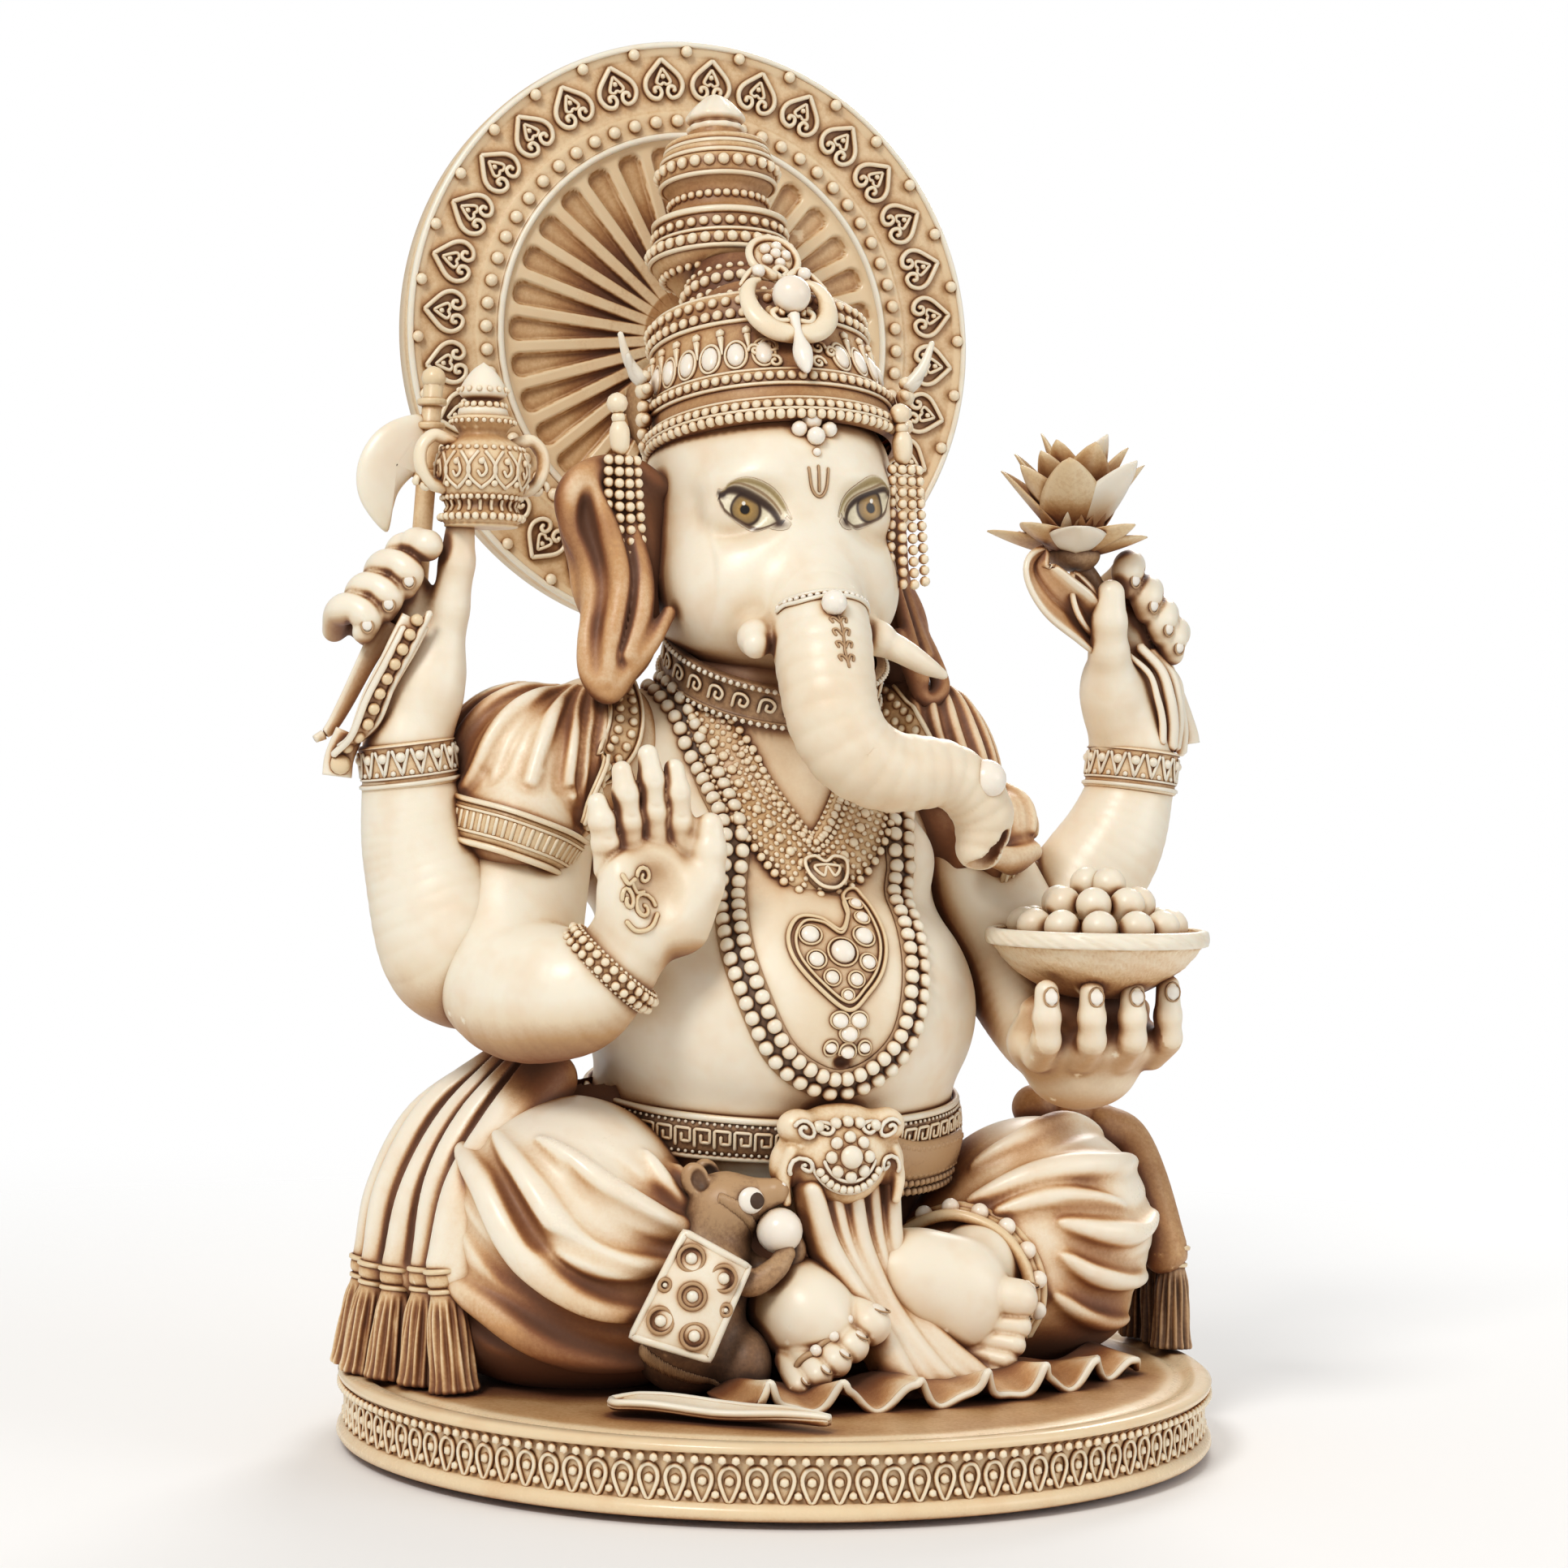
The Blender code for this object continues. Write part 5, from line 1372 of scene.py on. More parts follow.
def medallion(clay):
    """Curved leaf of wire with gems in round settings, and its pendants."""
    centre, size = (-0.6, -42, 108), 1.3
    outline = [(0, -9.6), (-4.8, -5.6), (-8.2, -0.5), (-8.6, 4.2), (-6.2, 7.8), (-2.6, 7.2), (0.4, 4.6),
               (2.6, 8.4), (3.2, 13.5), (6.6, 14.0), (7.9, 9), (8.2, 3.0), (6.6, -2.5), (3.6, -6.6)]
    lines, gems = [], []
    for scale, radius, height in ((1.0, 0.5, 0.3), (0.86, 0.36, 0.35)):
        drawn = curve((np.array(outline) * scale + (0, 0.4 * (1 - scale))) * size, 8, closed=True)
        lines.append(traced(clay, centre, drawn, height, radius, closed=True))
    florets = [(-4.9, 4.0, 1.9), (0, 0.6, 2.5), (4.3, 3.6, 1.9), (-4.6, -0.6, 1.6), (4.2, -1.2, 1.5),
               (-2.4, -3.8, 1.4), (1.7, -4.2, 1.4), (0, -6.9, 1.1), (5.0, 7.6, 1.35), (4.9, 11.1, 1.25),
               (-1.5, -11.6, 1.7), (1.9, -11.6, 1.7), (0.2, -14.4, 1.8), (-2.9, -17.2, 1.2),
               (0.2, -17.9, 1.5), (3.3, -17.2, 1.2)]
    for side, up, radius in np.array(florets) * size:
        gems.append(gem(clay, centre, (side, up), 0.15, radius * 0.78, 3, 0.6))
        ring = circle(np.array([side, up]), (1, 0), (0, 1), radius, 24)
        lines.append(traced(clay, centre, ring, 0.2, 0.28, 5, closed=True))
    finish_parts("medallion_gems", gems, PEARL, "carved_resin", ["medallion"])
    finish_parts("medallion_lines", lines, TAN, "carved_resin")


def choker():
    """Collar of scrolls at the neck."""
    ring = Turned((-1.6, 4, 165), [(22.0, -4.6), (23.6, -4.4), (24.0, -3.2), (23.4, -2.6), (23.4, 2.6),
                                   (24.0, 3.2), (23.8, 4.4), (22.0, 4.6)], lean=(25, 0, 0), steps=3)
    finish_piece("choker", *ring.shell(120), DARK, "carved_resin", ["choker"])
    lines, count = [], 26
    drawn = curve([(-1.9, -1.4), (-1.5, 1.3), (0.2, 1.7), (1.4, 0.6), (0.9, -0.8), (-0.3, -0.6),
                   (-0.2, 0.5)], 5)
    for i in range(count):
        angle = (i + 0.5) * 2 * math.pi / count
        angles = angle + drawn[:, 0] / 24
        lines.append(wire(ring.place(23.7, angles, drawn[:, 1]), 0.4, ring.out(angle), 5))
    finish_parts("choker_scrolls", lines, CARVED, "carved_resin")
    rows = [ring.row(3.9, 96, 0.62, 0.3, detail=1), ring.row(-3.9, 90, 0.62, 0.3, detail=1)]
    finish_parts("choker_rims", rows, IVORY, "carved_resin")


def belt(clay):
    """Belt of square scrolls, and the sash of grains on the left hip."""
    angles = full_turn(120)
    path = np.column_stack([43 * np.sin(angles), 4 - 38 * np.cos(angles), 70.5 - 5.0 * np.cos(angles)])
    strip = Strip(clay, path, 0.0, closed=True)
    finish_parts("waist_belt", [strip.band(8.6, 1.1)], DARK, "dark_resin", ["waist_belt"])
    spiral = [(-1.6, 1.9), (-1.6, -1.8), (1.5, -1.8), (1.5, 0.9), (-0.3, 0.9), (-0.3, -0.6)]
    scrolls = strip.motif(spread(spiral, 0.5), 4.1, 0.42, 1.7)
    finish_parts("belt_scrolls", scrolls, CARVED, "carved_resin")
    rims = [strip.line(-4.2, 0.8, 1.0, 8), strip.line(4.2, 0.6, 1.0, 8), strip.row(-3.1, 1.5, 0.42, 1.5, 1)]
    rims += [strip.row(3.1, 1.5, 0.42, 1.5, 1)]
    finish_parts("belt_rims", rims, IVORY, "carved_resin")
    sash = Strip(clay, curve([(11, -36, 63), (16, -33, 61), (22, -29, 60), (29, -22, 61), (34, -12, 63)], 8),
                 1.5)
    grains = [sash.row(across, 1.9, 1.0, 0.6, 1) for across in (-3, -1, 1, 3, 5, 7)]
    finish_parts("hip_sash", grains + [sash.band(9, 1.2)], DARK, "dark_resin")


def buckle():
    """A shield with a flower, scrolled corners and a fringe of drops."""
    clay = Clay((-18, -48, 48), (16, -26, 80), 0.4)
    clay.ball((-1, -36.5, 65.5), (12.6, 5.4, 9.6), 1)
    clay.ball((-1, -38.5, 63), (8.8, 5.2, 8.4), 3)
    for side in (-1, 1):
        clay.ball((-1 + side * 9.6, -38, 70.6), (4.2, 3.6, 3.6), 1.6)
        clay.ball((-1 + side * 11.4, -36, 62.6), (3.2, 3.0, 5.0), 1.6)
        clay.limbs([curve([(-1 + side * 11, -39, 66, 1.4), (-1 + side * 12.5, -38.5, 60, 1.5),
                           (-1 + side * 12, -39, 55.5, 1.0)])], 0.8)
    clay.finish("buckle_plate", CARVED, "carved_resin", ["belt_buckle"])
    centre, lines, gems = (-1, -46, 65), [], []
    gems.append(gem(clay, centre, (0, 0), 0.3, 2.4, 3, 0.7))
    for i in range(8):
        angle = i * math.pi / 4
        gems.append(gem(clay, centre, (4.3 * math.cos(angle), 4.3 * math.sin(angle)), 0.2, 1.35, share=0.6))
    for i in range(11):
        angle = math.radians(-150 + 12 * i)
        gems.append(gem(clay, centre, (8.2 * math.cos(angle), 8.4 * math.sin(angle) + 0.8), 0.4, 0.95))
    for i in range(5):
        gems.append(gem(clay, centre, (-6 + 3 * i, 8.4 - 0.35 * (i - 2) ** 2), 0.3, 1.3))
    for side in (-1, 1):
        for place, size, turn in (((9.4, 5.4), 3.1, 0.4), ((10.6, -2.4), 2.5, -0.8), ((5.2, 6.6), 1.9, 1.4)):
            drawn = scroll(size, 1.3, 18) @ np.array([[math.cos(turn), math.sin(turn)],
                                                      [-math.sin(turn), math.cos(turn)]])
            lines.append(traced(clay, centre, (drawn + place) * (side, 1), 0.35, 0.5))
    for radius in (6.2, 9.6):
        turns = np.radians(np.linspace(-165, -15, 24))
        arc = np.column_stack([radius * np.cos(turns), radius * np.sin(turns) + 0.8])
        lines.append(traced(clay, centre, arc, 0.3, 0.42))
    finish_parts("buckle_relief", lines + gems, IVORY, "carved_resin")


# ---------------------------------------------------------------- sleeves, arms and hands


def finish_sleeve(side_name, clay, hem, border, crease, under, shade):
    """The sleeve, its hem of teeth between ribs and its beaded border."""
    edge = Strip(clay, curve(hem, 8), 0.2)
    bands = [edge.band(8.6, 0.7)]
    light = [edge.line(across, radius, 0.8) for across, radius in ((-4.2, 0.6), (-2.5, 0.4), (2.0, 0.42),
                                                                   (4.2, 0.75))]
    light += edge.motif([(0, -1.9), (0, 1.5)], 1.75, 0.5, 0.75)
    side = Strip(clay, curve(border, 8), 0.2)
    bands.append(side.band(7.4, 0.6))
    light += [side.line(across, 0.5, 0.7) for across in (-3.6, 3.6)]
    light += [side.row(across, 2.5, 1.0, 0.8) for across in (-1.5, 1.5)]
    name = side_name + "_sleeve"
    clay.finish(name, CLOTH, "cloth_resin", [name], crease=crease, under=under, reach=3.0, stain_and_shade=shade)
    finish_parts(name + "_bands", bands, TAN, "carved_resin")
    finish_parts(name + "_trim", light, CARVED, "carved_resin")


def sleeves():
    """Gathered sleeves, open below, with their trims."""
    right = Clay((-84, -30, 112), (-30, 34, 168), 0.5)
    right.ball((-55, 8, 140), (18, 20, 19), 3)
    right.ball((-60, 0, 130), (14, 17, 13), 4)
    right.ball((-39, 10, 146), (15, 17.4, 16), 4)
    right.pleated([(-52, 12, 162), (-63, 10, 158), (-72, 12, 150), (-77, 14, 138)],
                  [(-42, -4, 159), (-43, -11, 151), (-44, -15, 141), (-45, -15, 129)], 8, 1.7, 1.1)
    right.ball((-61, -2, 117), (12, 14, 5.5), 2, (0, 6, 0), cut=True)
    hem = [(-74, 22, 136), (-77, 8, 134), (-74, -6, 132), (-65, -15, 129.5), (-55, -17, 125.5),
           (-46, -10, 121.5)]
    border = [(-36, 10, 161), (-37, 0, 160), (-37.5, -8, 154), (-38.5, -13, 147), (-40, -15, 139),
              (-42, -15, 129)]
    finish_sleeve("right", right, hem, border, crease=0.5, under=0.2, shade=0.07)

    left = Clay((14, -26, 108), (66, 34, 172), 0.5)
    left.ball((38, 10, 138), (14, 19, 18), 3)
    left.ball((33, 8, 147), (15.5, 14, 16.5), 4)
    left.ball((45, 2, 127), (10, 14, 13), 4)
    left.ball((46, -8, 131), (8.5, 8, 8.5), 2.5)
    left.pleated([(30, 0, 162), (28, -7, 154), (30, -11, 144), (34, -14, 134)],
                 [(44, 6, 158), (50, 0, 150), (53, -5, 140), (53, -10, 130)], 6, 1.6, 0.8)
    left.limbs([curve([(37, -16, 127, 2.4), (44, -18, 124, 3.2), (52, -14, 126, 2.2)])], 2.0)
    left.ball((40, -13, 117.5), (5.5, 9, 6), 2, cut=True)
    hem = [(53, 22, 134), (56.5, 8, 130), (54, -6, 124), (47, -12, 119)]
    border = [(22, 2, 160), (24, -6, 154), (27, -10, 146), (32, -12, 137)]
    finish_sleeve("left", left, hem, border, crease=0.4, under=0.3, shade=0.24)


def finger(points):
    """A finger's path through (x, y, z, radius), a little thicker at its joints."""
    swell, width = 0.35, 0.08
    path = curve(points, 8)
    along = np.linspace(0, 1, len(path))
    for joint in (0.36, 0.68):
        path[:, 3] += swell * np.exp(-((along - joint) / width) ** 2)
    return path


def nail(place, out, up, size):
    """A finger nail and the groove round it, as two bodies."""
    out, up = unit(out), unit(up)
    side = np.cross(up, out)
    ring = circle(np.asarray(place), side * 0.82, up, size, 16)
    plate = beads([np.asarray(place) - out * 0.15], size * 0.86, 2, ([out], 0.35))
    return plate, wire(ring, 0.22, out, 5, closed=True)


def curled_hand(sign, tips, lean, thick):
    """Finger paths that come from behind and curl forward, with their nails."""
    paths, plates, grooves = [], [], []
    for x, y, z in tips:
        paths.append(finger([(x - sign * lean, 9, z - 1.5, 3.3 * thick),
                             (x - sign * (lean - 0.6), 3, z + 2.0, 3.8 * thick),
                             (x - sign * (lean * 0.55), y + 1.8, z + 2.6, 3.9 * thick),
                             (x, y + 0.3, z + 0.5, 3.8 * thick), (x + sign * 0.6, y + 0.8, z - 2.2,
                                                                  3.1 * thick)]))
        plate, groove = nail((x + sign * 0.7, y + 0.3 - 3.5 * thick, z - 1.0), (sign * 0.25, -0.95, -0.12),
                             (-0.15 * sign, -0.1, -1), 1.9 * thick)
        plates.append(plate)
        grooves.append(groove)
    return paths, plates, grooves


def right_rear():
    clay = Clay((-106, -24, 84), (-42, 34, 202), 0.5)
    clay.limbs([curve([(-58, 14, 128, 14), (-69, 1, 105, 17), (-77.6, 3, 123, 13.0), (-81.4, 3, 138, 9.8),
                       (-82, 3, 146, 8.6)], 8)], 3)
    clay.limbs([curve([(-82, 3, 147, 8.4), (-80.5, 3, 157, 8.0), (-80, 4, 167, 6.2), (-82, 5, 177, 5.6)],
                      6)], 3)
    clay.ball((-77, 0, 159), (5.8, 6.0, 10), 4, (0, 6, 0))
    clay.limbs([finger([(-76.5, 1, 163, 5.2), (-74.6, -0.4, 174, 4.0), (-73.4, -1.5, 184, 3.6),
                        (-73, -2.4, 191, 3.0)])], 2.5)
    paths, plates, grooves = curled_hand(-1, [(-84, -4, 180.8), (-88, -3.4, 176), (-92.3, -3, 171.6)], -4.0,
                                         0.76)
    paths.append(finger([(-85, 8, 182, 2.8), (-84, 3, 186.5, 3.0), (-82, -1, 188, 2.9),
                         (-80.4, -4, 187.4, 3.3)]))
    for path in paths:
        clay.limbs([path], 0.8)
    clay.limbs([[(-88.5, 8, 171, 4.4), (-83, 8, 181, 4.4)]], 3)
    clay.finish("right_rear_arm", IVORY, "ivory_resin", ["right_rear_arm", "right_rear_hand"], crease=0.5,
                under=0.7, reach=2.4)
    return plates, grooves


def left_rear():
    clay = Clay((38, -24, 84), (106, 34, 200), 0.5)
    clay.limbs([curve([(44, 14, 128, 13), (62, 8, 108, 13.4), (77, 3, 124, 12.0), (84, 3, 140, 9.4),
                       (84, 3, 147, 8.7)], 8)], 3)
    clay.limbs([curve([(84, 3, 147, 8.5), (82, 3, 157, 8.4), (82, 4, 166, 7.4), (83, 5, 175, 5.8)], 6)], 3)
    clay.ball((76.6, 0, 160), (6, 6.4, 10), 4, (0, -10, 0))
    clay.limbs([finger([(77, -1, 161, 5.8), (74.4, -4.4, 169, 4.4), (73.2, -6.6, 176, 3.8),
                        (73, -7.6, 182.4, 3.0)])], 2.5)
    paths, plates, grooves = curled_hand(1, [(78.8, -4, 186.4), (83.4, -4, 181), (87.4, -3.6, 176),
                                             (90.6, -2.6, 172)], -2.6, 0.84)
    for path in paths:
        clay.limbs([path], 0.8)
    clay.limbs([[(86, 9, 170, 5), (82, 9, 182, 5)]], 3)
    clay.finish("left_rear_arm", IVORY, "ivory_resin", ["left_rear_arm", "left_rear_hand"], crease=0.5,
                under=0.5, reach=2.4)
    return plates, grooves


def right_front():
    clay = Clay((-84, -46, 80), (-22, 26, 152), 0.5)
    clay.limbs([curve([(-56, 6, 130, 15), (-63, -8, 101, 15.5), (-56, -24, 97, 13.2), (-49, -29, 101, 9.6),
                       (-45, -31, 107, 8.4)], 8)], 4)
    clay.ball((-41, -33, 117), (10.6, 5.6, 12.4), 4)
    clay.ball((-35.2, -35.4, 114.5), (5.2, 5.0, 8.6), 3.5, (0, 14, 0))
    clay.ball((-47.4, -35.6, 116.5), (4.6, 4.4, 9.0), 3.5, (0, -8, 0))
    clay.ball((-41.5, -42.2, 119.5), (5.6, 5.6, 7.6), 2.5, cut=True)
    paths = []
    for x, z, tip_x, tip_z in ((-34.8, 125, -36.8, 142.6), (-40.0, 126.5, -42.4, 145.4),
                               (-45.2, 125.5, -47.8, 142), (-49.8, 122.5, -52.8, 135.6)):
        across, up = tip_x - x, tip_z - z
        paths.append(finger([(x, -32.6, z, 3.0), (x + 0.32 * across, -33.6, z + 0.36 * up, 2.7),
                             (x + 0.7 * across, -34.4, z + 0.72 * up, 2.55), (tip_x, -34.2, tip_z, 2.1)]))
    for path in paths:
        clay.limbs([path], 0.35)
    clay.limbs([finger([(-34, -33, 111, 5.6), (-30.8, -35, 119, 4.3), (-29.6, -35.5, 126, 3.4),
                        (-29.4, -35.5, 131.4, 2.6)])], 2.5)
    for path in paths:
        for share in (0.42, 0.7):
            x, y, z, r = path[int(share * (len(path) - 1))]
            front = y - r - 0.1
            clay.limbs([[(x - 2.2, front, z - 0.2, 0.34), (x + 2.2, front, z + 0.2, 0.34)]], 0.3, cut=True)

    def palm(x, y, z):
        return 0.34 * np.exp(-((x + 41.5) / 8.5) ** 2 - ((z - 124) / 8.5) ** 2) * (y < -31)

    clay.finish("right_front_arm", IVORY, "ivory_resin", ["right_front_arm", "right_front_hand"], crease=0.4,
                under=0.75, reach=2.4, stain_and_shade=palm)
    middle, lines = (-42, -44, 119.5), []
    for place, size, mirror in (((1.6, -2.2), 2.6, 1), ((-2.2, -1.0), 2.3, -1), ((2.4, 2.6), 1.6, -1)):
        drawn = (scroll(size, 1.15, 16) * (mirror, 1) + place) * 1.3
        lines.append(traced(clay, middle, drawn, 0.12, 0.5))
    for drawn in ([(-3.6, -4.6), (-1.0, -5.8), (2.0, -5.4), (4.4, -3.6)],
                  [(-3.4, 3.4), (-1.6, 1.6), (0.4, 2.2)], [(-0.6, 1.8), (0.6, 0.2), (2.4, 0.2)]):
        lines.append(traced(clay, middle, curve(drawn, 6) * 1.3, 0.12, 0.5))
    finish_parts("palm_carving", lines, TAN, "carved_resin")


def left_front():
    clay = Clay((26, -50, 66), (92, 28, 146), 0.5)
    clay.limbs([curve([(42, 8, 130, 13), (52, -1, 106, 13.8), (56, -12, 90, 11.6), (57, -22, 84, 9.6)], 8)],
               4)
    clay.ball((60, -29, 86), (17.5, 10.5, 6.4), 5)
    clay.ball((60, -25, 79), (11, 8.5, 7.4), 6)
    clay.ball((59, -27, 93), (15, 6, 5), 3)
    clay.ball((49, -27, 86), (7, 8, 6), 4)
    plates, grooves, paths = [], [], []
    for k in range(4):
        x, lift = 43.8 + 9.5 * k, 0.8 * (k > 2)
        front = -38.6 + (0.0, -1.8, -1.6, 0.8)[k]
        paths.append(finger([(x + 1.8 - 0.6 * k, front + 6, 83.5, 3.4), (x + 0.8, front + 0.6, 87, 3.0),
                             (x, front - 1.4, 92, 2.8), (x - 0.2, front - 1.6, 97.6 + lift, 2.5)]))
        plate, groove = nail((x - 0.2, front - 4.0, 96.6 + lift), (0, -1, 0.12), (0, 0.1, 1), 2.0)
        plates.append(plate)
        grooves.append(groove)
    for path in paths:
        clay.limbs([path], 1.2)

    # Painted shade in the gap between the fingers and the bowl.
    def shade_between_fingers(x, y, z):
        return 0.34 * clamp((z - 84) / 5) * clamp((-24 - y) / 4) * (y > -40) * (x > 40)

    clay.finish("left_front_arm", IVORY, "ivory_resin", ["left_front_arm", "left_front_hand"], crease=0.3,
                under=0.6, reach=2.4, stain_and_shade=shade_between_fingers)
    return plates, grooves


def nails(sets):
    """All the finger nails in one piece, and the grooves round them in another."""
    plates = [plate for found, _ in sets for plate in found]
    grooves = [groove for _, found in sets for groove in found]
    finish_parts("nails", plates, PEARL, "ivory_resin")
    finish_parts("nail_grooves", grooves, DARK, "dark_resin")


def bangles():
    """Upper bangles with teeth and beads, and the beaded bangle of the right front hand."""
    for name, origin, inner, lean in (("right_rear", (-81.8, 3, 142.6), 8.6, (0, -8, 0)),
                                      ("left_rear", (84, 3, 143.6), 8.8, (0, 6, 0))):
        band = Turned(origin, [(inner, -4.6), (inner + 1.3, -4.5), (inner + 1.6, -3.6), (inner + 1.2, -2.8),
                               (inner + 1.2, 3.8), (inner + 1.6, 4.2), (inner + 1.0, 4.8), (inner, 4.9)],
                      lean, 3)
        finish_piece(name + "_bangle", *band.shell(72), CARVED, "carved_resin", [name + "_bangle"])
        around = full_turn(96)
        teeth = 16
        light = []
        for i in range(teeth):
            angles = (i + np.array([-0.42, 0, 0.42])) * 2 * math.pi / teeth
            path = spread(band.place(inner + 1.35, angles, np.array([3.4, -1.6, 3.4])), 0.6)
            light.append(wire(path, 0.42, band.out(angles[1]), 5))
            light.append(beads([band.place(inner + 1.1, angles[1], 2.0)], 1.15, 2))
            light.append(beads([band.place(inner + 1.1, angles[1] + math.pi / teeth, -1.2)], 0.7, 1))
        light.append(wire(band.place(inner + 1.5, around, -3.6), 0.5, band.out(around), 6, closed=True))
        light.append(wire(band.place(inner + 1.3, around, -2.1), 0.3, band.out(around), 6, closed=True))
        finish_parts(name + "_bangle_relief", light, IVORY, "carved_resin")
    band = Turned((-48, -29.4, 102.4), [(9.0, -2.2), (10.4, -2.0), (10.9, 0), (10.4, 2.0), (9.0, 2.2)],
                  (14, 40, 0), 3)
    finish_piece("right_front_bangle", *band.shell(72), TAN, "carved_resin", ["right_front_bangle"])
    light = [band.row(height, 30, 0.95, 0.35) for height in (-1.0, 1.0)]
    light += [band.row(height, 52, 0.45, 0.2, detail=1) for height in (-2.1, 2.1)]
    finish_parts("right_front_bangle_beads", light, CARVED, "carved_resin")


def ribbon(path, across, width, thick):
    """A solid flat ribbon along a path. across is the direction of its width."""
    path = np.asarray(path, float)
    tangent = unit(np.gradient(path[:, :3], axis=0))
    side = unit(np.asarray(across, float) - (tangent @ np.asarray(across, float))[:, None] * tangent)
    out = np.cross(tangent, side)
    widths = np.broadcast_to(np.asarray(width, float), (len(path),))[:, None]
    section = [(math.cos(a), math.sin(a)) for a in full_turn(12)]
    rings = np.stack([path[:, :3] + side * widths * 0.5 * np.sign(c) * abs(c) ** 0.7 + out * thick * 0.5 * s
                      for c, s in section], 1)
    return tube(rings)


def hand_scarves():
    """Bands of cloth that hang from the two rear hands."""
    cloth, beaded = [], []
    centre = curve([(-83, -5.5, 172), (-86.5, -5.5, 165), (-90, -4, 157.5), (-92.5, -2, 150),
                    (-95.5, 1, 146)], 8)
    cloth.append(ribbon(centre, (0.9, 0, 0.5), 6.4, 1.6))
    for offset in (-3.2, 3.2):
        cloth.append(wire(centre + (offset * 0.85, -0.9, offset * 0.5), 0.75, (0, -1, 0), 8))
    beaded.append(beads(spread(centre, 3.3) + (0, -1.1, 0), 1.35, 2))
    cloth.append(ribbon(curve([(-87, 1, 172), (-91, 2, 164), (-95, 4, 155), (-98, 5, 149.5),
                               (-101, 5, 147.5)], 8), (0.8, 0, 0.6), np.linspace(5.5, 1.6, 33), 1.8))
    cloth.append(ribbon(curve([(-94.6, 1.5, 149), (-96.5, 2, 144), (-97, 2, 140)], 8), (1, 0, 0.1), 6.2,
                        1.8))
    finish_parts("right_hand_scarf", cloth, CLOTH, "cloth_resin", ["right_hand_scarf"])
    beaded.append(beads([(-96.6, 0.8, 142.5)], 2.2, 2, ([(0, -1, 0)], 0.5)))
    finish_parts("right_hand_scarf_beads", beaded, TAN, "carved_resin")
    cloth = []
    for start, mid, end, radius in (((82, -4, 171), (89, -5, 160), (90.5, -3, 149), 1.7),
                                    ((86, -2, 170), (92.5, -2, 160), (93, 0, 149), 1.6),
                                    ((90, 0, 168), (95.5, 2, 158), (97.5, 5, 148), 1.3),
                                    ((79, -5, 169), (85.5, -6, 160), (87.5, -5, 150), 1.0)):
        path = curve([start, np.add(start, mid) / 2 + (1.5, 0, 0.5), mid, np.add(mid, end) / 2 + (0.6, 0, 0),
                      end], 8)
        cloth.append(wire(path, radius * np.linspace(0.7, 1.1, len(path)), (0.4, -1, 0), 10, 0.8))
    cloth.append(ribbon(curve([(83, 0, 170), (90, -1, 160), (91.5, 1, 149)], 8), (0.9, 0.4, 0.3), 9, 1.6))
    cloth.append(ribbon(curve([(93, 6, 170), (97, 6, 161), (100, 6, 153), (100.5, 6, 150)], 8),
                        (0.9, 0.2, 0), np.linspace(2.4, 4.6, 25), 1.8))
    finish_parts("left_hand_scarf", cloth, CLOTH, "cloth_resin", ["left_hand_scarf"])


# ---------------------------------------------------------------- things held in the hands


def slab(sheet, thick):
    """A closed sheet from a grid of points (rows, columns, 3). thick is one value or one per point."""
    out = unit(np.cross(np.gradient(sheet, axis=0), np.gradient(sheet, axis=1)))
    rows, columns = sheet.shape[:2]
    half = out * np.broadcast_to(thick, (rows, columns))[..., None] / 2
    front, back = (sheet + half).reshape(-1, 3), (sheet - half).reshape(-1, 3)
    total = rows * columns
    loop = np.concatenate([np.arange(columns), columns * np.arange(2, rows + 1) - 1, (rows - 1) * columns
                           + np.arange(columns - 2, -1, -1), columns * np.arange(rows - 2, 0, -1)])
    after = np.roll(loop, -1)
    walls = np.stack([loop, after, after + total, loop + total], 1)
    faces = grid_faces(rows, columns)
    return outward(np.concatenate([front, back]), np.concatenate([faces, faces[:, ::-1] + total, walls]))


def petal(base, turn, lift, length, width, bend):
    """A pointed, cupped petal from its base. turn is its bearing and lift its slope, in degrees."""
    cup, thick = 0.35, 0.9
    turn, lift = math.radians(turn), math.radians(lift)
    flat = np.array([math.sin(turn), -math.cos(turn), 0])
    ahead = flat * math.cos(lift) + np.array([0, 0, math.sin(lift)])
    inner = -flat * math.sin(lift) + np.array([0, 0, math.cos(lift)])
    side = np.cross(ahead, inner)
    u, v = np.meshgrid(np.linspace(0, 1, 20), np.linspace(-1, 1, 11), indexing="ij")
    spread_out = width * clamp(np.sin(math.pi * (0.1 + 0.9 * u) ** 0.85)) ** 0.75 + 0.15
    rise = cup * spread_out * v ** 2 + bend * length * u ** 2 - 0.5 * np.exp(-(v / 0.16) ** 2) * (1 - u)
    sheet = (np.asarray(base, float) + ahead * (length * u)[..., None] + side * (spread_out * v)[..., None]
             + inner * rise[..., None])
    return slab(sheet, thick * (1 - 0.6 * np.abs(v)) * (1 - 0.5 * u))


def hooked_leaf(path, width, cup):
    """A leaf along a path that faces the viewer, its edges curling forward."""
    middle = curve(path, 8)
    tangent = unit(np.gradient(middle, axis=0))
    side = unit(np.cross(tangent, (0, -1, 0)))
    v = np.linspace(-1, 1, 13)
    along = np.linspace(0, 1, len(middle))
    half = width * clamp(np.sin(math.pi * (0.06 + 0.94 * along) ** 0.8)) ** 0.8 + 0.2
    sheet = (middle[:, None] + side[:, None] * (half[:, None] * v)[..., None] + np.array([0, -1, 0])
             * (cup * half[:, None] * v ** 2 - 0.5 * np.exp(-(v / 0.12) ** 2))[..., None])
    return slab(sheet, 1.2)


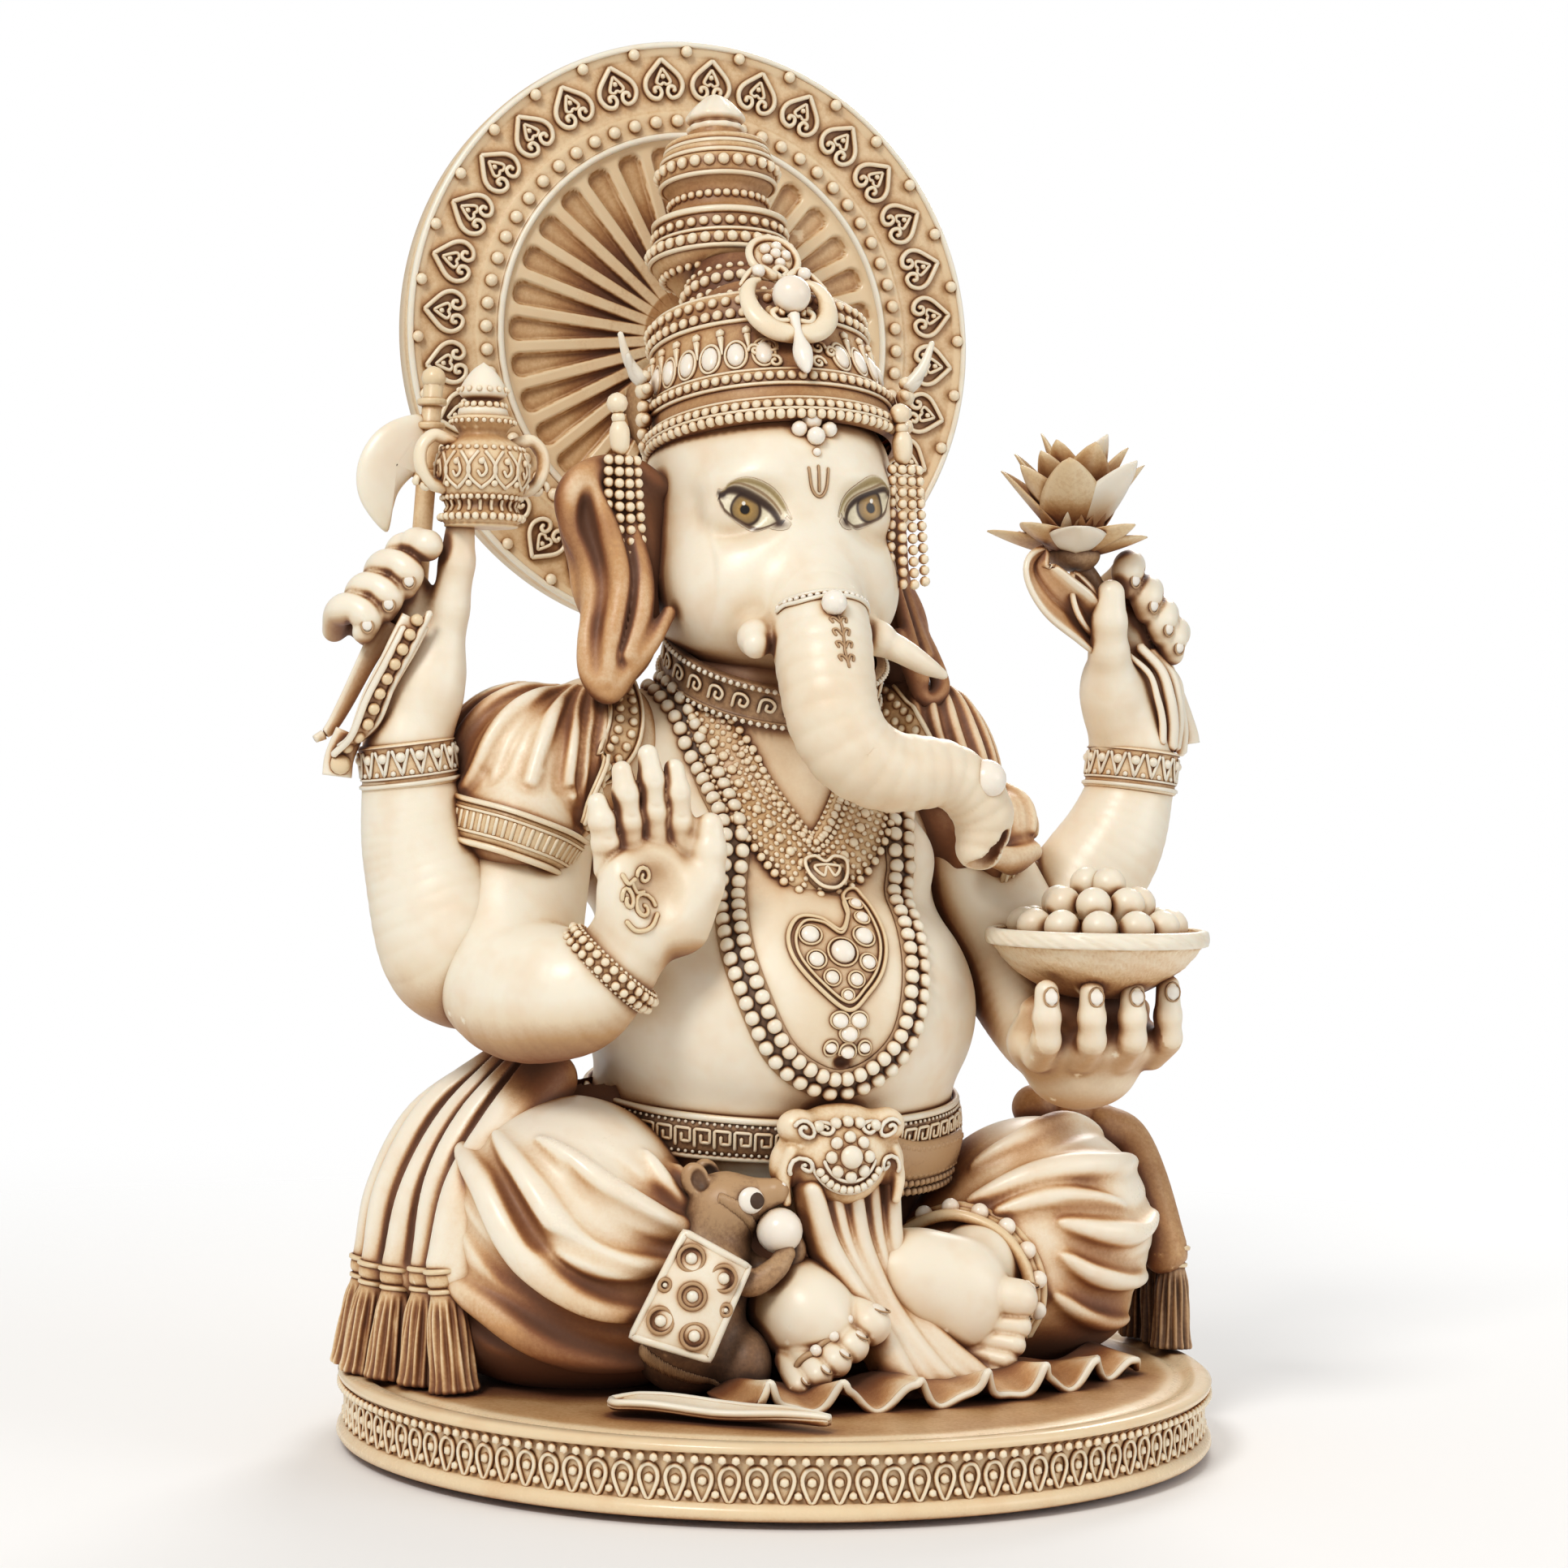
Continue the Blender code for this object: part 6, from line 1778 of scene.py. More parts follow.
def lotus():
    """Open flower in four rings of petals, with its stem and two leaves."""
    centre = np.array([67.0, -1, 190.6])
    pale, brown = [], []
    for count, start, lift, length, width, bend, light in ((8, -21, 6, 19.5, 6.6, 0.16, (0,)),
                                                           (7, 22, 44, 26, 7.0, 0.04, (0,)),
                                                           (6, -8, 57, 26.5, 6.8, 0.0, ()),
                                                           (5, 20, 71, 26, 6.0, -0.05, (0,))):
        for i in range(count):
            shape = petal(centre + (0, 0, 0.03 * lift), start + i * 360 / count, lift + 5 * (i % 2),
                          length - 1.5 * (i % 3), width, bend)
            (pale if i in light else brown).append(shape)
    stem = wire(curve([(78, 2, 170), (76, 1, 178), (72, 0, 185), (67, -1, 190)], 8), 2.4, (0, -1, 0), 12)
    cup = Turned(centre - (0, 0, 3.4), [(0, 0), (3.4, 0.4), (5.6, 2.6), (5.2, 4.8), (0, 5.2)], steps=5)
    points, faces = joined(brown)
    depth = np.linalg.norm(points - centre, axis=1)
    finish_piece("lotus_petals", points, faces, TAN, "cloth_resin", ["lotus_flower"],
                 0.04 + 0.5 * clamp(1 - depth / 17))
    finish_parts("lotus_pale_petals", pale, IVORY, "ivory_resin")
    finish_parts("lotus_stem", [stem, cup.shell(40)], DARK, "dark_resin")
    leaves = [hooked_leaf([(75, -1.5, 170), (68, -3, 176), (60, -4, 181.5), (56, -4, 187.5),
                           (58.5, -4.5, 192)], 5.0, 0.9),
              hooked_leaf([(74, -2, 173), (68, -4, 180), (65, -5, 187)], 3.2, 0.8)]
    finish_parts("lotus_leaves", leaves, CLOTH, "cloth_resin")


def axe():
    """Crescent blade on a ringed shaft."""
    outline = curve([(-77, 217), (-84, 217), (-90.5, 212.5), (-94, 205), (-93, 197), (-87, 190),
                     (-85.6, 194.5), (-84, 199.5), (-80.5, 203.5), (-77, 204.5)], 6, closed=True)
    outline = (outline - (-77, 204)) * 0.88 + (-77, 203)
    centre = np.array([-84.0, 204.5])
    rings = []
    for share, thick in ((1.0, 0.15), (0.93, 0.8), (0.75, 1.4), (0.4, 1.7), (0.02, 1.75)):
        flat = centre + (outline - centre) * share
        rings.append(np.column_stack([flat[:, 0], 9 - 0 * flat[:, 0] - thick, flat[:, 1]]))
    front = np.array(rings)
    back = front[::-1].copy()
    back[..., 1] = 18 - back[..., 1]
    body = np.concatenate([back, front])
    blade = outward(body.reshape(-1, 3), grid_faces(len(body), len(outline), closed=True))
    finish_piece("axe_blade", *blade, IVORY, "ivory_resin", ["axe"])
    shaft = wire([(-79, 9, 172), (-78.6, 9, 182), (-77.4, 9, 200), (-76, 9, 222)], 2.1, (0, -1, 0), 14)
    rings = [beads([(-76, 9, 223)], 2.6)]
    for x, z in ((-77.3, 203), (-76.6, 213), (-76.3, 218)):
        ring = Turned((x, 9, z), [(1.8, -1), (2.9, -0.6), (3.1, 0), (2.9, 0.6), (1.8, 1)])
        rings.append(ring.shell(28))
    finish_parts("axe_shaft", [shaft] + rings, TAN, "carved_resin")


def pot():
    """Spouted pot with its lid, rows of grains, drawn drops and two looped handles."""
    x, y, z = place = (-69, -4, 193)
    body = Turned(place, [(0, -1.6), (6.8, -1.6), (7.6, -0.8), (8.2, 0.4), (7.2, 1.8), (6.8, 3.2),
                          (8.0, 4.6), (9.0, 7), (9.4, 10), (9.0, 13), (7.6, 15.2), (5.4, 16.8), (4.9, 17.8),
                          (5.6, 19), (6.4, 20), (5.8, 21.2), (0, 21.4)], steps=5)
    finish_piece("water_pot", *body.shell(96), TAN, "carved_resin", ["water_pot"])
    lid = Turned(place, [(5.2, 21.2), (5.0, 22.6), (4.0, 23.6), (3.2, 24.4), (4.6, 25.4), (4.9, 26.4),
                         (4.0, 28.4), (2.2, 30.8), (0, 32.4)], steps=4)
    finish_piece("pot_lid", *lid.shell(64), IVORY, "carved_resin", ["pot_lid"])
    relief = [body.row(0.4, 30, 0.8, 0.2), body.row(4.4, 34, 0.7, 0.2, detail=1),
              body.row(14.4, 30, 0.6, 0.15, detail=1)]
    relief += [body.row(20.0, 26, 0.55, 0.2, detail=1), lid.row(23.4, 18, 0.75, 0.2),
               lid.row(26.6, 14, 0.6, 0.1)]
    count = 11
    for i in range(count):
        angle = (i + 0.5) * 2 * math.pi / count
        for side in (-1, 1):
            across = np.array([0, 0.9, 1.0, 0.3]) * side * math.pi / count
            height = np.array([6.0, 8.2, 10.6, 13.4])
            path = curve(body.on(height, angle + across, 0.15), 5)
            relief.append(wire(path, 0.42, body.out(angle), 5))
        path = curve(body.on(np.array([12, 9.6, 8.4, 9.4]), angle + np.array([0.02, 0.1, 0.0, -0.08]), 0.2),
                     5)
        relief.append(wire(path, 0.38, body.out(angle), 5))
        relief.append(beads([body.on(11.4, angle, 0.1), body.on(7.0, angle + math.pi / count, 0.1)], 0.75,
                            2))
    for i in range(20):
        angle = i * 2 * math.pi / 20
        relief.append(wire(body.on(np.array([1.6, 2.6, 3.8]), angle, 0.1), 0.45, body.out(angle), 5))
    finish_parts("pot_relief", relief, CARVED, "carved_resin")
    handles = []
    for side in (-1, 1):
        loop = curve([(9.4, 8.6), (13.2, 9.6), (15.6, 13.0), (15.4, 16.8), (12.6, 19.2), (9.4, 18.6),
                      (6.6, 17.6)], 7)
        path = np.array([(x + side * r * 0.86, y + side * r * 0.1, z - 2.4 + h) for r, h in loop])
        handles.append(wire(path, 1.35, (0, -1, 0), 12, 1.25))
        curl = scroll(2.0, 1.0, 14)
        path = np.array([(x + side * (12.4 + a), y + side * 1.2, z + 7.0 + b) for a, b in curl])
        handles.append(wire(path, 0.8, (0, -1, 0), 8))
    finish_parts("pot_handles", handles, CARVED, "carved_resin")


def sweets():
    """Bowl with a beaded rim, and three layers of round sweets."""
    place = (60, -30, 94)
    bowl = Turned(place, [(0, 1.6), (7, 1.8), (13, 4.4), (18.4, 8.2), (21.8, 12.2), (22.9, 14.2),
                          (22.9, 15.6), (21.6, 16.0), (20.6, 14.6), (16, 11), (0, 8.5)], steps=5)
    points, faces = bowl.shell(220, lambda a, h: 0.3 * np.sin(41 * a + 4 * h) * np.sin(29 * a - 6 * h)
                               * (h > 5))
    finish_piece("sweet_bowl", points, faces, CARVED, "dark_resin", ["sweet_bowl"],
                 0.3 - 0.3 * clamp((points[:, 2] - 99) / 5))
    rim = Turned(place, [(21.6, 13.0), (23.2, 12.8), (23.7, 14.2), (23.3, 15.8), (22.0, 16.2), (21.2, 15.2)],
                 steps=4)
    around = full_turn(73)
    grains = [rim.shell(110, lambda a, h: 0.10 * np.sin(37 * a + 3 * h) + 0.08 * np.sin(59 * a - 5 * h))]
    grains += [beads(bowl.on(10.4 + 0.9 * (np.arange(73) % 3 - 1), around, 0.0), 0.6, 1)]
    finish_parts("bowl_rim", grains, IVORY, "carved_resin")
    balls = []
    size = 3.8
    for radius, count, height, start in ((15.4, 12, 110.8, 0.1), (8.6, 7, 115.4, 0.35),
                                         (2.4, 2, 119.4, 0.7)):
        angles = start + np.arange(count) * 2 * math.pi / count
        centres = np.column_stack([place[0] + radius * np.sin(angles), place[1] - radius * np.cos(angles),
                                   np.full(count, height)])
        balls.append(beads(centres, size, 3))
    finish_parts("sweets_heap", balls, IVORY, "ivory_resin", ["sweets_heap"])


# ---------------------------------------------------------------- legs, cloth and feet


def ridges(clay, drawn, height, soft, cut=False, taper=0.1):
    """Single folds laid on the clay: each is a radius and a path."""
    for radius, path in drawn:
        clay.folds(path, path, 1, radius, height, soft, cut, taper)


def seat():
    """Cloth gathered behind and under the figure."""
    clay = Clay((-72, -34, 12), (72, 66, 76), 0.9)
    clay.ball((0, 24, 38), (58, 36, 27), 3)
    clay.ball((0, 18, 26), (66, 40, 16), 6)
    clay.folds([(-60, 20, 52), (-30, 52, 48), (0, 60, 46), (30, 52, 48), (60, 20, 52)],
               [(-64, 20, 22), (-36, 54, 20), (0, 60, 18), (36, 54, 20), (64, 20, 22)], 6, 2.6, 0.2, 3)
    clay.ball((-36, 4, 64), (18, 12, 17), 5)
    clay.ball((0, 20, 4), (90, 70, 12), 0.5, cut=True)
    clay.finish("dhoti_seat", CLOTH, "cloth_resin", ["dhoti_seat"], crease=0.5, under=0.2, reach=4.0,
                stain_and_shade=lambda x, y, z: 0.15 + 0.5 * clamp((26 - y) / 14))


def right_leg():
    """Folded leg on the left of the picture, its cloth in wide folds."""
    clay = Clay((-88, -54, 12), (-6, 38, 86), 0.6)
    clay.ball((-50, -9, 47), (27, 27, 28), 3)
    clay.ball((-38, -14, 36), (25, 23, 20), 9)
    clay.ball((-52, -4, 28), (24, 24, 13), 7)
    ridges(clay, [(3.4, [(-57, -19, 61), (-49, -34.4, 58), (-38, -36, 52), (-30, -34, 51)]),
                  (3.6, [(-61, -13, 61), (-63.4, -29.6, 58), (-58, -38, 48), (-49, -40, 44),
                         (-36, -41, 44)]), (3.9, [(-63, -4, 59), (-69, -21, 57), (-67.6, -31, 48),
                                                  (-62, -37, 39), (-53, -39, 34.5), (-42, -38, 34)]),
                  (3.6, [(-72, -4, 47), (-70, -18, 38), (-65, -29, 29), (-56, -33, 24), (-40, -33, 22)]),
                  (2.4, [(-34, -22.5, 59.6), (-28, -28, 56), (-24, -28, 48)]),
                  (2.2, [(-43, -21, 59), (-35, -31.4, 58), (-28, -33, 54)])], 0.8, 2.6)
    ridges(clay, [(2.1, [(-66, -24, 61), (-61, -35, 50.5), (-54, -39, 46), (-42, -42, 41)]),
                  (2.5, [(-74, -16, 53), (-70, -28, 42), (-62, -35, 33.5), (-46, -38, 29)]),
                  (1.8, [(-57, -31, 64), (-47, -37, 55), (-35, -39, 48.5)]),
                  (1.4, [(-50, -30, 68), (-42, -33, 60), (-34, -35, 55)]),
                  (1.8, [(-76, -8, 38), (-70, -24, 27), (-58, -32, 19)]),
                  (1.5, [(-30, -28, 58), (-27, -31, 50), (-26, -31, 42)])], 0.8, 1.8, True, 0.2)
    clay.ball((-48, -10, 5), (60, 60, 11), 0.5, cut=True)

    # Painted shade on the lower part of the leg and a painted highlight on the knee; also darker where the
    # cloth gathers at its inner end.
    def stain_and_shade(x, _, z):
        low = 0.3 * clamp((50 - z) / 24) + 0.55 * clamp((44 - z) / 30) ** 1.3
        gather = np.exp(-((x + 27) / 9) ** 2 - ((z - 56) / 12) ** 2)
        knee_highlight = np.exp(-((x + 54) / 15) ** 2 - ((z - 60) / 13) ** 2)
        return 0.02 + low + 0.3 * gather - 0.25 * knee_highlight

    clay.finish("right_leg", CLOTH, "cloth_resin", ["right_leg"], crease=0.55, under=0, reach=4.0,
                stain_and_shade=stain_and_shade)


def left_leg():
    """Folded leg on the right of the picture."""
    clay = Clay((20, -44, 12), (94, 38, 80), 0.6)
    clay.ball((58, -6, 44), (26, 23, 24), 3)
    clay.ball((44, -11, 34), (24, 19, 18), 8)
    clay.ball((58, -2, 26), (22, 21, 11), 6)
    ridges(clay, [(2.0, [(74, -6, 65), (62, -11, 67), (50, -16, 64), (40, -14, 58)]),
                  (3.0, [(77, -12, 57), (68, -22, 59), (57, -26, 60), (46, -24, 57), (37, -19, 51)]),
                  (2.0, [(70, -25, 50), (60, -29, 53), (50, -27, 53), (41, -23, 49)]),
                  (2.8, [(77, -14, 47), (72, -25, 45), (63, -30, 46), (53, -29, 48)]),
                  (2.6, [(76, -14, 36), (70, -25, 35), (61, -30, 37), (53, -30, 41)]),
                  (2.0, [(72, -14, 26), (65, -24, 26), (58, -28, 29), (51, -30, 33)])], 0.8, 2.6)
    ridges(clay, [(2.0, [(85, -10, 52), (76, -25, 50), (64, -31, 51), (52, -30, 52)]),
                  (1.6, [(82, -14, 39), (74, -26, 38), (62, -31, 41), (54, -30, 44.5)]),
                  (1.5, [(80, -14, 29), (70, -26, 29), (60, -30, 32), (53, -31, 37)]),
                  (1.2, [(70, -12, 66), (58, -18, 64), (44, -20, 58)])], 1.0, 1.6, True, 0.2)
    clay.ball((58, -10, 5), (60, 60, 11), 0.5, cut=True)

    # Painted shade on the lower part of the leg and a painted highlight on the knee; also darker towards the
    # back.
    def stain_and_shade(x, y, z):
        knee_highlight = np.exp(-((x - 76) / 12) ** 2 - ((z - 50) / 13) ** 2)
        low, back = clamp((38 - z) / 22), clamp((y + 2) / 10)
        return 0.02 + 0.46 * low + 0.2 * back - 0.2 * knee_highlight

    clay.finish("left_leg", CLOTH, "cloth_resin", ["left_leg"], crease=0.5, under=0, reach=4.0, stain_and_shade=stain_and_shade)


def tassel(foot, top, size):
    """A knotted, grooved tassel from its foot up to its knot."""
    foot, top = np.asarray(foot, float), np.asarray(top, float)
    length = np.linalg.norm(top - foot)
    body = Turned(foot, [(0, 0.6), (3.6, 0), (4.9, 0.4), (4.6, 3), (4.2, length * 0.45),
                         (3.5, length * 0.74), (3.0, length * 0.8), (3.9, length * 0.85),
                         (3.9, length * 0.93), (2.8, length), (0, length + 1)], steps=5)
    body.profile[:, 0] *= size
    body.turn = np.array(Vector(unit(top - foot)).to_track_quat("Z", "Y").to_matrix())
    grooves = 15

    def ripple(angle, height):
        loose = clamp((length * 0.74 - height) / 3)
        return loose * (0.42 * np.cos(grooves * angle) + 0.2 * np.cos(7 * angle + 0.3 * height)) - 0.1

    rings = []
    for share in (0.79, 0.95):
        around = full_turn(40)
        rings.append(wire(body.on(length * share, around, 0.2), 0.6, body.out(around), 6, closed=True))
    return body.shell(120, ripple), rings


def tassels(side, feet, paths, size, material, slot, stain_and_shade=None):
    """The tassels at the ends of a shawl's folds, and the ties round their knots."""
    bodies, rings = [], []
    for path, foot in zip(paths, feet):
        body, around = tassel(foot, path[-1], size)
        bodies.append(body)
        rings += around
    finish_parts(side + "_shawl_tassels", bodies, material, slot, stain_and_shade=stain_and_shade)
    finish_parts(side + "_shawl_ties", rings, TAN, "carved_resin")


SHAWL = [[(-60, 13, 80), (-74, 18, 69), (-82, 18, 54), (-84, 19, 40)],
         [(-60, 7, 82), (-74, 9, 71), (-82.6, 9, 55), (-84.5, 10, 40)],
         [(-59, 2, 82.5), (-71, 3, 70), (-79.4, 1.5, 55), (-82.2, 2, 40)],
         [(-58, -2, 82), (-69, -3, 70), (-76, -5, 57), (-78.4, -6.5, 41)],
         [(-57, -5, 80), (-66, -9, 69), (-74, -13, 57), (-77.4, -14.5, 42)]]
SHAWL_FEET = [(-87, 20, 16.4), (-87.5, 10.5, 16.4), (-84.4, 1, 16.4), (-80, -8, 16.4), (-75.4, -16.6, 16.4)]


def right_shawl():
    clay = Clay((-100, -30, 30), (-46, 34, 92), 0.5)
    clay.limbs([curve([(x + 4, y, z - 2, 6) for x, y, z in path], 6) for path in SHAWL], 3)
    for path in SHAWL:
        clay.limbs([np.column_stack([curve(path, 8), np.linspace(2.8, 3.7, 25)])], 1.2)
    for path, other in zip(SHAWL[:-1], SHAWL[1:]):
        between = (np.array(path, float) + np.array(other, float)) / 2
        clay.limbs([np.column_stack([curve(between + (-1.2, -1.2, 0.6), 8), np.linspace(0.9, 1.3, 25)])],
                   1.0, cut=True)
        clay.limbs([np.column_stack([curve(between + (0.8, 0.4, -0.6), 8), np.linspace(1.2, 1.6, 25)])], 0.8)
    clay.finish("right_shawl", CLOTH, "cloth_resin", ["right_shawl"], crease=0.45, under=0.1, reach=3.4,
                stain_and_shade=lambda x, y, z: 0.25 * clamp((52 - z) / 20) + 0.5 * clamp((x + 66) / 8) - 0.05)
    tassels("right", SHAWL_FEET, SHAWL, 1.0, CARVED, "cloth_resin", 0.22)


def left_shawl():
    paths = [[(64 + 7 * k, 4 - 2 * k, 71 - 2 * k), (78 + 3 * k, 5 - 3 * k, 66 - k), (87, 5 - 5 * k, 55),
              (89.5, 6 - 8 * k, 40)] for k in range(3)]
    clay = Clay((50, -24, 24), (100, 24, 84), 0.5)
    clay.limbs([curve([(x - 2, y, z - 2, 5) for x, y, z in path], 6) for path in paths], 3)
    for path in paths:
        clay.limbs([np.column_stack([curve(path, 8), np.linspace(1.6, 2.6, 25)])], 1.2)
    clay.finish("left_shawl", TAN, "cloth_resin", ["left_shawl"], crease=0.6, under=0.1, reach=2.6,
                stain_and_shade=0.36)
    tassels("left", ((89.5, 6, 17), (90.5, -3, 17), (88.5, -12, 17)), paths, 0.85, DARK, "dark_resin")


def pleats():
    """Cloth that falls in pleats from the buckle."""
    clay = Clay((-22, -54, 12), (42, -22, 68), 0.5)
    left = [(-8, -41, 58), (-4, -40, 46), (3, -41, 34), (8, -44, 24), (11, -47, 17)]
    right = [(11, -36, 58), (12, -35, 46), (15, -36, 34), (22, -39, 24), (29, -43, 17)]
    first, last = np.array(left, float), np.array(right, float)
    for k in range(5):
        share = k / 4
        path = first * (1 - share) + last * share + (0, 0.8 * (k % 2), 0)
        clay.limbs([curve(np.column_stack([path, [2.0, 2.5, 2.9, 3.3, 3.6]]), 8)], 0.7)
        clay.limbs([curve(np.column_stack([path + (0, 4, 0), [3, 3.4, 3.8, 4, 4.2]]), 6)], 2)
    clay.ball((10, -40, 7), (60, 40, 9.5), 0.5, cut=True)
    clay.finish("front_pleats", CLOTH, "cloth_resin", ["front_pleats"], crease=0.8, under=0, reach=2.6,
                stain_and_shade=-0.05)


def hem_edge(x):
    """The outer edge of the ruffled hem, and the phase of its waves."""
    x = np.asarray(x, float)
    phase = (x + 24.5) / 15.5 * 2 * math.pi
    y = -61 + 0.0075 * np.clip(x - 8, 0, None) ** 2 + 0.01 * np.clip(-x - 14, 0, None) ** 2
    return y, phase


def hem():
    """Ruffled edge of the cloth that lies on the plinth."""
    rows, columns = 220, 22
    x, u = np.meshgrid(np.linspace(-30, 70, rows), np.linspace(0, 1, columns), indexing="ij")
    edge, phase = hem_edge(x)
    swell = u ** 1.4
    fade = clamp((x + 30) / 5) * clamp((70 - x) / 6)
    y = (edge + 17) * (1 - u) + edge * u - 1.6 * swell * np.cos(phase)
    z = 19.6 + (3.0 * np.cos(phase) + 0.7 * np.cos(2.3 * phase)) * swell * fade - 2.4 * (1 - fade)
    z = z + 1.2 * (1 - u) * np.cos(phase * 0.5)
    shift = -1.5 * swell * np.sin(phase)
    sheet = np.stack([x + shift, y, z], -1)
    finish_piece("ruffled_hem", *slab(sheet, 1.5), CLOTH, "cloth_resin", ["ruffled_hem"],
                 np.concatenate([0.42 * (1 - u).ravel() + 0.2] * 2))
    rim = [wire(sheet[:, -1], 0.8, (0, -0.3, 1), 8)]
    finish_parts("hem_rim", rim, IVORY, "cloth_resin")


def leaf():
    """Long leaf that lies on the plinth."""
    start, stop = np.array([-52.0, -46.5, 17.6]), np.array([-18.5, -77.5, 17.6])
    ahead = unit(stop - start)
    side = np.array([-ahead[1], ahead[0], 0])
    u, v = np.meshgrid(np.linspace(0, 1, 50), np.linspace(-1, 1, 13), indexing="ij")
    width = 4.9 * clamp(u / 0.07) ** 0.5 * np.clip((1 - u) / 0.5, 0.02, 1) ** 0.8
    bow = 2.4 * np.sin(math.pi * u)
    rise = 1.0 * v ** 2 + 0.5 * np.exp(-(v / 0.12) ** 2) + 0.4 * np.sin(9 * u)
    flat = start + (stop - start) * u[..., None] + side * (width * v + bow)[..., None]
    sheet = flat + np.array([0, 0, 1]) * rise[..., None]
    finish_piece("ground_leaf", *slab(sheet, 1.6), CLOTH, "cloth_resin", ["ground_leaf"])
    rims = [wire(sheet[:, column] + (0, 0, 0.3), 0.75, (0, 0, 1), 8) for column in (0, -1)]
    finish_parts("leaf_rims", rims, IVORY, "cloth_resin")


def feet():
    """Both feet, with nails and rings on the toes."""
    clay = Clay((0, -54, 12), (64, -6, 62), 0.4)
    clay.ball((21, -32, 36.5), (16, 10, 11.4), 3, (0, 18, 0))
    clay.ball((29, -34, 33.5), (9.4, 8.8, 12), 4)
    clay.limbs([[(48, -17, 38, 10.5), (36, -25, 39, 9.2)]], 4)
    toes = [((31, -36, 35, 4.4), (38.2, -40, 34, 4.2)), ((31, -37, 29.4, 2.9), (38, -41.4, 28.6, 2.6)),
            ((30, -37, 26, 2.8), (36.6, -42, 24.9, 2.5)), ((28.6, -37, 23, 2.7), (34.8, -42.2, 21.6, 2.4)),
            ((27, -37, 20.4, 2.5), (32.6, -42, 18.8, 2.2))]
    for root, tip in toes:
        clay.limbs([[root, tip]], 0.5)
    clay.finish("left_foot", IVORY, "ivory_resin", ["left_foot"], crease=0.6, under=0, reach=1.8,
                stain_and_shade=lambda x, y, z: 0.22 * clamp((26 - z) / 8) * (x < 31))
    foot = Clay((-24, -58, 12), (14, -16, 52), 0.4)
    foot.ball((-9, -35, 33.5), (10, 13, 10.5), 3)
    foot.ball((-6, -40, 30), (9, 9, 9), 4)
    right_toes = [((-2, -40, 33, 4.6), (2.6, -46, 31.2, 4.4)),
                  ((-5, -42, 30, 3.8), (-2.0, -48.2, 27.4, 3.5)),
                  ((-8, -43, 28, 3.6), (-6.0, -49.6, 24.6, 3.2)),
                  ((-11, -43, 26, 3.4), (-10.0, -50, 22, 3.0)), ((-13, -42, 24, 3), (-13.6, -49.4, 20, 2.6))]
    for root, tip in right_toes:
        foot.limbs([[root, tip]], 0.5)
    foot.finish("right_foot", IVORY, "ivory_resin", ["right_foot"])
    plates, dark = [], []
    for root, tip in right_toes:
        ahead = unit(np.subtract(tip[:3], root[:3]))
        up = unit(np.array([0.35, -0.35, 1]) - ahead * (ahead @ np.array([0.35, -0.35, 1])))
        plate, groove = nail(np.array(tip[:3]) + (ahead * 0.35 + up * 0.9) * tip[3] * 0.95, up + ahead * 0.4,
                             ahead, tip[3] * 0.5)
        plates.append(plate)
        dark.append(groove)
    for root, tip in right_toes[1:4]:
        centre = np.array(root[:3]) * 0.4 + np.array(tip[:3]) * 0.6
        ahead = unit(np.subtract(tip[:3], root[:3]))
        side = unit(np.cross(ahead, (0, 0, 1)))
        up = np.cross(side, ahead)
        ring = circle(centre, side, up, tip[3] + 0.25, 24)
        dark.append(wire(ring, 0.75, ring - centre, 8, closed=True))
        plates.append(beads([centre + up * (tip[3] + 0.9)], 1.25, 2))
    for root, tip in toes:
        ahead = unit(np.subtract(tip[:3], root[:3]))
        plate, groove = nail(np.array(tip[:3]) + (0.75, 0.1, 0.65) * np.array(tip[3]), (0.75, 0.1, 0.65),
                             ahead, tip[3] * 0.42)
        plates.append(plate)
        dark.append(groove)
    finish_parts("toe_nails", plates, PEARL, "ivory_resin")
    finish_parts("toe_rings", dark, DARK, "dark_resin")


def anklet():
    """Four ribs round the left ankle, with pearls."""
    path = curve([(25, -11, 45), (28.5, -16, 48.4), (32.5, -20.5, 50), (37, -24.5, 49), (41, -27.8, 46.4),
                  (44, -30.6, 42), (45.6, -32.4, 36.4), (45.4, -32.6, 30.4), (43.4, -31, 25)], 8)
    centre = np.array([36, -20, 36.0])
    out = unit(path - centre)
    side = unit(np.cross(np.gradient(path, axis=0), out))
    ribs = []
    for shift, lift, radius in ((-2.6, 0, 1.3), (2.6, 0, 1.3), (-0.9, -0.6, 1.2), (0.9, -0.6, 1.2)):
        ribs.append(wire(path + side * shift + out * lift, radius, out, 10))
    finish_parts("left_anklet", ribs, TAN, "carved_resin", ["left_anklet"])
    spots = spread(path, 6.2)[1:-1]
    finish_piece("anklet_pearls", *beads(spots + unit(spots - centre) * 0.9, 1.9, 3), PEARL, "ivory_resin")


# ---------------------------------------------------------------- mouse

# Steps that spread the hairs evenly: round the body, in radians, and up it, as a share of its height.
GOLDEN_ANGLE, GOLDEN_SHARE = 2.39996, 0.6180


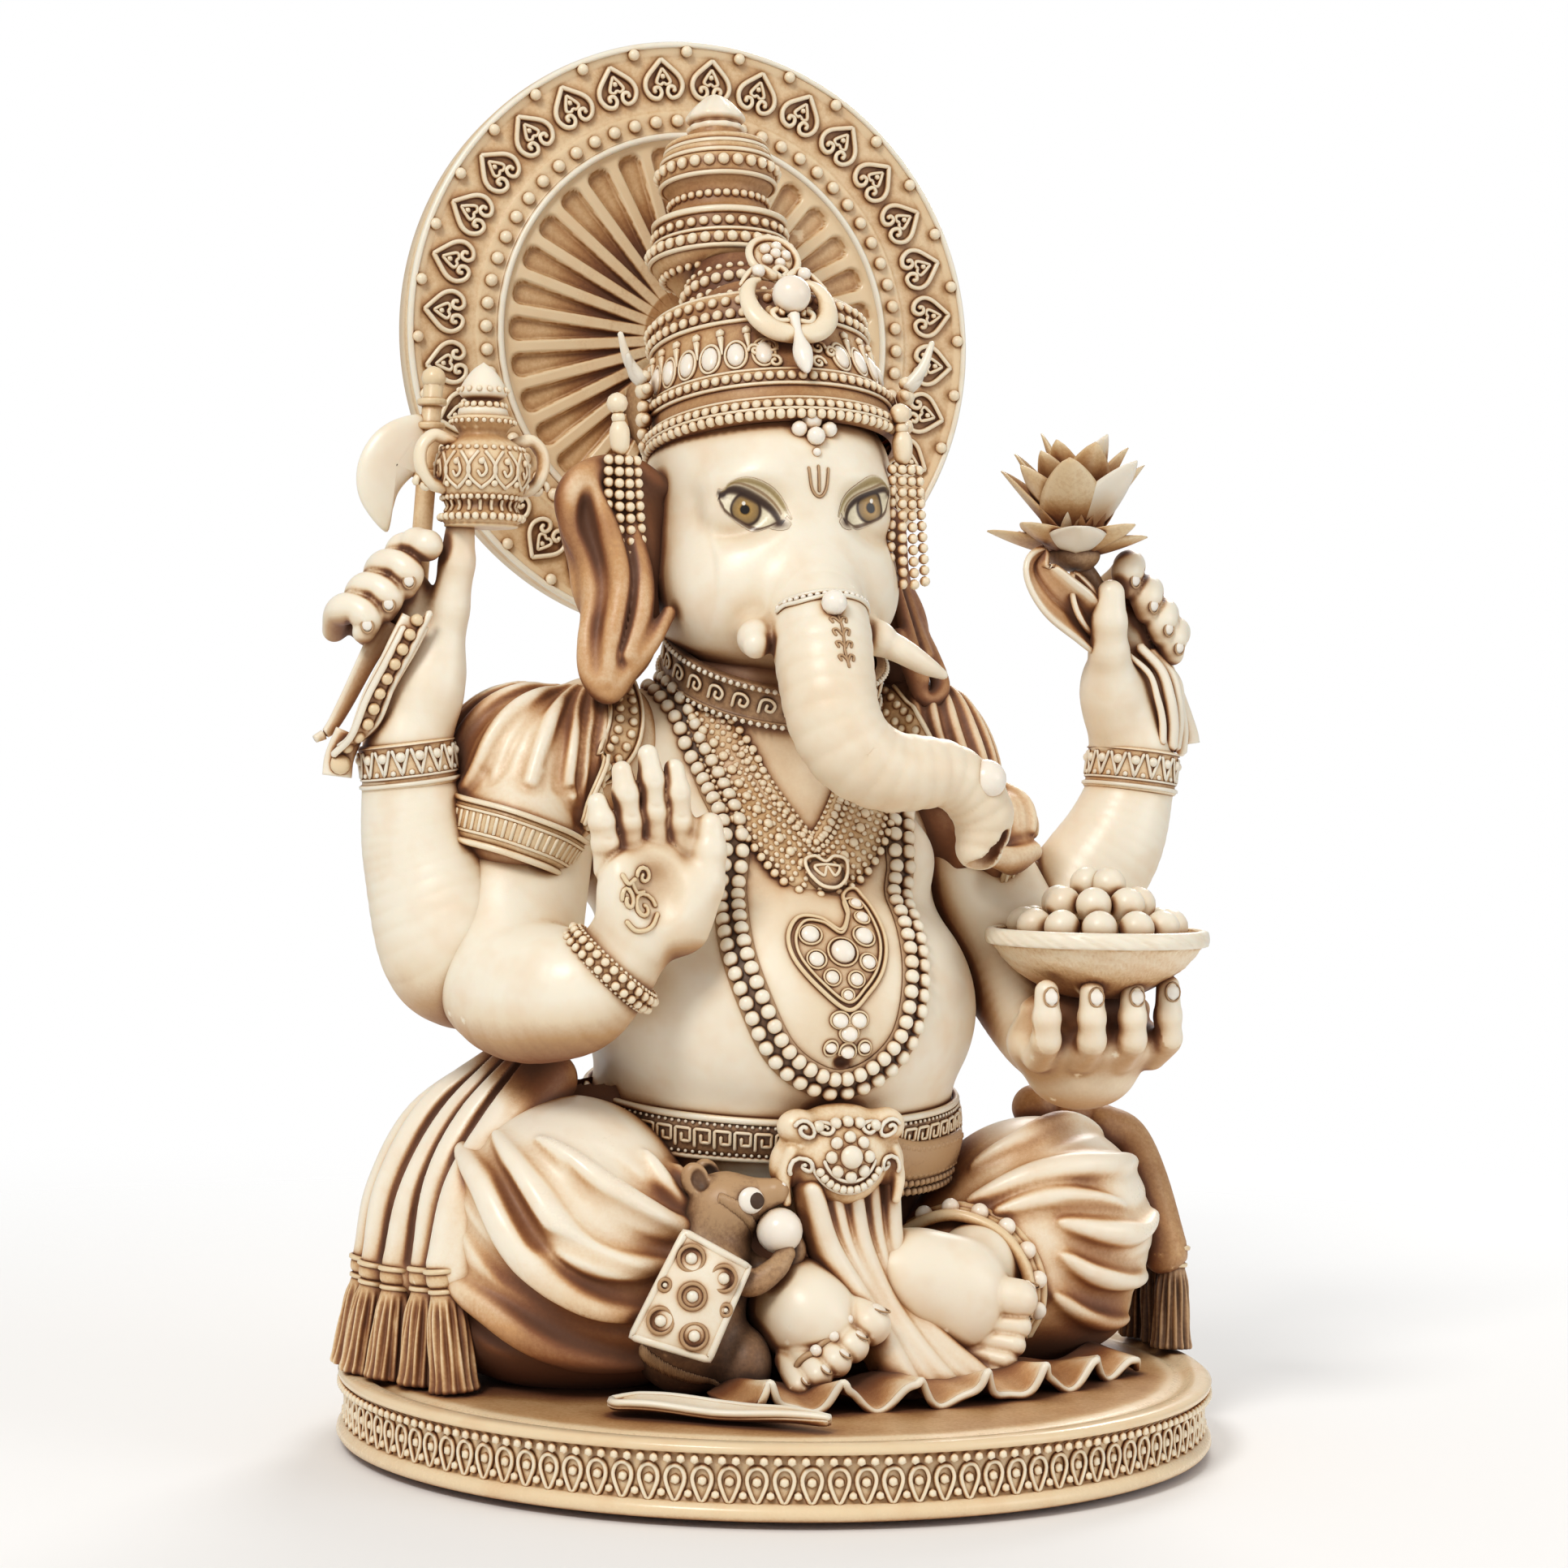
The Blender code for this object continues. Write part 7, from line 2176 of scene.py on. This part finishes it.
def mouse():
    """Seated mouse with its sweet, drawn fur and large eye."""
    clay = Clay((-52, -56, 12), (0, -10, 72), 0.4)
    clay.ball((-31, -30, 30), (12, 13.5, 14), 3)
    clay.ball((-27, -30, 43), (9.5, 10, 11), 5)
    clay.ball((-24.5, -32, 54), (7.4, 7.2, 7.0), 4)
    clay.limbs([[(-22, -34, 55, 5.4), (-15, -38, 57.6, 2.8)]], 3)
    clay.ball((-14.4, -38.8, 58.2), (1.5, 1.5, 1.3), 0.8)
    clay.limbs([curve([(-27, -38, 44, 3.6), (-22, -42, 40, 2.9), (-17, -43, 42.5, 2.4),
                       (-14, -41.5, 45.5, 2.0)])], 1.6)
    clay.limbs([curve([(-20, -32, 42, 3.0), (-14, -36, 41, 2.6), (-10.6, -38, 45, 2.2),
                       (-11.4, -38.5, 48.6, 1.7)])], 1.6)
    clay.ball((-22, -38, 23), (6, 8, 8), 2.5)
    clay.limbs([curve([(-24, -42, 17.5, 2.6), (-18, -46, 17.2, 2.4), (-14, -47, 17, 1.7)])], 1.5)
    for x, y in ((-30.6, -33), (-26, -27)):
        clay.ball((x, y, 59.8), (2.9, 1.6, 3.6), 1.2, (0, -14, -20))
        clay.ball((x + 0.5, y - 1.6, 60.0), (1.7, 1.2, 2.3), 0.6, (0, -14, -20), cut=True)
    clay.ball((-28, -32, 6), (40, 40, 10), 0.5, cut=True)
    # Darker towards the bottom, and lighter on the snout: a painted highlight.
    clay.finish("mouse_body", DARK, "dark_resin", ["mouse_body"], crease=0.4, under=0, reach=2.2,
                stain_and_shade=lambda x, y, z: 0.3 * clamp((44 - z) / 16) - 0.2 * (x > -19) * (z > 52))
    strands = []
    for i in range(420):
        turn, height = i * GOLDEN_ANGLE, 18 + 40 * ((i * GOLDEN_SHARE) % 1.0)
        start = np.array([-28 + 9 * math.sin(turn), -32 - 9 * math.cos(turn), height])
        hair = np.array([[0, 0, 1.4], [0.3 * math.sin(turn), 0, 0], [0.5 * math.sin(turn), 0, -1.5]])
        path = clay.drop(start + hair, 0.05)
        strands.append(wire(path, np.array([0.18, 0.38, 0.12]), clay.slope(path), 4))
    finish_parts("mouse_fur", strands, DARK, "dark_resin")
    eye, out = on_clay(clay, (-21.0, -40, 56.2), [(0, 0)], 0.2)
    # The second white ball, on the tip of the nose, is a painted highlight.
    white = [beads(eye, 2.7, 3, ([out], 0.45)), beads([(-14.2, -39.4, 58.8)], 1.0, 2)]
    finish_parts("mouse_eye_and_nose_highlight", white, PEARL, "ivory_resin")
    pupil = beads(eye + out * 0.6 + (0.8, 0, -0.1), 1.8, 3, ([out], 0.55))
    finish_piece("mouse_pupil", *pupil, DARK, "dark_resin", stain_and_shade=0.8)
    finish_piece("mouse_sweet", *beads([(-14.5, -39.2, 49.8)], 4.7, 3), PEARL, "ivory_resin",
                 ["mouse_sweet"])


def blanket():
    """Cloth over the back of the mouse, with rings of two sizes."""
    corners = np.array([[(-36, -43, 50.5), (-23.5, -45, 43.5)], [(-45.6, -40, 30), (-32, -46.6, 26)]], float)
    u, v = np.meshgrid(np.linspace(0, 1, 30), np.linspace(0, 1, 26), indexing="ij")
    flat = sum(corners[i, j] * ((u if i else 1 - u) * (v if j else 1 - v))[..., None] for i in (0, 1)
               for j in (0, 1))
    bulge = np.sin(math.pi * u) ** 0.7 + np.sin(math.pi * v) ** 0.7
    out = unit((-0.35, -0.9, 0.15))
    sheet = flat + out * (1.7 * bulge + 0.9 * np.sin(7 * v) * (u - 0.5))[..., None]
    finish_piece("mouse_blanket", *slab(sheet, 1.6), CLOTH, "cloth_resin", ["mouse_blanket"])

    def spot(a, b):
        return sheet[int(round(a * 29)), int(round(b * 25))]

    down, across = unit(spot(1, 0.5) - spot(0, 0.5)), unit(spot(0.5, 1) - spot(0.5, 0))
    across = unit(across - down * (across @ down))
    border = np.concatenate([sheet[0], sheet[1:, -1], sheet[-1, -2::-1], sheet[-2:0:-1, 0]])
    light = [wire(border + out * 0.4, 0.95, out, 8, closed=True)]
    dark = []
    for a, b in ((0.17, 0.24), (0.2, 0.76), (0.5, 0.5), (0.8, 0.22), (0.82, 0.74), (0.5, 0.06), (0.5, 0.94)):
        size = 2.5 if 0.1 < b < 0.9 else 1.1
        ring = circle(spot(a, b) + out * 0.95, down, across, size, 24)
        dark.append(wire(ring, 0.42, out, 8, closed=True))
        light.append(beads([spot(a, b) + out * 0.9], size * 0.5, 2, ([out], 0.7)))
    finish_parts("blanket_trim", light, IVORY, "carved_resin")
    finish_parts("blanket_rings", dark, DARK, "dark_resin")


# ---------------------------------------------------------------- build


add_camera()
add_stage()
plinth()
halo()
skull = head()
ears()
eyes(skull)
face_jewels(skull)
crown()
ear_tassels()
body = torso()
necklace(body)
collar(body)
medallion(body)
choker()
belt(body)
buckle()
sleeves()
right_front()
nails([left_front(), right_rear(), left_rear()])
bangles()
hand_scarves()
lotus()
axe()
pot()
sweets()
seat()
right_leg()
left_leg()
right_shawl()
left_shawl()
pleats()
hem()
leaf()
feet()
anklet()
mouse()
blanket()
